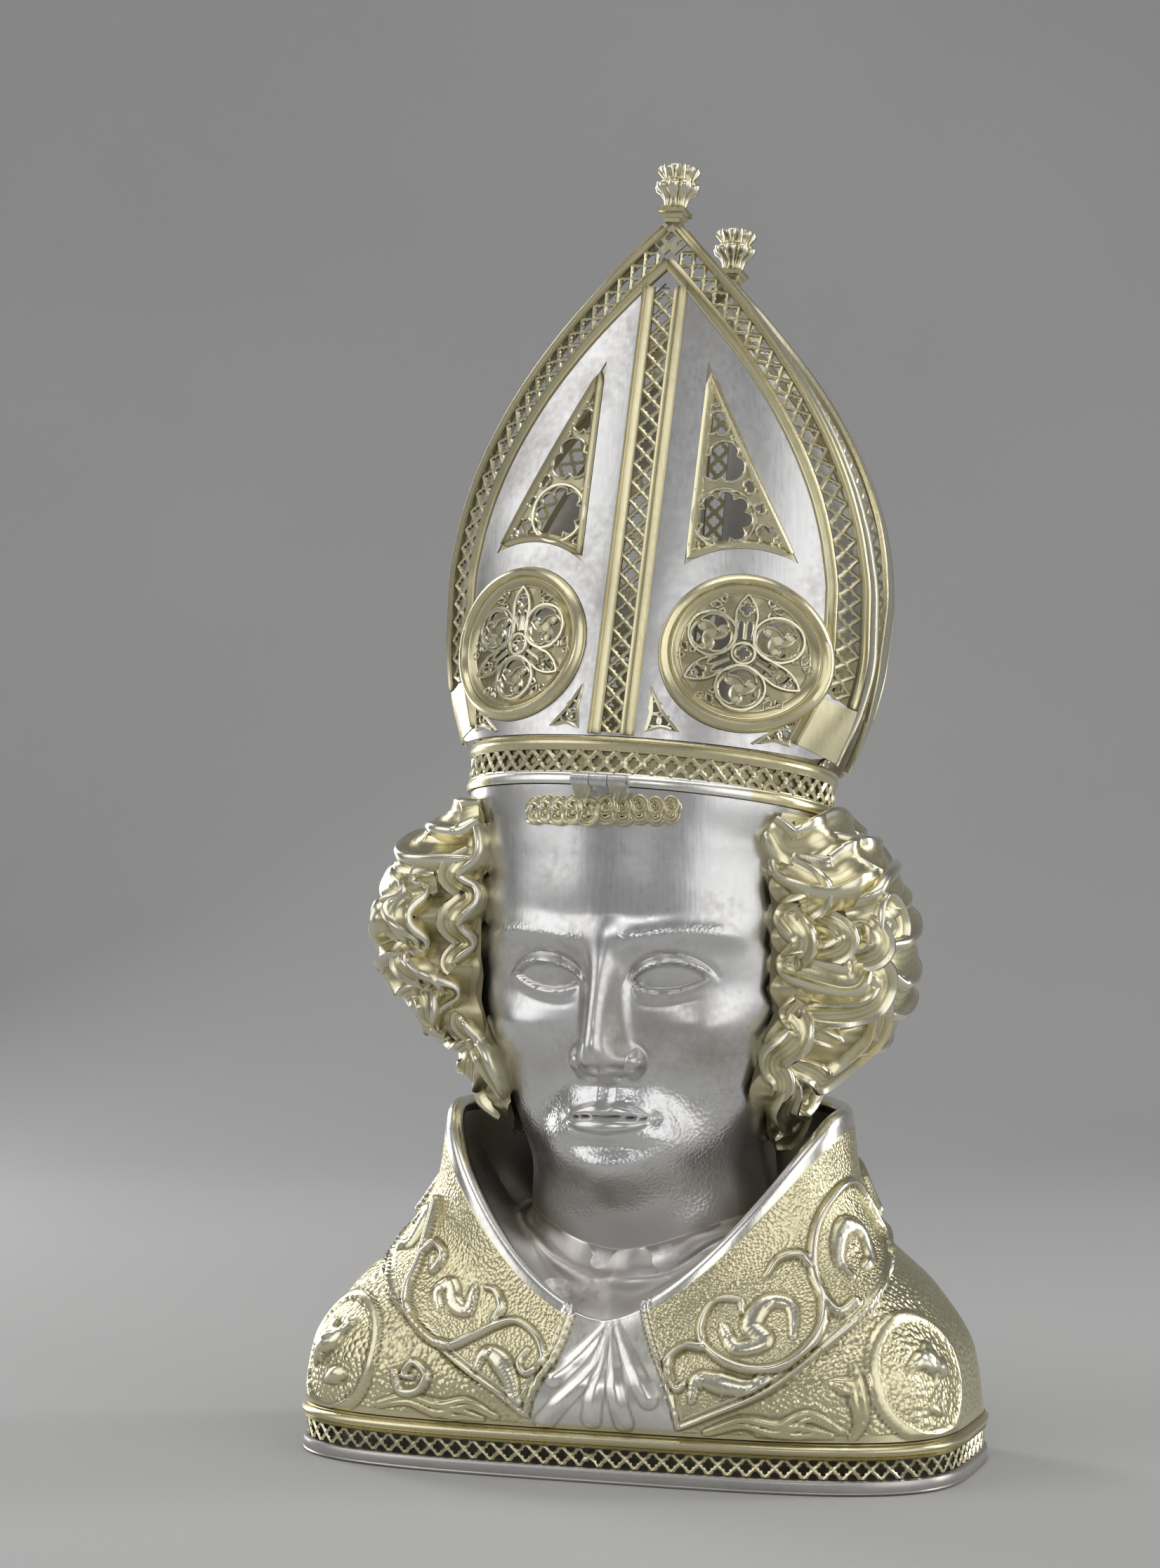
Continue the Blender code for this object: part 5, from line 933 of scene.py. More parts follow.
# Birds of the roundels as (right, up) millimetres from the middle: path, half widths and rise
EAGLE = [
    (((-9, -6), (-6, 1), (0, 4), (3, 9)), (3.0, 5.2, 2.2), 2.0),
    (((3, 8), (5.5, 11), (8.5, 9.5)), (2.2, 2.4, 0.5), 2.0),
    (((-2, 4), (-6, 9), (-12, 12)), (2.6, 2.8, 0.8), 1.3),
    (((-3, 2), (-9, 5), (-14, 5)), (1.6, 2.0, 0.5), 1.2),
    (((-9, -6), (-12, -10), (-9, -14)), (2.4, 1.8, 0.6), 1.2),
    (((-4, -3), (-3, -8), (0, -10)), (1.4, 1.0, 0.6), 1.3),
    (((-2, -14), (4, -9), (11, -7), (9, -13)), (1.2, 3.6, 1.2), 1.3),
]
STORK = [
    (((-8, 3), (-3, 5), (4, 3), (8, -1)), (1.4, 4.6, 2.2), 2.0),
    (((7, 1), (12, 3), (14, -2), (12, -7)), (1.6, 1.4, 1.0), 1.6),
    (((-7, 5), (-12, 3), (-14, -2), (-11, -7)), (1.8, 1.5, 1.2), 1.8),
    (((-11, -7), (-8, -9), (-4, -9)), (1.7, 1.2, 0.5), 1.8),
    (((-2, 4), (4, 9), (11, 9)), (2.0, 2.4, 0.6), 1.3),
    (((2, 0), (1, -6), (4, -10)), (1.0, 0.8, 0.6), 1.3),
    (((-10, -13), (-4, -11), (3, -14), (9, -11)), (1.0, 2.6, 1.0), 1.2),
]


@dataclass
class Shoulders:
    """Chased shell from the base to the rolled edge of the collar."""

    base: Base
    collar: Collar = field(default_factory=Collar)
    sheet: float = 0.0014
    inset: float = 0.0012
    seat: float = 0.0003
    chest_swell: float = 0.0040
    back_swell: float = 0.0030
    flap_rise: float = 0.0019
    roundel_radius: float = 0.0205
    roundel_band: float = 0.0042
    roundel_rise: float = 0.0011
    columns: int = 520
    rows: int = 150
    profile: Sequence[Place] = ((0.0, 1.0), (0.2, 0.935), (0.41, 0.665), (0.6, 0.262), (0.8, 0.054), (1.0, 0.0))

    def surface(self, degrees: Array, climb: Array, inset: float = 0.0) -> Array:
        """Plain surface, before its chasing.

        Args:
            degrees: Degrees round from the front.
            climb: Share of the way up to the collar.
            inset: Distance inwards.

        Returns:
            Points.
        """
        turn = np.mod(np.asarray(degrees, float) / 360, 1.0)
        foot = self.base.plan.point(self.base.plan.paced(turn), self.inset + inset)
        edge = self.collar.edge(turn, inset)
        climb = np.clip(climb, 0, 1)
        out = ease_through(self.profile, climb)[..., None]
        flat = edge[..., :2] + (foot - edge[..., :2]) * out
        hump = 4 * climb * (1 - climb)
        forward = np.cos(FULL_TURN * turn)
        push = -self.chest_swell * np.clip(forward, 0, 1) ** 2 + self.back_swell * np.clip(-forward, 0, 1) ** 2
        low = self.base.top + self.seat
        height = low + (edge[..., 2] - low) * climb
        return np.stack([flat[..., 0], flat[..., 1] + push * hump, height], axis=-1)

    def line(self, places: Sequence[Place], count: int) -> Array:
        """Line in space through a few places."""
        path = wander(places, count)
        return self.surface(path[:, 0], path[:, 1])

    def roundel_axes(self, centre: Place) -> tuple[Array, Array, Array, Array]:
        """Middle of a roundel and its directions to the right, up and out."""
        degrees, climb = centre
        near = self.surface(np.array([degrees, degrees + 0.5, degrees]), np.array([climb, climb, climb + 0.01]))
        right = unit(near[1] - near[0])
        out = unit(np.cross(right, near[2] - near[0]))
        return near[0], right, np.cross(out, right), out

    def strokes(self) -> list[Stroke]:
        """Every raised line that is given by its places."""
        work = [Stroke(vine, (0.0017, 0.0017, 0.0011), 0.0026, Chasing.VINE) for vine in VINES]
        work += [Stroke(beast, (0.0012, 0.0036, 0.0020), 0.0021, Chasing.BEAST) for beast in BEASTS]
        work += [Stroke(leaf, (0.0014, 0.0034, 0.0012), 0.0017, Chasing.LEAF) for leaf in LEAVES]
        work += [Stroke(fold, (0.0014, 0.0026, 0.0032), 0.0012, Chasing.FOLD) for fold in LINEN_FOLDS]
        return work

    def limbs(self) -> list[tuple[Array, tuple[float, float, float], float]]:
        """Legs, ears and birds as lines in space with their half widths and rises."""
        found = []
        for beast in BEASTS:
            body = self.line(beast, 24)
            for spot, reach in ((7, 0.0048), (13, 0.0052)):
                start = body[spot]
                run = unit(body[spot + 1] - body[spot - 1])
                down = unit(np.array([0, 0, -1.0]) - run * -run[2])
                knee = start + down * reach
                found.append((np.array([start, knee, knee + run * 0.0020]), (0.0013, 0.0010, 0.0009), 0.0019))
            head = body[-1] + unit(body[-1] - body[-3]) * 0.0022
            found.append((np.array([body[-2], head]), (0.0022, 0.0018, 0.0009), 0.0017))
        for side, bird in (("left", EAGLE), ("right", STORK)):
            middle, right, high, _ = self.roundel_axes(ROUNDELS[side])
            for path, widths, rise in bird:
                flat = wander(path, 9) / 1000
                thick = tuple(width / 1000 for width in widths)
                found.append((middle + flat[:, :1] * right + flat[:, 1:] * high, thick, 1.5 * rise / 1000))
        return found

    def flap_share(self, degrees: Array, climb: Array) -> Array:
        """Which places lie on a collar flap."""
        right, left = np.array(FLAP_BORDERS["right"]), np.array(FLAP_BORDERS["left"])[::-1]
        above = np.where(degrees > 0, climb > np.interp(degrees, right[:, 0], right[:, 1]),
                         climb > np.interp(degrees, left[:, 0], left[:, 1]))
        front_right, front_left = np.array(FLAP_FRONTS["right"]), np.array(FLAP_FRONTS["left"])
        beyond = (degrees > np.interp(climb, front_right[:, 1], front_right[:, 0]))
        beyond |= degrees < np.interp(climb, front_left[:, 1], front_left[:, 0])
        return above & beyond

    def chase(self, degrees: Array, climb: Array, points: Array, normals: Array) -> tuple[Array, dict[str, Array]]:
        """Raised work over the plain surface.

        Args:
            degrees: Degrees round from the front.
            climb: Share of the climb.
            points: The surface's points.
            normals: Its outward directions.

        Returns:
            The rise at each point and the marks that go with it.
        """
        count = len(points)
        lift, crest, hollow = np.zeros(count), np.zeros(count), np.zeros(count)
        busy = np.zeros(count)
        on_flap = self.flap_share(degrees, climb)
        to_edge = np.full(count, np.inf)
        for side in ("left", "right"):
            for places in (FLAP_BORDERS[side], FLAP_FRONTS[side]):
                near = beside_line(points, normals, self.line(places, 12 * len(places)), 0.006)
                to_edge = np.minimum(to_edge, near.away)
        to_edge = np.minimum(to_edge, 0.006)
        bevel = np.where(on_flap, smoothstep(0.0, 0.0009, to_edge), 0.0)
        lift += self.flap_rise * bevel
        for centre, half, rise in ((0.0011, 0.0010, 0.0008), (0.0034, 0.0005, 0.0004)):
            q = np.where(on_flap, np.abs(to_edge - centre) / half, 9.0)
            lift += rise * np.sqrt(np.clip(1 - q * q, 0, 1))
            crest = np.maximum(crest, np.clip(1.2 - q, 0, 1))
        lift -= 0.0003 * np.where(on_flap, np.clip(1 - np.abs(to_edge - 0.0025) / 0.0005, 0, 1), 0)
        # The ground beside each flap's edge is darkened: painted shade under the flap, with tarnish.
        hollow = np.maximum(hollow, np.clip(1 - to_edge / 0.0012, 0, 1) * ~on_flap)
        relief = np.zeros(count)
        for stroke in self.strokes():
            line = self.line(stroke.places, 10 * len(stroke.places))
            self.raise_line(points, normals, line, stroke.widths, stroke.rise, stroke.kind, relief, crest, hollow,
                            busy)
        for line, widths, rise in self.limbs():
            self.raise_line(points, normals, line, widths, rise, Chasing.BEAST, relief, crest, hollow, busy)
        for side, centre in ROUNDELS.items():
            middle, right, high, out = self.roundel_axes(centre)
            reach = points - middle
            radius = np.hypot(reach @ right, reach @ high)
            facing = (np.abs(reach @ out) < 0.8 * self.roundel_radius)
            q = np.abs(radius - self.roundel_radius) / (self.roundel_band / 2)
            ring = facing * (1 - smoothstep(0.75, 1.05, q))
            relief = np.maximum(relief, self.roundel_rise * ring)
            relief -= 0.0004 * facing * np.clip(1 - np.abs(q - 0.72) / 0.10, 0, 1)
            busy = np.maximum(busy, ring)
            # A dark line outside each roundel's ring: painted shade at its foot, with tarnish.
            hollow = np.maximum(hollow, facing * np.clip(1 - np.abs(q - 1.15) / 0.18, 0, 1) * 0.8)
            crest = np.maximum(crest, ring * 0.25)
        gap = ~on_flap & (degrees > -13) & (degrees < 19) & (climb > 0.03)
        linen = gap * smoothstep(0.03, 0.07, climb)
        lip = smoothstep(0.955, 0.975, climb) * on_flap
        marks = {"crest": np.maximum(crest, lip), "hollow": hollow * (1 - lip), "silver": np.maximum(linen, lip),
                 "punched": on_flap * (1 - np.clip(busy * 1.6, 0, 1)) * (to_edge > 0.004) * (climb < 0.955),
                 "stippled": ~on_flap * ~gap * (1 - np.clip(busy * 1.8, 0, 1)) * (climb > 0.03)}
        return lift + relief, marks

    def raise_line(self, points: Array, normals: Array, line: Array, widths: tuple[float, float, float], rise: float,
                   kind: Chasing, relief: Array, crest: Array, hollow: Array, busy: Array) -> None:
        """Raise one line, in place.

        Args:
            points: The surface's points.
            normals: Its outward directions.
            line: The line in space.
            widths: Half widths at its start, middle and end.
            rise: Its height.
            kind: What it is.
            relief: Rises so far.
            crest: Rubbed ridges so far.
            hollow: Tarnish and painted shade round raised work so far.
            busy: Where something is raised.
        """
        near = beside_line(points, normals, line, 2.2 * max(widths))
        width = np.interp(near.share, [0, 0.5, 1], widths)
        q = near.away / width
        round_top = np.sqrt(np.clip(1 - q * q, 0, 1))
        if kind is Chasing.LEAF:
            round_top = smoothstep(1.0, 0.6, q) * (1 - 0.5 * np.clip(1 - q / 0.16, 0, 1))
        if kind is Chasing.FOLD:
            round_top = smoothstep(1.3, 0.0, q) * (0.3 + 0.7 * near.share)
        if kind is Chasing.BEAST:
            hatch = 0.5 + 0.5 * np.sin(FULL_TURN * near.share * line_length(line) / 0.0013)
            round_top = round_top * (1 - 0.16 * hatch * (width > 0.0015))
        np.maximum(relief, rise * round_top * np.clip(width / max(widths), 0.45, 1), out=relief)
        if kind is not Chasing.LEAF:
            np.maximum(crest, np.clip(1.25 * (1 - q), 0, 1) * (0.9 if kind is not Chasing.FOLD else 0.3), out=crest)
        # A dark line round each raised line's foot: painted shade where it meets the ground, with tarnish.
        np.maximum(hollow, np.clip(1 - np.abs(q - 1.12) / 0.35, 0, 1) * 0.8, out=hollow)
        np.maximum(busy, np.clip(1.4 - q, 0, 1), out=busy)

    def build(self) -> None:
        """Make the shell with its chased outside, rolled edge and plain inside."""
        pace = -1 + 2 * np.arange(self.columns) / self.columns
        degrees = 180 * (0.60 * pace + 0.40 * pace ** 3)
        climb = np.linspace(0, 1, self.rows)
        place = np.meshgrid(degrees, climb)
        grid = self.surface(place[0], place[1])
        around = np.roll(grid, -1, axis=1) - np.roll(grid, 1, axis=1)
        normals = unit(np.cross(around, np.gradient(grid, axis=0)))
        lift, marks = self.chase(place[0].ravel(), place[1].ravel(), grid.reshape(-1, 3), normals.reshape(-1, 3))
        settle = smoothstep(0.0, 0.02, place[1].ravel())
        outer = grid.reshape(-1, 3) + normals.reshape(-1, 3) * (lift * settle)[:, None]
        rows = [outer.reshape(grid.shape)]
        filled = {mark: [value.reshape(place[0].shape)] for mark, value in marks.items()}
        turn = degrees / 360
        middle = self.collar.edge(turn, self.collar.roll / 2)
        ways = unit(outer.reshape(grid.shape)[-1] - middle)
        bead = np.linalg.norm(outer.reshape(grid.shape)[-1] - middle, axis=1)[:, None]
        rest = []
        for angle in np.radians([35, 70, 105, 140, 180]):
            rest.append(middle + bead * (ways * math.cos(angle) + np.array([0, 0, 1.0]) * math.sin(angle)))
        for share in (0.95, 0.80, 0.68, 0.56, 0.41, 0.0):
            inset = self.collar.roll if share > 0.9 else self.sheet + 0.0002
            rest.append(self.surface(degrees, np.full_like(degrees, share), inset))
        rows.append(np.array(rest))
        edge_rows = np.concatenate([np.ones(5), np.zeros(6)])[:, None] * np.ones(self.columns)
        for mark in MARKS:
            extra = edge_rows if mark in ("crest", "silver") else np.zeros_like(edge_rows)
            filled.setdefault(mark, [np.zeros_like(place[0])]).append(extra)
        whole = np.vstack(rows)
        form = Form()
        form.add(whole, quads(*whole.shape[:2], wrap=True, wrap_rows=True),
                 **{mark: np.vstack(parts) for mark, parts in filled.items()})
        place_piece("chased_shoulders", form, Finish.GILT, Body.BUST, ["shoulders"], 70.0)


def line_length(line: Array) -> float:
    """Length of a line in space."""
    return float(np.linalg.norm(np.diff(line, axis=0), axis=1).sum())


# Mitre's frame, in which the rim, the panels and the hinge are drawn


@dataclass
class MitreFrame:
    """Place and lean of the mitre: across, back and up."""

    centre: tuple[float, float, float] = (0.0020, 0.0010, 0.2230)
    tilt_back: float = math.radians(9.0)
    lean: float = math.radians(3.0)
    half_width: float = 0.0640
    half_depth: float = 0.0520

    def axes(self) -> Array:
        """Columns are the directions across, back and up in the world."""
        tilt, lean = self.tilt_back, self.lean
        turn_back = np.array([[1, 0, 0], [0, math.cos(tilt), math.sin(tilt)], [0, -math.sin(tilt), math.cos(tilt)]])
        turn_lean = np.array([[math.cos(lean), 0, math.sin(lean)], [0, 1, 0], [-math.sin(lean), 0, math.cos(lean)]])
        return turn_lean @ turn_back

    def world(self, local: Array) -> Array:
        """World points of (across, back, up) places."""
        return np.array(self.centre) + np.asarray(local, float) @ self.axes().T

    def seat_height(self, x: Array, y: Array) -> Array:
        """Height of the plane that the rim rests on."""
        normal, centre = self.axes()[:, 2], np.array(self.centre)
        return centre[2] - (normal[0] * (x - centre[0]) + normal[1] * (y - centre[1])) / normal[2]

    def seat_radius(self, angle: Array, inset: float = 0.0008) -> Array:
        """Radius of the crown's edge under the rim."""
        across, forward = np.sin(angle) / (self.half_width - inset), np.cos(angle) / (self.half_depth - inset)
        return 1 / np.sqrt(across ** 2 + forward ** 2)


# Head


def ball(p: Array, centre: Sequence[float], radii: Sequence[float]) -> Array:
    """Distance to an ellipsoid, near enough for modelling."""
    size = np.array(radii, float)
    q = (p - np.array(centre, float)) / size
    length = np.sqrt((q * q).sum(-1))
    return length * (length - 1) / np.maximum(np.sqrt(((q / size) ** 2).sum(-1)), 1e-9)


def melt(a: Array, b: Array, blend: float) -> Array:
    """Join two forms with a soft seam."""
    share = np.clip(0.5 + 0.5 * (b - a) / blend, 0, 1)
    return b + (a - b) * share - blend * share * (1 - share)


def hill(x: Array, breadth: float, z: Array, height: float) -> Array:
    """Round hill of 1 in the middle."""
    return np.exp(-(x / breadth) ** 2 - (z / height) ** 2)


@dataclass
class HeadForm:
    """The head's own shape, in parts of the face's height from chin to hairline."""

    face_height: float = 0.1300
    chin_height: float = 0.0920
    centre_x: float = 0.0020
    centre_y: float = 0.0010
    seat_gap: float = 0.0003
    seat_blend: float = 0.0140
    mitre: MitreFrame = field(default_factory=MitreFrame)

    @property
    def part(self) -> float:
        """One of the 130 parts of the face's height."""
        return self.face_height / 130

    def distance(self, p: Array) -> Array:
        """Distance to the plain head; x across, y back and z up from the chin, in parts."""
        m = p.copy()
        m[..., 0] = np.abs(m[..., 0])
        form = ball(p, (0, 0, 133), (61, 51, 112))
        form = melt(form, ball(p, (0, -4, 74), (60, 46, 60)), 12)
        form = melt(form, ball(p, (0, -22, 20), (30, 26, 22)), 12)
        form = melt(form, ball(m, (27, -4, 34), (18, 24, 24)), 12)
        return melt(form, ball(p, (0, 7, -8), (43, 42, 90)), 10)

    def features(self, x: Array, z: Array) -> Array:
        """Rise of the face over the plain head.

        Args:
            x: Parts from the middle of the face.
            z: Parts above the chin.

        Returns:
            The rise, in parts.
        """
        a = np.abs(x)
        rise = 3.0 * hill(a - 31, 10, z - 57, 10) + 2.2 * hill(x, 34, z - 106, 17)
        rise += 2.6 * hill(x, 22, z - 29, 15) + 5.0 * hill(x, 12.5, z - 8.5, 8.5)
        rise -= 5.6 * hill(a - 21, 13.5, z - 73, 9.0) + 2.2 * hill(a - 11, 5.0, z - 76, 7.0)
        rise -= 1.6 * hill(a - 27, 9, z - 33, 11)
        return rise + self.brow(a, z) + self.nose(a, z) + self.eyes(a, z) + self.mouth(a, z)

    def brow(self, a: Array, z: Array) -> Array:
        """Soft ridge over each eye."""
        line = 87.0 + 3.0 * np.sin(np.clip((a - 8) / 30, 0, 1) * 2.4)
        fade = smoothstep(3, 12, a) * (1 - smoothstep(32, 43, a))
        return 2.3 * fade * np.exp(-((z - line) / 4.2) ** 2) + 1.2 * hill(a, 9, z - 90, 6)

    def nose(self, a: Array, z: Array) -> Array:
        """Straight bridge, round tip, wings and nostrils."""
        height = ease_through([(38.5, 0.0), (41.5, 4.5), (44.0, 12.2), (47.5, 15.8), (51.0, 16.0), (60, 12.4), (72, 7.6),
                               (80, 4.6), (86, 2.6), (96, 0.0)], z)
        breadth = ease_through([(40, 7.6), (48, 7.4), (54, 6.0), (66, 5.2), (80, 5.4), (92, 8.0)], z)
        bridge = height * np.exp(-np.abs(a / breadth) ** 2.3)
        bridge += 1.5 * height / 16 * np.exp(-(a / (2.1 * breadth)) ** 2)
        wing = 6.2 * np.exp(-(((a - 9.6) / 4.4) ** 2 + ((z - 46.2) / 4.6) ** 2) ** 1.3)
        crease = np.abs(np.hypot((a - 8.4) / 0.95, z - 46.6) - 6.7)
        crease = 1.0 * np.exp(-(crease / 1.0) ** 2) * smoothstep(9.5, 13, a) * smoothstep(40, 44, z)
        nostril = 2.6 * hill(a - 5.0, 2.4, z - 41.9, 1.3)
        return np.maximum(bridge, wing) + 0.25 * np.minimum(bridge, wing) - crease - nostril

    def eyes(self, a: Array, z: Array) -> Array:
        """Eyeballs between an upper and a lower lid, with a crease above."""
        t = (a - 20.5) / 11.2
        bow = np.clip(1 - t * t, 0, None)
        up = z - 74.2 - 0.9 * t
        upper, lower = 5.4 * bow ** 0.75, -3.9 * bow ** 0.85
        ball_rise = 4.6 * np.exp(-(np.hypot((a - 20.5) / 11.5, up / 8.2)) ** 2.6)
        inside = smoothstep(-0.35, 0.55, upper - up) * smoothstep(-0.35, 0.55, up - lower) * (np.abs(t) < 1)
        rim = np.exp(-((up - upper - 0.7) / 0.85) ** 2) * 1.0 + np.exp(-((up - lower + 0.7) / 0.9) ** 2) * 0.55
        rim = rim * smoothstep(1.12, 0.86, np.abs(t))
        crease_line = 9.0 * np.clip(1 - ((a - 20.5) / 13.5) ** 2, 0, None) ** 0.7
        crease = np.exp(-((up - crease_line) / 1.0) ** 2) * smoothstep(1.15, 0.85, np.abs(a - 20.5) / 13.0)
        bag = 0.7 * np.exp(-((up + 8.4 - 2.0 * t * t) / 1.3) ** 2) * smoothstep(1.0, 0.5, np.abs(t))
        corner = 0.8 * hill(a - 10.4, 1.6, z - 73.0, 1.4)
        return ball_rise - 1.35 * inside + rim - 1.3 * crease - 0.5 * bag - corner

    def mouth(self, a: Array, z: Array) -> Array:
        """Closed lips with a soft line between them, the groove above and the hollow below."""
        seam = 28.0 + 0.5 * np.cos(a / 16.5 * 2.6) * (a < 20) - 0.35 * np.exp(-(a / 3.0) ** 2)
        width = np.clip(1 - (a / 17.0) ** 2, 0, None)
        top = seam + 4.6 * width ** 0.9 * (1 - 0.24 * np.exp(-(a / 2.6) ** 2))
        low = seam - 5.6 * width ** 0.75
        on_upper = smoothstep(-0.4, 0.9, top - z) * smoothstep(-0.2, 0.5, z - seam) * (a < 17)
        on_lower = smoothstep(-0.5, 1.2, z - low) * smoothstep(-0.2, 0.5, seam - z) * (a < 17)
        swell_upper = 1.9 * width ** 0.5 * np.sqrt(np.clip((z - seam + 0.6) / 6.0, 0, 1))
        swell_lower = 2.9 * width ** 0.6 * np.sqrt(np.clip(1 - ((z - seam + 2.5) / 3.6) ** 2, 0, 1))
        line = 1.7 * np.exp(-((z - seam) / 0.75) ** 2) * smoothstep(18.5, 14, a)
        groove = 0.9 * hill(a, 2.0, z - 36, 3.6) - 0.45 * hill(a - 3.8, 1.5, z - 35.5, 3.6)
        corner = 1.3 * hill(a - 17.6, 2.4, z - 27.6, 2.6)
        return (on_upper * (1.4 + 0.4 * swell_upper) + on_lower * swell_lower - line - groove - corner
                - 2.8 * hill(a, 12, z - 18.2, 3.0))

    def cast(self, angle: Array, height: Array) -> Array:
        """Radius of the head, looking out from its upright axis.

        Args:
            angle: Angle from the front.
            height: Height in metres.

        Returns:
            Distance from the axis to the surface.
        """
        angle, height = np.broadcast_arrays(np.asarray(angle, float), np.asarray(height, float))
        ways = np.stack([np.sin(angle), -np.cos(angle)], axis=-1)
        level = (height - self.chin_height) / self.part

        def distance(reach: Array) -> Array:
            """Distance at a reach from the axis."""
            return self.distance(np.concatenate([ways * reach[..., None], level[..., None]], axis=-1))

        reach = np.full(angle.shape, 90.0)
        found = np.zeros(angle.shape, bool)
        for _ in range(26):
            gap = distance(reach)
            found |= gap < 0.25
            reach = np.where(found, reach, np.maximum(reach - np.maximum(gap * 0.8, 0.4), 8.0))
        inner, outer = np.maximum(reach - 1.2, 8.0), reach + 1.2
        for _ in range(9):
            middle = 0.5 * (inner + outer)
            outside = distance(middle) > 0
            outer = np.where(outside, middle, outer)
            inner = np.where(outside, inner, middle)
        front = smoothstep(0.0, 0.35, np.cos(angle))
        return (outer + front * self.features(50 * np.sin(angle), level)) * self.part

    def crown(self, angle: Array) -> tuple[Array, Array]:
        """Radius and height of the crown's edge."""
        edge = self.mitre.seat_radius(angle)
        x, y = self.centre_x + edge * np.sin(angle), self.centre_y - edge * np.cos(angle)
        return edge, self.mitre.seat_height(x, y) - self.seat_gap

    def skin(self, angle: Array, height: Array, out: Union[Array, float] = 0.0) -> Array:
        """Points on the head's outside, eased into the crown's edge, moved outwards by out."""
        angle, height = np.broadcast_arrays(np.asarray(angle, float), np.asarray(height, float))
        edge, high = self.crown(angle)
        radius = self.cast(angle, height)
        radius = radius + (edge - radius) * smoothstep(-self.seat_blend, 0.0, height - high) + out
        return np.stack([self.centre_x + radius * np.sin(angle), self.centre_y - radius * np.cos(angle), height], -1)

    def neck(self, angle: Array) -> Array:
        """Height at which the neck turns out into the linen."""
        side = np.abs(np.sin(angle))
        front = 0.0740 + (0.0860 - 0.0740) * side ** 1.7
        back = 0.1130 + (0.0860 - 0.1130) * side ** 1.2
        return np.where(np.cos(angle) > 0, front, back)


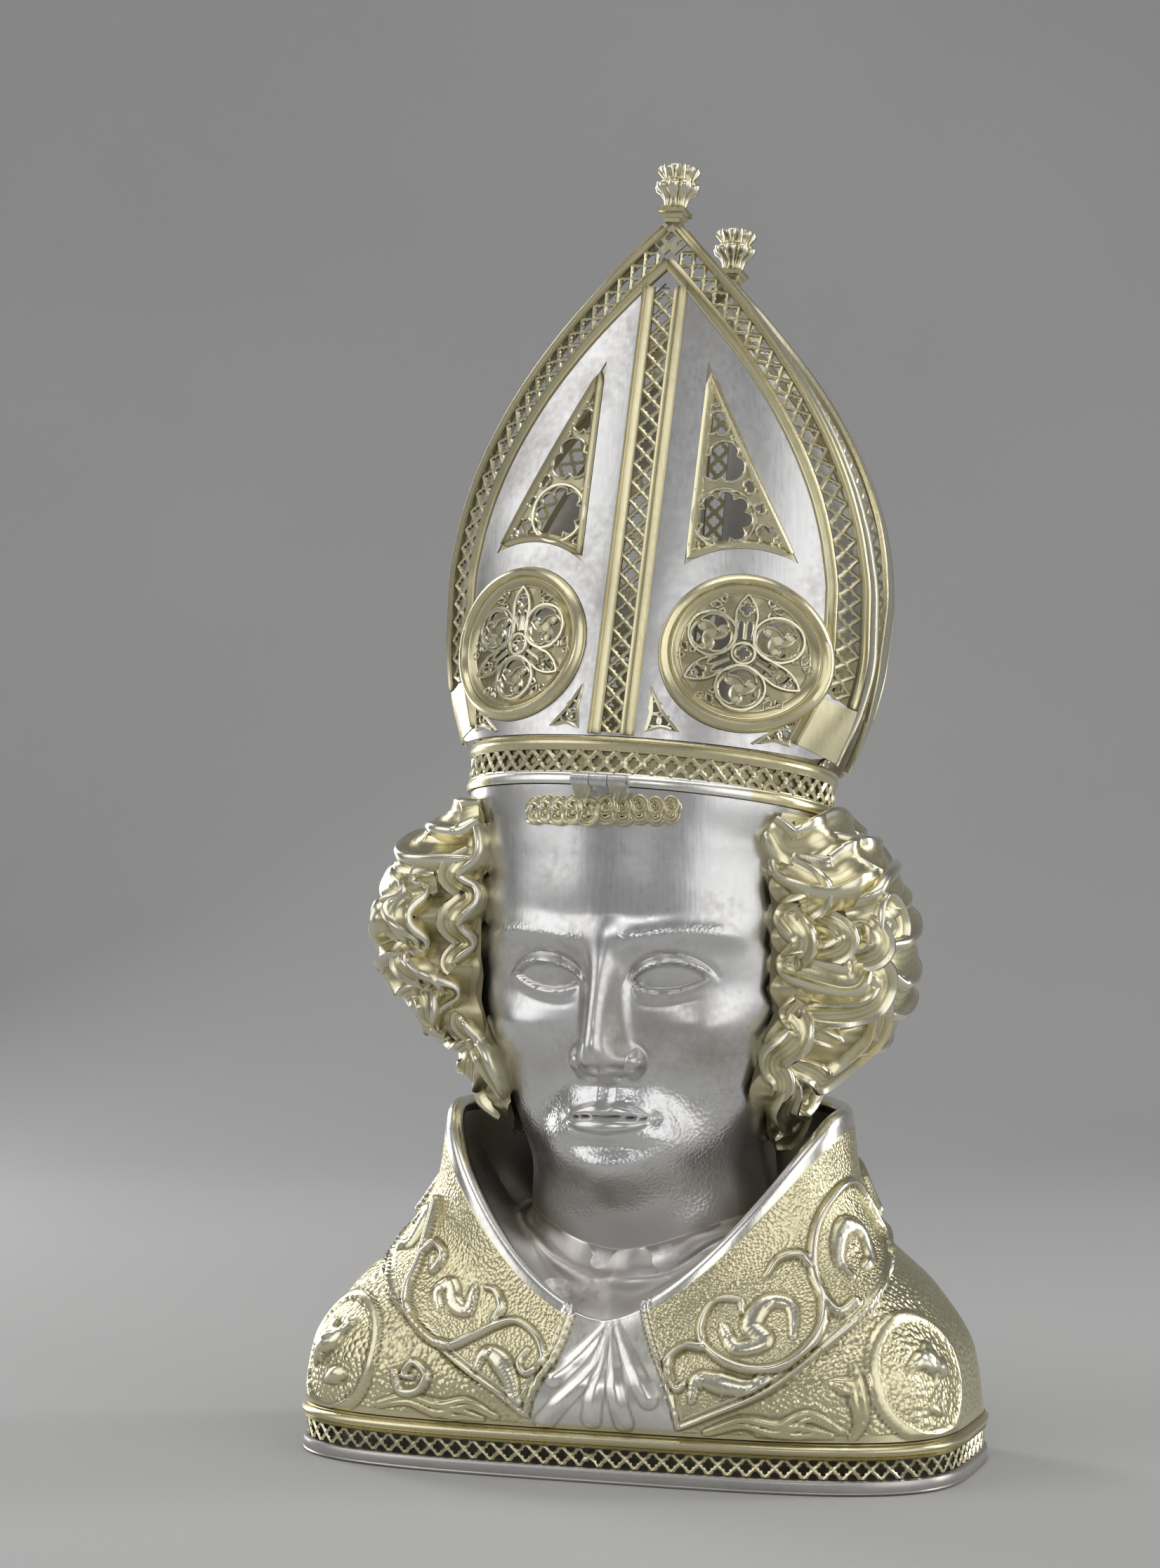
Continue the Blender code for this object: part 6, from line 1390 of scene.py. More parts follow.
@dataclass
class Head:
    """Face, neck and open crown in one shell, with the linen round the neck."""

    form: HeadForm
    collar: Collar
    wall: float = 0.0016
    columns: int = 330
    rows: int = 230

    def build(self) -> None:
        """Make the shell and the linen."""
        pace = -1 + 2 * np.arange(self.columns) / self.columns
        angle = np.pi * (0.52 * pace + 0.48 * pace ** 3)
        low, (_, high) = self.form.neck(angle), self.form.crown(angle)
        share = np.linspace(0, 1, self.rows)
        share = 0.75 * share + 0.25 * (0.5 - 0.5 * np.cos(np.pi * share))
        heights = low + (high - low) * share[:, None]
        outer = self.form.skin(np.broadcast_to(angle, heights.shape), heights)
        across = (outer[..., 0] - self.form.centre_x) / self.form.part
        level = (heights - self.form.chin_height) / self.form.part
        marks = self.face_marks(np.abs(across), level, np.abs(angle) * np.ones_like(level))
        ways = np.stack([np.sin(angle), -np.cos(angle), 0 * angle], axis=1)
        axis = np.array([self.form.centre_x, self.form.centre_y, 0])
        radius = np.hypot(outer[..., 0] - axis[0], outer[..., 1] - axis[1])
        rest = []
        edge, top = self.form.crown(angle)
        for height in (top, top - 2 * self.wall):
            lip = axis + ways * (edge - 2 * self.wall)[:, None]
            rest.append(lip + np.outer(height, [0, 0, 1]))
        for level_share in np.linspace(0.9, 0.0, 8):
            near = np.abs(share - level_share) < 0.09
            inner = axis + ways * (radius[near].min(axis=0) - self.wall)[:, None]
            rest.append(inner + np.outer(low + (high - low) * level_share, [0, 0, 1]))
        whole = np.vstack([outer, np.array(rest)])
        filled = {mark: np.vstack([value, np.zeros((len(rest), self.columns))]) for mark, value in marks.items()}
        form = Form()
        form.add(whole, quads(*whole.shape[:2], wrap=True, wrap_rows=True), **filled)
        place_piece("face_and_neck", form, Finish.SILVER, Body.BUST, ["head"], 70.0)
        self.build_linen()

    def face_marks(self, across: Array, level: Array, angle: Array) -> dict[str, Array]:
        """Stubble, brow hatching and painted shade on the neck under the chin, in the eye sockets and on the sides that
        turn away, by places on the face.

        Args:
            across: Parts from the middle of the face.
            level: Parts above the chin.
            angle: Angle from the front.

        Returns:
            The marks.
        """
        jaw = smoothstep(-14, -2, level) * (1 - smoothstep(30, 41, level - 0.16 * across))
        lips = ((across / 17) ** 2 + ((level - 27.8) / 6.5) ** 2) < 1
        stubble = jaw * (1 - smoothstep(math.radians(48), math.radians(66), angle)) * ~lips
        brow = 88.5 + 0.10 * across - 0.0042 * (across - 20) ** 2
        brows = np.clip(1 - np.abs(level - brow) / 2.4, 0, 1) * (across > 6) * (across < 39)
        # Painted shade: the neck under the chin, the eye sockets and the sides that turn away are darkened.
        neck = 1 - smoothstep(-12, 4, level)
        sockets = np.clip(1.3 - ((across - 21) / 15) ** 2 - ((level - 72) / 9) ** 2, 0, 1)
        sides = smoothstep(0.85, 1.10, angle)
        return {"punched": 0.42 * stubble + 0.55 * brows,
                "hollow": np.clip(0.95 * neck + 0.10 * stubble + 0.34 * sockets + 0.30 * sides, 0, 1)}

    def build_linen(self) -> None:
        """Make the folded linen between the neck and the collar."""
        angle = np.arange(260) / 260 * FULL_TURN
        share = np.linspace(0, 1, 40)[:, None, None]
        neck = self.form.skin(angle, self.form.neck(angle))
        edge = self.collar.edge(angle / FULL_TURN, self.collar.roll + 0.0003) - np.array([0, 0, 0.0004])
        down = np.outer(0.016 * np.abs(np.sin(angle)) + 0.004, [0, 0, 1])
        first = neck - 0.6 * down
        second = edge + 0.30 * (neck - edge) * np.array([1, 1, 0]) - 1.3 * down
        grid = ((1 - share) ** 3 * neck + 3 * (1 - share) ** 2 * share * first
                + 3 * (1 - share) * share ** 2 * second + share ** 3 * edge)
        normal = unit(np.cross(np.roll(grid, -1, 1) - np.roll(grid, 1, 1), -np.gradient(grid, axis=0)))
        s = share[..., 0]
        signed = (angle + np.pi) % FULL_TURN - np.pi
        fold = np.sin(7 * signed + 3 * s + 1.1 * np.sin(3 * signed)) + 0.45 * np.sin(12 * signed - 4 * s)
        depth = 0.0011 * fold * 4 * s * (1 - s)
        roll = 0.0013 * np.exp(-((s - 0.28 - 0.10 * np.cos(signed)) / 0.07) ** 2) * (np.cos(signed) > -0.2)
        outer = grid + normal * (depth + roll)[..., None]
        inner = grid - np.array([0, 0, 0.0014])
        whole = np.vstack([outer, inner[::-5]])
        form = Form()
        crest = np.clip(0.5 + 0.5 * fold, 0, 1) * 0.3
        marks = np.vstack([crest, np.zeros((len(inner[::-5]), 260))])
        form.add(whole, quads(*whole.shape[:2], wrap=True, flip=True, wrap_rows=True), crest=marks,
                 hollow=np.where(marks > 0, 0.70, 0.0))
        place_piece("linen_collar", form, Finish.LINEN, Body.BUST, ["head"], 70.0)


# Hair

# Locks as (degrees from the front, height in millimetres), viewer's right and left, with half width and rise
BROAD_LOCKS = {
    1: [[(60, 217), (65, 211), (73, 212), (84, 215), (97, 214)], [(63, 206), (68, 199), (74, 202), (82, 206), (96, 209)],
        [(74, 211), (82, 205), (92, 204), (105, 208)], [(72, 186), (81, 193), (92, 196), (107, 200)],
        [(77, 174), (85, 173), (96, 178), (109, 186)], [(76, 167), (83, 160), (95, 163), (111, 171)],
        [(79, 153), (89, 151), (101, 156), (113, 160)], [(85, 140), (98, 142), (113, 149)]],
    -1: [[(57, 222), (65, 219), (74, 219), (87, 221)], [(58, 209), (68, 207), (75, 211), (87, 215), (101, 213)],
         [(64, 199), (72, 198), (78, 205), (90, 209)], [(74, 195), (79, 198), (90, 202), (106, 204)],
         [(75, 182), (84, 184), (98, 188), (112, 192)], [(78, 176), (88, 175), (101, 177), (113, 180)],
         [(80, 168), (90, 166), (104, 168), (113, 168)], [(85, 152), (96, 151), (109, 153)]],
}
RIBBON_LOCKS = {
    1: [[(65, 195), (68, 187), (69, 178), (65, 172), (66, 167), (70, 165), (74, 170), (76, 164), (73, 157), (68, 154),
         (66, 149), (71, 146)],
        [(76, 169), (78, 158), (83, 147), (85, 138), (80, 133), (74, 135), (68, 140)],
        [(69, 132), (75, 121), (85, 117), (93, 122), (96, 131)], [(90, 124), (90, 114), (83, 110)],
        [(74, 185), (74, 177), (71, 173)], [(76, 180), (79, 190), (83, 183), (79, 176)],
        [(65, 214), (64, 204), (67, 194), (64, 184), (65, 174), (64, 166)],
        [(65, 160), (66, 151), (64, 142), (67, 133), (68, 127)]],
    -1: [[(65, 198), (70, 190), (67, 182), (69, 175), (74, 172), (77, 170), (77, 163), (74, 158), (68, 160), (63, 156)],
         [(78, 169), (85, 160), (85, 150), (82, 142), (73, 139), (63, 143)],
         [(83, 137), (79, 130), (72, 130), (66, 136), (72, 141)], [(83, 131), (84, 122), (78, 116)],
         [(73, 190), (70, 184), (74, 179)], [(74, 153), (78, 148), (74, 145)],
         [(59, 219), (58, 209), (61, 199), (59, 188), (61, 177), (60, 168)],
         [(61, 152), (63, 143), (60, 134), (63, 124)],
         [(66, 207), (68, 196), (65, 185), (67, 174), (64, 163), (65, 153)],
         [(70, 205), (74, 199), (71, 194), (75, 188), (80, 190)], [(67, 170), (64, 165), (68, 160), (66, 153), (70, 148)]],
}
# Section of a lock as shares of its half width and rise: two rims, a hollow top and a sheer edge
LOCK_SECTION = [(-1.0, -0.9), (-1.0, 0.05), (-0.90, 0.50), (-0.72, 0.66), (-0.52, 0.52), (-0.30, 0.44), (-0.16, 0.52),
                (-0.02, 0.48), (0.16, 0.60), (0.32, 0.58), (0.52, 0.80), (0.70, 1.0), (0.88, 0.94), (1.0, 0.50),
                (1.04, -0.2), (1.0, -0.9)]
LOCK_CREST = [0, 0, 0.35, 0.55, 0.25, 0.0, 0.2, 0.0, 0.2, 0.05, 0.4, 1.0, 0.9, 0.2, 0, 0]
# Darkness along the section: painted shade on the sheer sides where the lock sinks into the mass, and tarnish with
# painted shade in its grooves.
LOCK_TARNISH_AND_SHADE = [1, 0.9, 0.25, 0, 0.1, 0.4, 0.1, 0.35, 0.1, 0.3, 0.0, 0, 0, 0.3, 0.9, 1]


@dataclass
class Hair:
    """Curled hair round the sides and back, lock over lock."""

    form: HeadForm
    start_left: float = 57.0
    start_right: float = 61.0
    gap: float = 0.0018
    sunk: float = 0.0034
    broad: Place = (0.0086, 0.0066)
    ribbon: Place = (0.0056, 0.0056)
    columns: int = 260
    rows: int = 110
    left: Sequence[Place] = ((0.1060, 0.0040), (0.1260, 0.0110), (0.1380, 0.0115), (0.1500, 0.0200), (0.1650, 0.0290),
                             (0.1820, 0.0345), (0.1950, 0.0300), (0.2080, 0.0230), (0.2200, 0.0090), (0.2290, 0.0030))
    right: Sequence[Place] = ((0.1060, 0.0050), (0.1260, 0.0120), (0.1380, 0.0190), (0.1480, 0.0265), (0.1620, 0.0305),
                              (0.1780, 0.0315), (0.1920, 0.0300), (0.2050, 0.0220), (0.2160, 0.0090), (0.2290, 0.0030))
    back: Sequence[Place] = ((0.1120, 0.0020), (0.1260, 0.0060), (0.1450, 0.0140), (0.1700, 0.0205), (0.1950, 0.0175),
                             (0.2100, 0.0100), (0.2290, 0.0030))

    def start(self, side: Array, height: Array) -> Array:
        """Degrees from the front at which the hair begins, wavering with the height."""
        base = np.where(side > 0, self.start_right, self.start_left)
        return base + 2.2 * np.sin(FULL_TURN * height / 0.017 + side) + 7.0 * smoothstep(0.126, 0.106, height)

    def body(self, degrees: Array, height: Array) -> Array:
        """Depth of the hair over the head."""
        angle = np.radians(degrees)
        flank = np.where(degrees > 0, ease_through(self.right, height), ease_through(self.left, height))
        behind = ease_through(self.back, height)
        share = np.where(np.abs(degrees) > 90, smoothstep(0.25, 0.85, np.abs(np.sin(angle))), 1.0)
        near_face = smoothstep(-3.0, 15.0, np.abs(degrees) - self.start(np.sign(degrees), height))
        depth = behind + (flank - behind) * share
        return 0.0012 + (depth - 0.0012) * near_face

    def bounds(self, degrees: Array) -> tuple[Array, Array]:
        """Lowest and highest height of the hair."""
        _, crown = self.form.crown(np.radians(degrees))
        away = np.abs(degrees)
        low = 0.1080 + 0.0190 * smoothstep(84, 130, away) + 0.0140 * smoothstep(72, 57, away)
        return low + 0.0022 * np.sin(np.radians(degrees) * 13), crown - 0.0035

    def mass(self, degrees: Array, height: Array, lift: Union[Array, float] = 0.0) -> Array:
        """Points on the mass under the locks, or lifted from it."""
        depth = self.body(degrees, height)
        sunk = np.minimum(self.sunk, 0.5 * depth)
        return self.form.skin(np.radians(degrees), height, self.gap + depth - sunk + lift)

    def lay_lock(self, form: Form, places: Sequence[Place], size: Place, side: int) -> None:
        """Lay one lock along its places.

        Args:
            form: The mesh that it joins.
            places: (degrees from the front, millimetres) along the lock.
            size: Its half width and rise.
            side: 1 on the viewer's right, -1 on the left.
        """
        path = wander(places, 11 * len(places))
        degrees, height = side * path[:, 0], path[:, 1] / 1000
        share = np.linspace(0, 1, len(path))
        sink = -0.0012 * (1 - np.sin(np.pi * np.clip(share, 0.0, 1.0)) ** 0.4)
        line = self.mass(degrees, height, sink)
        across = self.mass(degrees + 1.0, height) - self.mass(degrees - 1.0, height)
        climb = self.mass(degrees, height + 0.001) - self.mass(degrees, height - 0.001)
        outs = unit(np.cross(across, climb))
        outs = unit(np.array([np.convolve(np.pad(axis, 3, "edge"), np.ones(7) / 7, "valid") for axis in outs.T]).T)
        taper = 0.30 + 0.70 * np.sin(np.pi * np.clip(0.04 + 0.92 * share, 0, 1)) ** 0.55
        section = [(x * size[0], y * size[1]) for x, y in LOCK_SECTION]
        count = len(path)
        swept(form, line, outs, section, scale=taper, crest=np.tile(LOCK_CREST, count),
              hollow=np.tile(LOCK_TARNISH_AND_SHADE, count))

    def build(self) -> None:
        """Make the mass and its locks."""
        form = Form()
        self.build_mass(form)
        for side in (1, -1):
            for number, level in enumerate((213, 201, 189, 177, 165, 153, 142, 132)):
                steps = np.arange(7)
                lock = list(zip(97 + 14.5 * steps, level - 1.2 * steps + 3.4 * np.cos(np.pi * (steps + number))))
                self.lay_lock(form, lock, self.broad, side)
            for lock in BROAD_LOCKS[side]:
                self.lay_lock(form, lock, self.broad, side)
            for lock in RIBBON_LOCKS[side]:
                self.lay_lock(form, lock, self.ribbon, side)
        place_piece("curled_hair", form, Finish.GILT, Body.BUST, ["hair"], 60.0)

    def build_mass(self, form: Form) -> None:
        """Make the combed mass under the locks."""
        share = np.linspace(0, 1, self.rows)[:, None]
        pace = np.linspace(0, 2, self.columns)
        side = np.where(pace < 1, 1.0, -1.0)
        reach = np.where(pace < 1, pace, 2 - pace) ** 1.3
        rough = side * (55 + 125 * reach)
        low, high = self.bounds(rough)
        heights = low + (high - low) * share
        begin = self.start(side[None, :], heights)
        degrees = side * (begin + (180 - begin) * reach)
        combed = 0.00035 * np.sin(FULL_TURN * (heights / 0.0034 + 0.03 * np.abs(degrees)))
        fade = smoothstep(0.0, 0.1, np.minimum(reach + 0 * share, share * (1 - share) * 8))
        outer = self.mass(degrees, heights, combed * fade)
        inner = self.form.skin(np.radians(degrees[::-8]), heights[::-8], self.gap)
        whole = np.vstack([outer, inner])
        rows, columns = whole.shape[:2]
        faces = [list(face) for face in quads(rows, columns, wrap=False, wrap_rows=True)]
        faces.append([row * columns for row in reversed(range(rows))])
        faces.append([row * columns + columns - 1 for row in range(rows)])
        # The mass is marked dark: painted shade between and under the locks.
        form.add(whole, faces, hollow=0.8)


@dataclass
class Forelock:
    """Two rows of small curls across the top of the forehead."""

    form: HeadForm
    left: float = -0.0270
    right: float = 0.0285
    middle: float = 0.2222
    curls: int = 10
    strand: Place = (0.0016, 0.0021)

    def lay(self, form: Form, places: Sequence[Place]) -> None:
        """Lay one strand.

        Args:
            form: The mesh that it joins.
            places: (across, height over the middle) in millimetres.
        """
        path = wander(places, 8 * len(places)) / 1000
        turn = np.arctan2(path[:, 0] - self.form.centre_x, 0.0505)
        line = self.form.skin(turn, self.middle + path[:, 1], 0.0007)
        outs = np.stack([np.sin(turn), -np.cos(turn), 0 * turn], axis=1)
        taper = 0.35 + 0.65 * np.sin(np.pi * np.linspace(0.03, 0.97, len(path))) ** 0.5
        width, rise = self.strand
        section = [(x * width, y * rise) for x, y in LOCK_SECTION]
        swept(form, line, outs, section, scale=taper, crest=np.tile(LOCK_CREST, len(path)),
              hollow=np.tile(LOCK_TARNISH_AND_SHADE, len(path)))

    def build(self) -> None:
        """Make the curls, leaning away from the middle."""
        form = Form()
        pitch = 1000 * (self.right - self.left) / self.curls
        for k in range(self.curls):
            x = 1000 * self.left + (k + 0.5) * pitch
            hand = -1 if k < self.curls / 2 else 1
            size = 1.0 - 0.16 * abs(2 * k - self.curls + 1) / self.curls
            hook = [(-2.2, 3.4), (0.2, 4.6), (2.2, 3.0), (1.6, 0.8), (-0.6, 0.2), (-1.0, 1.8), (0.4, 2.2)]
            tail = [(-2.6, 1.6), (-2.4, -1.4), (-0.2, -3.4), (2.4, -2.6), (2.6, -0.6), (0.9, -0.4), (0.6, -1.6)]
            back = [(2.9, 3.9), (3.2, 1.2), (2.9, -1.0)]
            for stroke in (back, hook, tail):
                self.lay(form, [(x + hand * size * px, size * pz + 0.4 * (k % 2)) for px, pz in stroke])
        place_piece("forelock_curls", form, Finish.GILT, Body.BUST, ["forelock"], 60.0)


# Mitre

FRONT_AND_BACK = (("front", False), ("back", True))
LEFT_AND_RIGHT = (("left", -1), ("right", 1))


@dataclass
class MitreRim:
    """Upright ring under the panels: bead, lattice and moulding, with a later silver strip in front."""

    frame: MitreFrame
    lattice: LatticeBand = field(default_factory=lambda: LatticeBand(foil=0.0019))
    height: float = 0.0165
    bead: float = 0.0045
    moulding: float = 0.0050
    wall: float = 0.0012
    proud: float = 0.0013
    columns: int = 240

    def ring(self, angle: Array, outset: Union[Array, float], height: Union[Array, float]) -> Array:
        """Points round the rim, moved outwards by outset."""
        x = (self.frame.half_width + outset) * np.sin(angle)
        y = -(self.frame.half_depth + outset) * np.cos(angle)
        return self.frame.world(np.stack([x, y, np.broadcast_to(height, x.shape)], axis=-1))

    def build(self) -> None:
        """Make the ring and lay its lattice."""
        angle = (np.arange(self.columns) + 0.5) / self.columns * FULL_TURN
        low, top, bead, proud, wall = self.height - self.moulding, self.height, self.bead, self.proud, self.wall
        profile = [(0.1 * proud, top), (0.5 * proud, top - 0.0002), (0.9 * proud, top - 0.0009),
                   (0.45 * proud, top - 0.0017), (0.8 * proud, top - 0.0020), (proud, top - 0.0029),
                   (0.7 * proud, top - 0.0040), (0.2 * proud, low + 0.0003), (0.1 * proud, low), (-wall, low),
                   (-wall, bead), (0.1 * proud, bead), (0.15 * proud, bead - 0.0003), (0.45 * proud, bead - 0.0007),
                   (0.45 * proud, bead - 0.0011), (0.75 * proud, bead - 0.0016), (0.95 * proud, bead - 0.0025),
                   (0.85 * proud, 0.0008), (0.6 * proud, 0.0), (-2 * wall, 0.0), (-2 * wall, bead),
                   (-wall - 0.0003, top)]
        grid = np.array([self.ring(angle, *place) for place in profile])
        signed = (angle + np.pi) % FULL_TURN - np.pi
        strip = (np.abs(signed - 0.02) < 0.78)[None, :] * (np.arange(len(profile))[:, None] > 11)
        # Rows 9 and 10, the set-back wall behind the lattice, are marked dark: painted shade.
        painted_shade_behind_lattice = np.isin(np.arange(len(profile)), [9, 10])[:, None] * np.ones(self.columns)
        form = Form()
        form.add(grid, quads(len(profile), self.columns, True, True, True), silver=1.0 * strip, hollow=painted_shade_behind_lattice)
        length = FULL_TURN * math.sqrt((self.frame.half_width ** 2 + self.frame.half_depth ** 2) / 2)
        dense = np.linspace(0, FULL_TURN, 2001)
        steps = np.linalg.norm(np.diff(self.ring(dense, 0.0, 0.0), axis=0), axis=1)
        paced = np.concatenate([[0], np.cumsum(steps)]) / steps.sum()

        def wrap(share: Array, h: Array, out: Array) -> Array:
            """Stand the lattice up round the ring."""
            return self.ring(np.interp(share, paced, dense), out - 0.0002, bead + h)

        self.lattice.lay(form, wrap, length, low - bead)
        place_piece("mitre_rim_ring", form, Finish.GILT, Body.MITRE, ["mitre_rim"], 35.0)


@dataclass
class MitrePanel:
    """One tall pointed side of the mitre, wrapped round its belly, with bands, windows and finial."""

    frame: MitreFrame
    name: str
    flip: bool
    lattice: LatticeBand = field(default_factory=LatticeBand)
    foot: float = 0.0171
    height: float = 0.1985
    sheet: float = 0.0013
    depth_low: float = 0.0500
    depth_high: float = 0.0375
    top_spread: float = 0.0390
    flange: float = 0.0085
    edge_lattice: float = 0.0065
    outer_moulding: float = 0.0032
    inner_moulding: float = 0.0042
    strip_lattice: float = 0.0068
    strip_moulding: float = 0.0048
    band_foot: float = 0.0360
    rosette_centre: Place = (0.0400, 0.0490)
    rosette_radius: float = 0.0270
    window_arc: float = 0.0360
    window_inner: float = 0.0185
    window_outer: float = 0.0540
    window_top: float = 0.1485

    def half_width(self, up: Array) -> Array:
        """Half of the breadth at a height."""
        places = [(0.0, 0.0620), (0.018, 0.0693), (0.036, 0.0752), (0.0560, 0.0780), (0.074, 0.0778), (0.090, 0.0755),
                  (0.105, 0.0715), (0.120, 0.0655), (0.140, 0.0545), (0.160, 0.0400), (0.180, 0.0222),
                  (self.height, 0.0042)]
        return ease_through(places, up)

    def depths(self, up: Array) -> tuple[Array, Array]:
        """Depth of the middle and of the edges from the mitre's middle plane."""
        share = (up - 0.0165) / (self.height - 0.0165)
        middle = self.depth_low + (self.depth_high - self.depth_low) * np.clip(share, 0, 1)
        spread = 0.0008 + self.top_spread * np.clip((up - 0.018) / (self.height - 0.018), 0, 1) ** 0.9
        return middle, np.minimum(spread, middle)

    def flat_surface(self, across: Array, up: Array) -> Array:
        """Places on the face in the mitre's own directions."""
        middle, spread = self.depths(up)
        share = np.clip(np.abs(across) / self.half_width(up), 0, 1.08)
        round_share = np.sqrt(np.clip(1 - share * share, 0, 1))
        soft_share = 1 - share ** 2.1
        bulge = soft_share + (round_share - soft_share) * (1 - smoothstep(0.004, 0.060, up))
        return np.stack([across, -(spread + (middle - spread) * bulge), up], axis=-1)

    def normal(self, across: Array, up: Array) -> Array:
        """Outward directions in the mitre's own directions."""
        step = 0.0006
        along = self.flat_surface(across + step, up) - self.flat_surface(across - step, up)
        climb = self.flat_surface(across, up + step) - self.flat_surface(across, up - step)
        return unit(np.cross(along, climb))

    def turned(self, local: Array) -> Array:
        """World points of places in the panel's directions."""
        return self.frame.world(local * np.array([-1, -1, 1]) if self.flip else local)

    def wrap(self, across: Array, up: Array, out: Union[Array, float] = 0.0) -> Array:
        """Wrap flat places on the panel, raised by out."""
        across, up, out = np.broadcast_arrays(*(np.asarray(v, float) for v in (across, up, out)))
        return self.turned(self.flat_surface(across, up) + self.normal(across, up) * out[..., None])

    def run(self, form: Form, path: Array, profile: Sequence[Place], closed: bool = False,
            scale: Optional[Array] = None, **marks: float) -> None:
        """Sweep a moulding along a flat path on the panel."""
        line = self.wrap(path[:, 0], path[:, 1])
        outs = self.wrap(path[:, 0], path[:, 1], 0.001) - line
        swept(form, line, outs, profile, closed, scale, **marks)

    def edge_path(self, inset: float, heights: Array, side: int) -> Array:
        """Flat path beside the panel's edge."""
        step = 0.0005
        slope = (self.half_width(heights + step) - self.half_width(heights - step)) / (2 * step)
        inward = unit(np.stack([-np.ones_like(slope), slope], axis=1))
        path = np.stack([self.half_width(heights) - 0.0012, heights], axis=1) + inset * inward
        return path * (side, 1)

    def window(self, side: int, grow: float = 0.0, arc_points: int = 20) -> Array:
        """Pointed window: upright inside, a slope outside and an arc round the rosette below."""
        centre = np.array(self.rosette_centre)
        radius = self.window_arc - grow
        inner, outer = self.window_inner - grow, self.window_outer + 1.6 * grow
        ends = [math.acos((x - centre[0]) / radius) for x in (inner, outer)]
        arc = [centre + radius * np.array([math.cos(a), math.sin(a)]) for a in np.linspace(*ends, arc_points)]
        top = self.window_top + 3.0 * grow
        slope = [(inner + (arc[-1][0] - inner) * s, top + (arc[-1][1] - top) * s) for s in np.linspace(0.92, 0, 24)]
        upright = [(inner, top + (arc[0][1] - top) * s) for s in np.linspace(0.04, 0.96, 24)]
        outline = np.array([arc[-1], *slope, *upright, *arc[:-1]])
        return outline if side > 0 else outline[::-1] * (-1, 1)

    def spandrel(self, side: int, spots: Sequence[Place]) -> Array:
        """Three-sided opening in a corner, with sides that bow inwards."""
        outline = []
        middle = np.mean(spots, axis=0)
        for a, b in zip(np.array(spots), np.roll(spots, -1, axis=0)):
            for s in np.linspace(0, 1, 8)[:-1]:
                spot = a + (b - a) * s
                outline.append(spot + (middle - spot) * 0.30 * math.sin(math.pi * s))
        ordered = np.array(outline)
        return ordered if side > 0 else ordered[::-1] * (-1, 1)

    def spandrels(self, side: int) -> list[Array]:
        """The two corner openings of one side."""
        return [self.spandrel(side, [(0.0120, 0.0345), (0.0120, 0.0195), (0.0225, 0.0200)]),
                self.spandrel(side, [(0.0455, 0.0188), (0.0560, 0.0200), (0.0612, 0.0350)])]

    def build(self) -> None:
        """Make the sheet, its bands and windows and the finial."""
        self.build_sheet()
        self.build_bands()
        for side_name, side in LEFT_AND_RIGHT:
            Rosette(self, side_name, side).build()
            Tracery(self, side_name, side).build()
        Finial(self).build()

    def build_sheet(self) -> None:
        """Make the silver sheet between the bands."""
        band = self.outer_moulding + self.edge_lattice + 0.5 * self.inner_moulding
        low = np.linspace(self.foot, self.band_foot, 8)
        right = self.edge_path(0.0030, low, 1)
        inner = self.edge_path(band, np.linspace(self.band_foot + 0.003, 0.1830, 60), 1)
        inner = inner[inner[:, 0] > 0.0004]
        top = np.array([(0.0, inner[-1, 1] + 0.0006)])
        edge = np.vstack([right, inner])
        foot_x = np.linspace(-right[0, 0], right[0, 0], 46)[1:-1]
        outline = np.vstack([edge, top, edge[::-1] * (-1, 1), np.stack([foot_x, np.full(44, self.foot)], axis=1)])
        half = self.strip_lattice / 2 + 0.0004
        strip_top = 0.1730
        steps = np.linspace(self.foot + 0.0012, strip_top, 56)
        slot = np.vstack([np.stack([np.full(56, half), steps], 1), [(0.0, strip_top + 0.004)],
                          np.stack([np.full(56, -half), steps[::-1]], 1)])
        holes = [slot[::-1]]
        for side in (-1, 1):
            centre = (side * self.rosette_centre[0], self.rosette_centre[1])
            holes.append(ring_of(centre, self.rosette_radius + 0.0002, 72)[::-1])
            holes.append(self.window(side, 0.0002)[::-1])
            holes += [spandrel[::-1] for spandrel in self.spandrels(side)]
        grid = np.stack(np.meshgrid(np.arange(-0.075, 0.0755, 0.0030), np.arange(0.019, 0.186, 0.0030)), -1)
        spots = grid.reshape(-1, 2)
        keep = in_outline(spots, outline)
        for loop in [outline, *holes]:
            away = np.hypot(spots[:, None, 0] - loop[None, :, 0], spots[:, None, 1] - loop[None, :, 1])
            keep &= away.min(axis=1) > 0.0014
        for hole in holes:
            keep &= ~in_outline(spots, hole)
        cut = FlatCut.fill(outline, holes, spots[keep])
        edge_gap = np.full(len(cut.places), np.inf)
        for loop in [outline, *holes]:
            gap = np.hypot(cut.places[:, None, 0] - loop[None, :, 0], cut.places[:, None, 1] - loop[None, :, 1])
            edge_gap = np.minimum(edge_gap, gap.min(axis=1))
        form = Form()
        # Within 4 mm of every edge and opening the sheet is darkened: painted shade beside the bands and frames that
        # stand over it, with tarnish.
        cut.plate(form, self.wrap, np.zeros(len(cut.places)), -self.sheet,
                  hollow=0.45 * np.clip(1 - edge_gap / 0.004, 0, 1))
        place_piece("mitre_" + self.name + "_sheet", form, Finish.SILVER, Body.MITRE,
                    ["mitre_" + self.name + "_panel"], 35.0)

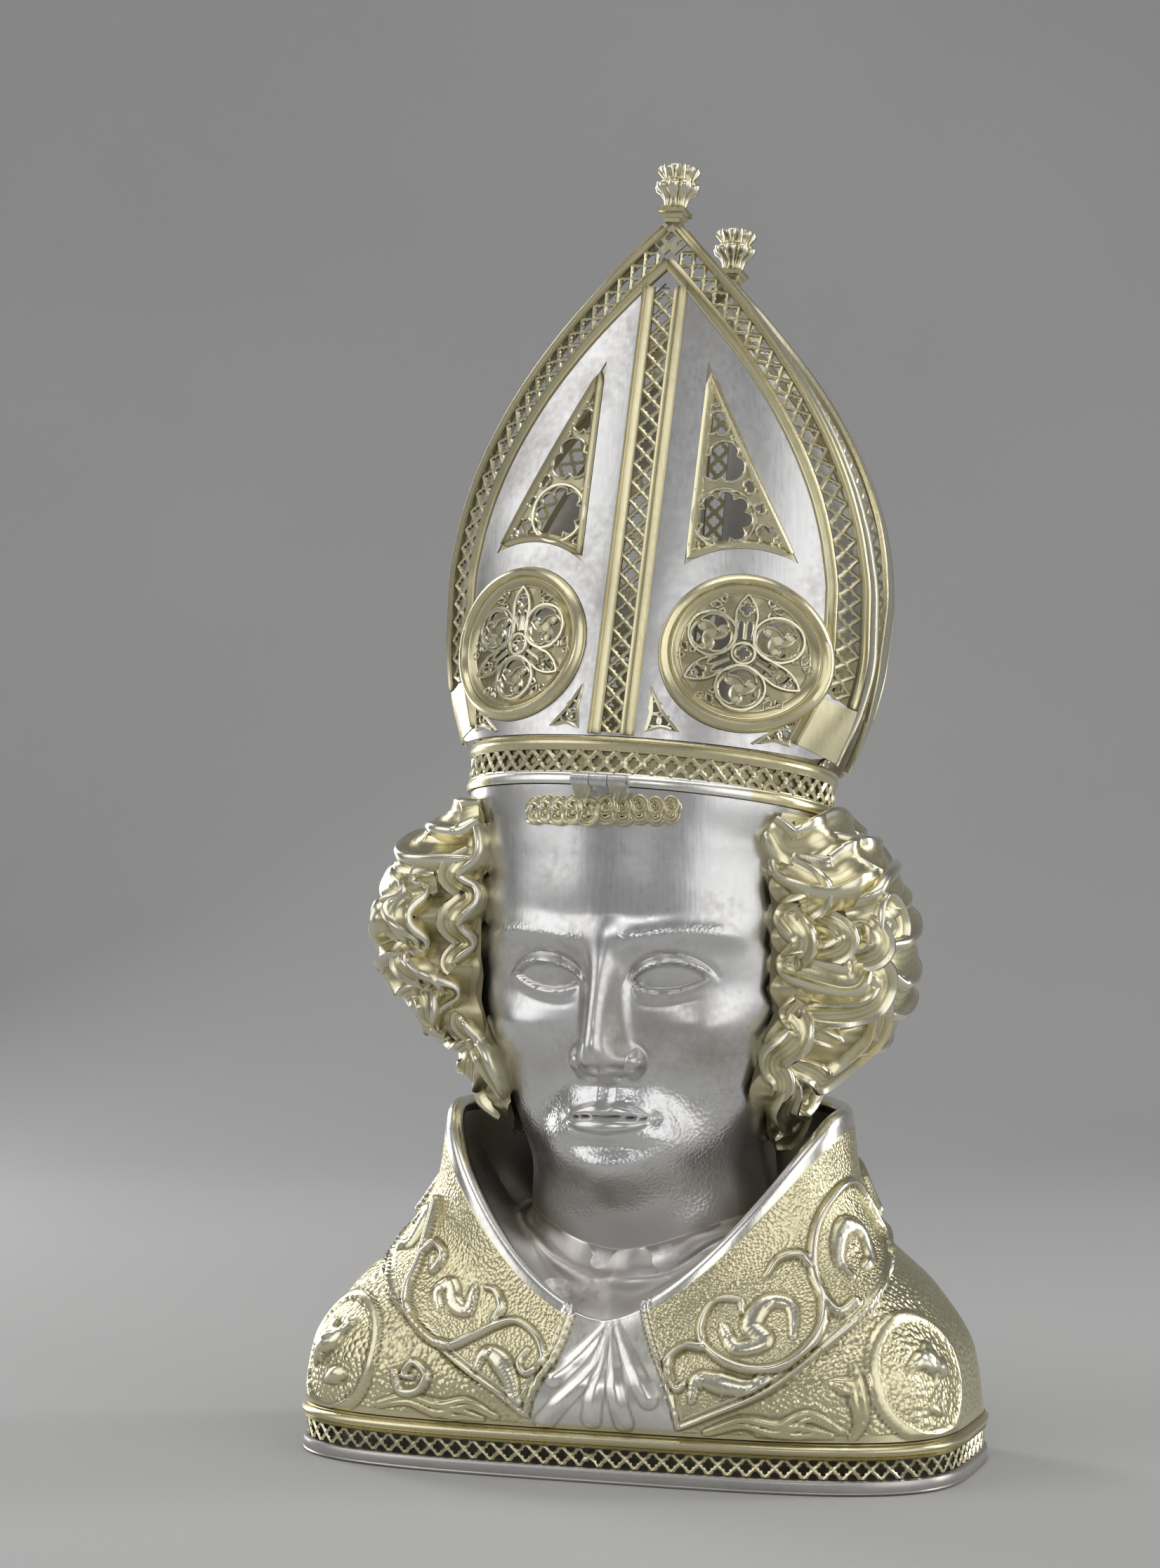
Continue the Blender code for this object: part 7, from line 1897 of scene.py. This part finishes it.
    def build_bands(self) -> None:
        """Make the gilt bands of lattice and moulding, the windows' frames and the turned-back flange."""
        form = Form()
        m = self.inner_moulding / 2
        ridge = [(-m, -0.0009), (-m, 0.0003), (-0.75 * m, 0.0006), (-0.55 * m, 0.0005), (0.15 * m, 0.0020),
                 (0.75 * m, 0.0007), (m, 0.0004), (m, -0.0009)]
        s = self.strip_moulding / 2
        strip_ridge = [(-s, -0.0009), (-s, 0.0003), (-0.7 * s, 0.0005), (0.0, 0.0021), (0.55 * s, 0.0007),
                       (0.8 * s, 0.0008), (s, 0.0003), (s, -0.0009)]
        o = self.outer_moulding / 2
        cord = [(-o, -0.0013), (-o, 0.0006), (-0.7 * o, 0.0012), (-0.2 * o, 0.0009), (0.2 * o, 0.0016),
                (0.7 * o, 0.0012), (o, 0.0002), (o, -0.0013)]
        top = self.height - 0.0006
        lattice_width = self.edge_lattice
        for side in (-1, 1):
            mirror = np.array([-side, 1])
            climb = np.linspace(self.band_foot, top, 110)
            self.run(form, self.edge_path(o, climb, side), (np.array(cord) * mirror)[::side], crest=0.3)
            inset = self.outer_moulding + lattice_width + m
            inner = self.edge_path(inset, np.linspace(self.foot + 0.0004, self.height, 130), side)
            inner = inner[side * inner[:, 0] > 0.0012]
            inner = np.vstack([inner, [(0.0, inner[-1, 1] + 0.0016)]])
            self.run(form, inner, (np.array(ridge) * mirror)[::side], crest=0.15)
            self.lay_band_foot(form, side)
            strip = np.linspace(self.foot + 0.0006, 0.1755, 90)
            centre = side * (self.strip_lattice / 2 + s)
            upright = np.stack([np.full(90, centre), strip], axis=1)
            self.run(form, upright, (np.array(strip_ridge) * mirror)[::side], crest=0.15)
            self.lay_edge_lattice(form, side)
            frame = self.window(side, -0.0016)
            arm = 0.0017
            self.run(form, frame, [(-arm, -0.0010), (-arm, 0.0002), (-0.5 * arm, 0.0006), (0.0, 0.0014),
                                   (0.6 * arm, 0.0004), (arm, -0.0004), (arm, -0.0010)][::side], True, crest=0.2)
            for outline in self.spandrels(side):
                self.run(form, outline, [(-0.0006, -0.0008), (-0.0006, 0.0002), (0.0, 0.0005), (0.0006, 0.0002),
                                         (0.0006, -0.0008)], True, crest=0.3)
                self.fill_spandrel(form, outline)
            self.turn_back(form, side)
        self.lay_strip_lattice(form)
        self.cap_apex(form)
        place_piece("mitre_" + self.name + "_bands", form, Finish.GILT, Body.MITRE,
                    ["mitre_" + self.name + "_panel"], 32.0)

    def lay_band_foot(self, form: Form, side: int) -> None:
        """Lay the plain gilt strip between the edge lattice and the rim."""
        heights = np.linspace(self.foot + 0.0004, self.band_foot - 0.0004, 9)
        rows = [self.edge_path(inset, heights, side) for inset in np.linspace(0.0004, 0.0122, 7)]
        outline = np.vstack([rows[0], [row[-1] for row in rows[1:-1]], rows[-1][::-1],
                             [row[0] for row in rows[-2:0:-1]]])
        outline = outline if signed_area(outline) > 0 else outline[::-1]
        cut = FlatCut.fill(outline, [], np.vstack([row[1:-1] for row in rows[1:-1]]))
        cut.plate(form, self.wrap, np.full(len(cut.places), 0.0004), -0.0010, hollow=0.35)

    def cap_apex(self, form: Form) -> None:
        """Close the apex where the two edge lattices meet, with a four-lobed opening and two small ones."""
        half = [(0.0, 0.1984), (0.0065, 0.1918), (0.0019, 0.1873), (0.0, 0.1893)]
        outline = np.array(half + [(-x, up) for x, up in half[2:0:-1]])[::-1]
        holes = [foiled((0.0, 0.1935), 0.0021, 4, 6)[::-1]]
        holes += [foiled((side * 0.0037, 0.1912), 0.0013, 4, 5)[::-1] for side in (-1, 1)]
        cut = FlatCut.fill(outline, holes, np.zeros((0, 2)))
        # The apex plate is marked fully dark: painted shade round its openings.
        cut.plate(form, self.wrap, np.full(len(cut.places), 0.0002), -0.0009, hollow=1.0)

    def lay_edge_lattice(self, form: Form, side: int) -> None:
        """Lay the lattice between the edge's mouldings."""
        heights = np.linspace(self.band_foot + 0.0010, 0.1935, 900)
        middle = self.edge_path(self.outer_moulding + self.edge_lattice / 2, heights, side)
        below = side * middle[:, 0] > 0.0042
        heights, middle = heights[below], middle[below]
        length = line_length(middle)
        share = np.concatenate([[0], np.cumsum(np.linalg.norm(np.diff(middle, axis=0), axis=1))]) / length

        def wrap(at: Array, h: Array, out: Array) -> Array:
            """Lay one place of the band beside the edge."""
            up = np.interp(at, share, heights)
            inset = self.outer_moulding + (h if side > 0 else self.edge_lattice - h)
            step = 0.0005
            slope = (self.half_width(up + step) - self.half_width(up - step)) / (2 * step)
            inward = unit(np.stack([-np.ones_like(slope), slope], axis=-1))
            x = self.half_width(up) - 0.0012 + inset * inward[..., 0]
            x = np.maximum(x, 0.0)
            return self.wrap(side * x, up + inset * inward[..., 1], out - 0.0002)

        self.lattice.lay(form, wrap, length, self.edge_lattice)

    def lay_strip_lattice(self, form: Form) -> None:
        """Lay the lattice of the middle strip."""
        low, high = self.foot + 0.0008, 0.1740

        def wrap(at: Array, h: Array, out: Array) -> Array:
            """Lay one place of the upright strip."""
            return self.wrap(self.strip_lattice / 2 - h, low + (high - low) * at, out - 0.0002)

        self.lattice.lay(form, wrap, high - low, self.strip_lattice)

    def fill_spandrel(self, form: Form, outline: Array) -> None:
        """Set three small round bars in a corner opening."""
        middle = outline.mean(axis=0)
        for corner in outline[::7]:
            spot = middle + 0.30 * (corner - middle)
            lobe = ring_of(tuple(spot), 0.0021, 14)
            self.run(form, lobe, [(-0.0004, -0.0006), (-0.0004, 0.0001), (0.0, 0.0003), (0.0004, 0.0001),
                                  (0.0004, -0.0006)], True, crest=0.4)

    def turn_back(self, form: Form, side: int) -> None:
        """Turn the edge back into a flange."""
        heights = np.linspace(self.foot, self.height, 90)
        path = self.edge_path(0.0, heights, side)
        front = self.flat_surface(path[:, 0], path[:, 1])
        _, spread = self.depths(heights)
        depth = np.clip(np.minimum(self.flange, spread - 0.0006 - self.sheet), 0, None) + self.sheet
        inset = self.edge_path(self.sheet, heights, side) - path
        rows = []
        for inner, back in ((0, -0.0010), (0, 0.25), (0, 0.75), (0, 0.80), (0, 0.95), (0, 1.0), (1, 1.0),
                            (1, 0.0)):
            deep = (depth * back if back > 0 else np.full_like(depth, back))
            shift = 0.0004 if 0.75 < back < 1.0 and not inner else 0.0
            point = front + np.stack([inner * inset[:, 0] + side * shift, deep, inner * inset[:, 1]], axis=1)
            rows.append(self.turned(point))
        grid = np.array(rows)
        silver = np.array([0.0, 0.8, 0.8, 0.1, 0.1, 0.1, 0.5, 0.5])[:, None] * np.ones(len(heights))
        faces = [list(face) for face in quads(8, 90, False, side > 0, True)]
        ends = [[row * 90 for row in range(8)], [row * 90 + 89 for row in reversed(range(8))]]
        faces += ends if side < 0 else [end[::-1] for end in ends]
        form.add(grid, faces, silver=silver)


LATHE_RING = [(0.0270, -0.0013), (0.0270, 0.0006), (0.0266, 0.0016), (0.0257, 0.0028), (0.0247, 0.0032),
              (0.0238, 0.0028), (0.0233, 0.0018), (0.0231, 0.0012), (0.0228, 0.0012), (0.0226, 0.0015),
              (0.0222, 0.0013), (0.0219, 0.0008), (0.0204, 0.0001), (0.0201, 0.0004), (0.0198, 0.0002),
              (0.0197, -0.0006), (0.0197, -0.0013)]
BAR = [(-0.00045, -0.0006), (-0.00045, 0.0002), (0.0, 0.0006), (0.00045, 0.0002), (0.00045, -0.0006)]
HEAVY_BAR = [(-0.0007, -0.0008), (-0.0007, 0.0002), (-0.0003, 0.0009), (0.0003, 0.0009), (0.0007, 0.0002),
             (0.0007, -0.0008)]


@dataclass
class Rosette:
    """Round window: a stepped frame round a pierced star of lancets and swirls."""

    panel: MitrePanel
    side_name: str
    side: int

    def around(self, turn: float, places: Sequence[Place]) -> Array:
        """Flat places turned round the rosette's middle."""
        cosine, sine = math.cos(turn), math.sin(turn)
        flat = np.array(places) @ np.array([[cosine, sine], [-sine, cosine]])
        centre = (self.side * self.panel.rosette_centre[0], self.panel.rosette_centre[1])
        return flat * (self.side, 1) + centre

    def swirl(self, middle: Place, start: float) -> Array:
        """Comma-shaped opening that curls round a middle."""
        bend = np.linspace(0, 1, 12)
        angle = start + 2.0 * bend
        reach = 0.0038 + 0.0018 * bend
        half = 0.0021 * np.sqrt(np.clip(1 - bend, 0, 1)) * (0.75 + 0.60 * np.sin(np.pi * bend)) + 0.0001
        outer = np.stack([(reach + half) * np.cos(angle), (reach + half) * np.sin(angle)], axis=1)
        inner = np.stack([(reach - half) * np.cos(angle), (reach - half) * np.sin(angle)], axis=1)
        cap = start - np.linspace(0.12, 0.88, 5) * math.pi
        head = np.stack([0.0038 * math.cos(start) + 0.0021 * 0.75 * -np.cos(cap - start) * math.cos(start)
                         - 0.0021 * 0.75 * -np.sin(cap - start) * math.sin(start),
                         0.0038 * math.sin(start) + 0.0021 * 0.75 * -np.cos(cap - start) * math.sin(start)
                         + 0.0021 * 0.75 * -np.sin(cap - start) * math.cos(start)], axis=1)
        return np.vstack([outer, inner[::-1][1:], head]) + middle

    def openings(self) -> list[Array]:
        """All openings of the star."""
        found = [foiled((0.0, 0.0), 0.0025, 4, 8)]
        for k in range(3):
            turn = math.radians(120 * k)
            cosine, sine = math.cos(turn), math.sin(turn)
            spin = np.array([[cosine, sine], [-sine, cosine]])
            for hand in (-1, 1):
                x = hand * 0.0014
                lancet = [(x - 0.0011, 0.0047), (x + 0.0011, 0.0047), (x + 0.0011, 0.0097), (x + 0.0008, 0.0108),
                          (x, 0.0118), (x - 0.0008, 0.0108), (x - 0.0011, 0.0097)]
                found.append(np.array(lancet) @ spin)
                for length, tilt in ((0.0034, 0.30), (0.0040, 1.55), (0.0030, 2.75)):
                    way = np.array([math.sin(tilt), math.cos(tilt)])
                    cross = np.array([way[1], -way[0]])
                    root = np.array([0.0068, 0.0158])
                    outline = ((0.0, 0), (0.3, 0.0009), (0.6, 0.0011), (1.0, 0), (0.6, -0.0011), (0.3, -0.0009))
                    dagger = [root + way * (0.0011 + s * length) + cross * w for s, w in outline]
                    found.append((np.array(dagger) * (hand, 1)) @ spin)
            found.append(foiled((0.0, 0.0152), 0.0024, 4, 6) @ spin)
            middle = np.array([0.0118 * math.cos(math.radians(30)), 0.0118 * math.sin(math.radians(30))])
            found += [self.swirl(middle, math.radians(120 * j + 20)) @ spin for j in range(3)]
        return found

    def build(self) -> None:
        """Make the frame and the star."""
        panel = self.panel
        form = Form()
        rows = [panel.wrap(*self.around(0.0, ring_of((0, 0), radius, 96)).T, out) for radius, out in LATHE_RING]
        form.add(np.array(rows), quads(len(rows), 96, True, self.side < 0, True), crest=0.1)
        holes = [self.around(0.0, hole) for hole in self.openings()]
        holes = [hole if signed_area(hole) < 0 else hole[::-1] for hole in holes]
        outline = self.around(0.0, ring_of((0, 0), 0.0200, 96))
        outline = outline if signed_area(outline) > 0 else outline[::-1]
        cut = FlatCut.fill(outline, holes, np.zeros((0, 2)))
        # The star's plate under the bars is marked fully dark: painted shade between the bars.
        cut.plate(form, panel.wrap, np.full(len(cut.places), -0.0003), -panel.sheet, hollow=2.2)
        for hole in holes:
            panel.run(form, hole, BAR, True, crest=0.45)
        panel.run(form, self.around(0.0, ring_of((0, 0), 0.0036, 28)), HEAVY_BAR, True, crest=0.5)
        for k in range(3):
            turn = math.radians(120 * k)
            middle = (0.0118 * math.cos(math.radians(30)), 0.0118 * math.sin(math.radians(30)))
            panel.run(form, self.around(turn, ring_of(middle, 0.0076, 44)), HEAVY_BAR, True, crest=0.5)
            arch = [(-0.0029, 0.0040), (-0.0031, 0.0100), (-0.0033, 0.0135), (-0.0022, 0.0172), (0.0, 0.0202)]
            for hand in (-1, 1):
                panel.run(form, self.around(turn, wander([(hand * x, y) for x, y in arch], 18)), HEAVY_BAR, crest=0.5)
        name = "rosette_" + panel.name + "_" + self.side_name
        place_piece(name + "_window", form, Finish.GILT, Body.MITRE, [name], 38.0)


def signed_area(loop: Array) -> float:
    """Area of a flat loop, positive when it runs anticlockwise."""
    following = np.roll(loop, -1, axis=0)
    return float(0.5 * (loop[:, 0] * following[:, 1] - following[:, 0] * loop[:, 1]).sum())


@dataclass
class Tracery:
    """Pointed window's bars: a large cusped light with smaller ones above and beside it."""

    panel: MitrePanel
    side_name: str
    side: int

    def build(self) -> None:
        """Make the bars."""
        panel, side = self.panel, self.side
        outline = panel.window(side)
        lights = [foiled((side * 0.0295, 0.0946), 0.0096, 8, 6, depth=0.24)]
        for x, up, radius, turn in ((0.0272, 0.1138, 0.0079, 1.57), (0.0238, 0.1274, 0.0046, 1.57),
                                    (0.0217, 0.1357, 0.0026, 1.57), (0.0205, 0.1407, 0.0012, 1.57),
                                    (0.0440, 0.0905, 0.0038, 0.5), (0.0492, 0.0868, 0.0014, 0.3),
                                    (0.0208, 0.0845, 0.0018, 1.2), (0.0372, 0.1065, 0.0026, 0.5),
                                    (0.0411, 0.0992, 0.0021, 1.0), (0.0203, 0.1040, 0.0013, 1.57),
                                    (0.0300, 0.1230, 0.0011, 0.5)):
            lights.append(foiled((side * x, up), radius, 3, 8, turn))
        holes = [hole if signed_area(hole) < 0 else hole[::-1] for hole in lights]
        outline = outline if signed_area(outline) > 0 else outline[::-1]
        form = Form()
        cut = FlatCut.fill(outline, holes, np.zeros((0, 2)))
        # The plate under the bars is marked fully dark: painted shade between the bars.
        cut.plate(form, panel.wrap, np.full(len(cut.places), -0.0005), -panel.sheet, hollow=2.2)
        for hole in holes:
            panel.run(form, hole, BAR, True, crest=0.45)
        panel.run(form, ring_of((side * 0.0295, 0.0946), 0.0102, 56), HEAVY_BAR, True, crest=0.5)
        name = "tracery_" + panel.name + "_" + self.side_name
        place_piece(name + "_bars", form, Finish.GILT, Body.MITRE, [name], 38.0)


@dataclass
class Finial:
    """Stepped square block, a cup of leaves with curled tips and a second ring of tips above."""

    panel: MitrePanel
    height: float = 0.0200
    reach: float = 0.0080
    sides: int = 96

    def build(self) -> None:
        """Make the finial."""
        panel = self.panel
        middle, _ = panel.depths(np.array(panel.height))
        centre = np.array([0, (1 if panel.flip else -1) * (float(middle) - 0.0012), panel.height + 0.0003])
        angle = np.arange(self.sides) / self.sides * FULL_TURN
        square = 1 / np.maximum(np.abs(np.cos(angle)), np.abs(np.sin(angle)))
        ribs = np.abs(np.cos(4 * angle)) ** 0.6
        plain = np.ones(self.sides)
        sections = [(0.0, 0.40, square, 0.0), (0.07, 0.38, square, 0.0), (0.10, 0.52, square, 0.0),
                    (0.15, 0.56, square, 0.0), (0.165, 0.68, square, 0.0), (0.235, 0.70, square, 0.0),
                    (0.25, 0.58, square, 0.0), (0.275, 0.54, square, 0.0), (0.285, 0.50, plain, 0.05),
                    (0.34, 0.52, plain, 0.14), (0.43, 0.58, plain, 0.20), (0.50, 0.72, plain, 0.22),
                    (0.55, 0.92, plain, 0.22), (0.60, 1.00, plain, 0.24), (0.65, 0.99, plain, 0.24),
                    (0.70, 0.84, plain, 0.18), (0.74, 0.68, plain, 0.06), (0.78, 0.68, plain, 0.08),
                    (0.84, 0.82, plain, 0.20), (0.90, 0.94, plain, 0.30), (0.955, 0.90, plain, 0.32),
                    (0.95, 0.66, plain, 0.18), (0.88, 0.42, plain, 0.0), (0.87, 0.05, plain, 0.0)]
        rows, crest = [], []
        for number, (share, spread, shape, depth) in enumerate(sections):
            turn = 0.5 if 0.70 < share else 0.0
            lobes = 1 - depth * (1 - np.abs(np.cos(4 * angle + turn * math.pi)) ** 0.6)
            radius = self.reach * spread * (shape / 1.15 if shape is square else shape) * lobes
            lift = 0.03 * depth * 4 * ribs if share > 0.55 else 0.0
            height = centre[2] + self.height * np.minimum(share + lift, 1.0) * plain
            rows.append(np.stack([centre[0] + radius * np.cos(angle), centre[1] + radius * np.sin(angle), height], 1))
            crest.append(np.clip(depth * 3 * ribs, 0, 1) * plain)
        grid = self.panel.frame.world(np.array(rows))
        form = Form()
        faces = [list(face) for face in quads(len(rows), self.sides, True)]
        faces += [list(range(self.sides))[::-1], [(len(rows) - 1) * self.sides + k for k in range(self.sides)]]
        form.add(grid, faces, crest=np.array(crest))
        place_piece("finial_" + panel.name + "_cup", form, Finish.GILT, Body.MITRE, ["finial_" + panel.name], 45.0)


@dataclass
class Hinge:
    """Three knuckles on a pin over the forehead; the middle one turns with the mitre."""

    frame: MitreFrame
    head: HeadForm
    across: float = 0.0006
    reach: float = 0.0060
    rise: float = 0.0008
    length: float = 0.0190
    radius: float = 0.0022
    pin: float = 0.0010
    leaf: float = 0.0014
    gap: float = 0.0003

    def build(self) -> None:
        """Make the knuckles and the pin."""
        middle = np.array([-(self.frame.half_depth + self.reach), self.rise])
        third = (self.length - 2 * self.gap) / 3
        left = self.across - self.length / 2
        world = self.frame.world(np.array([self.across, *middle]))
        skin = self.head.skin(np.array([0.0]), world[2] - 0.0045)[0]
        face = float(((skin - np.array(self.frame.centre)) @ self.frame.axes())[1])
        foot = middle[1] - 0.0055
        below = [(face - 0.0003 - self.leaf, foot), (face - 0.0005, foot)]
        edge = -(self.frame.half_depth + 0.7 * 0.0013) - 0.0003
        behind = [(edge, middle[1] - 0.0004), (edge, middle[1] + self.radius)]
        turns = {"left": (0.75, 1.17, below, Body.BUST), "middle": (0.0, 0.25, behind, Body.MITRE),
                 "right": (0.75, 1.17, below, Body.BUST)}
        for number, (name, (first, last, corners, body)) in enumerate(turns.items()):
            start = left + number * (third + self.gap)
            angle = FULL_TURN * np.linspace(last, first + (1 if first < last else 0), 28)
            shell = np.stack([self.radius * np.cos(angle), self.radius * np.sin(angle)], axis=1) + middle
            outline = np.vstack([corners, shell])
            bore = ring_of(tuple(middle), self.pin + 0.0001, 24)[::-1]
            if signed_area(outline) < 0:
                outline = outline[::-1]
            cut = FlatCut.fill(outline, [bore], np.zeros((0, 2)))

            def wrap(back: Array, up: Array, out: Array) -> Array:
                """Stand the section across the hinge."""
                return self.frame.world(np.stack([out, back, up], axis=-1))

            form = Form()
            cut.plate(form, wrap, np.full(len(cut.places), start + third), start, crest=0.3)
            place_piece("knuckle_" + name, form, Finish.SILVER, body, ["hinge_knuckle_" + name], 35.0)
        proud = 0.0006
        line = self.frame.world(np.array([[left - proud + (self.length + 2 * proud) * s, *middle]
                                          for s in (0, 0.5, 1)]))
        section = [(self.pin * math.cos(a), self.pin * math.sin(a)) for a in np.arange(24) / 24 * FULL_TURN]
        form = Form()
        swept(form, line, np.tile(self.frame.axes()[:, 2], (3, 1)), section, crest=0.4)
        place_piece("pin", form, Finish.SILVER, Body.BUST, ["hinge_pin"], 35.0)


# Studio


@dataclass
class Studio:
    """Pale floor that curves up behind, large soft lights and the camera."""

    azimuth: float = math.radians(19.0)
    distance: float = 1.2
    height: float = 0.2315
    shift_right: float = -0.0218
    focal_length: float = 79.3

    def build(self) -> None:
        """Make the studio."""
        self.build_floor()
        self.build_lights()
        self.build_camera()

    def build_floor(self) -> None:
        """Lay the floor and its curve."""
        way = np.array([-math.sin(self.azimuth), math.cos(self.azimuth), 0])
        right = np.array([way[1], -way[0], 0])
        bend = [(0.9 + 0.9 * math.sin(a), 0.9 - 0.9 * math.cos(a)) for a in np.linspace(0, math.pi / 2, 24)]
        profile = [(-3.0, 0.0), (-1.0, 0.0), (0.3, 0.0), *bend, (1.8, 4.0)]
        rows = [[way * back + right * x + np.array([0, 0, up]) for x in (-4.0, 4.0)] for back, up in profile]
        mesh = bpy.data.meshes.new("floor")
        mesh.from_pydata(np.array(rows).reshape(-1, 3).tolist(), [], quads(len(rows), 2, flip=True).tolist())
        mesh.shade_smooth()
        floor = bpy.data.objects.new("floor", mesh)
        bpy.context.collection.objects.link(floor)
        bench = Bench("paper")
        where = bench.node("ShaderNodeTexCoord", {}, {}, "Object")
        shade = bench.noise(where, 2.0).between(0.3, 0.7)
        colour = bench.mix(shade, (0.50, 0.50, 0.50), (0.54, 0.54, 0.535))
        mesh.materials.append(bench.finish(Base_Color=colour, Roughness=0.9))

    def build_lights(self) -> None:
        """Hang the lights: (name, place, size, power), each turned towards the bust."""
        lights = (("key", (-1.25, -0.95, 0.95), (1.4, 1.6), 8.0), ("fill", (1.35, -0.75, 0.55), (1.5, 1.7), 8.5),
                  ("top", (0.1, -0.1, 1.7), (1.3, 1.0), 6.0), ("left_strip", (-1.05, 0.55, 0.40), (0.30, 1.3), 6.5),
                  ("right_strip", (1.15, 0.50, 0.45), (0.30, 1.3), 6.0),
                  ("front", (0.25, -2.1, 0.9), (0.7, 0.5), 3.0))
        for name, place, size, power in lights:
            light = bpy.data.lights.new(name, "AREA")
            light.shape = "RECTANGLE"
            light.size, light.size_y = size
            light.energy = power
            lamp = bpy.data.objects.new(name, light)
            lamp.location = place
            aim = mathutils.Vector((0.0, 0.0, 0.22)) - lamp.location
            lamp.rotation_euler = aim.to_track_quat("-Z", "Y").to_euler()
            bpy.context.collection.objects.link(lamp)
        world = bpy.data.worlds.new("soft_room")
        world.use_nodes = True
        world.node_tree.nodes["Background"].inputs["Color"].default_value = (0.55, 0.55, 0.555, 1.0)
        world.node_tree.nodes["Background"].inputs["Strength"].default_value = 0.34
        bpy.context.scene.world = world
        bpy.context.scene.view_settings.view_transform = "Standard"

    def build_camera(self) -> None:
        """Set the camera at the photograph's angle."""
        forward = np.array([-math.sin(self.azimuth), math.cos(self.azimuth), 0])
        right = np.array([math.cos(self.azimuth), math.sin(self.azimuth), 0])
        place = np.array([0, 0, self.height]) - forward * self.distance + right * self.shift_right
        lens = bpy.data.cameras.new("camera")
        lens.lens = self.focal_length
        lens.sensor_width = 36.0
        camera = bpy.data.objects.new("camera", lens)
        camera.location = place.tolist()
        camera.rotation_euler = (math.pi / 2, 0.0, self.azimuth)
        bpy.context.collection.objects.link(camera)
        bpy.context.scene.camera = camera


def main() -> None:
    """Build the dressed bust, then the studio round it."""
    logging.basicConfig(level=logging.INFO, format="%(message)s")
    base = Base()
    shoulders = Shoulders(base)
    head = HeadForm()
    base.build()
    shoulders.build()
    Head(head, shoulders.collar).build()
    Hair(head).build()
    Forelock(head).build()
    MitreRim(head.mitre).build()
    for name, flip in FRONT_AND_BACK:
        MitrePanel(head.mitre, name, flip).build()
    Hinge(head.mitre, head).build()
    Studio().build()


if __name__ == "__main__":
    main()
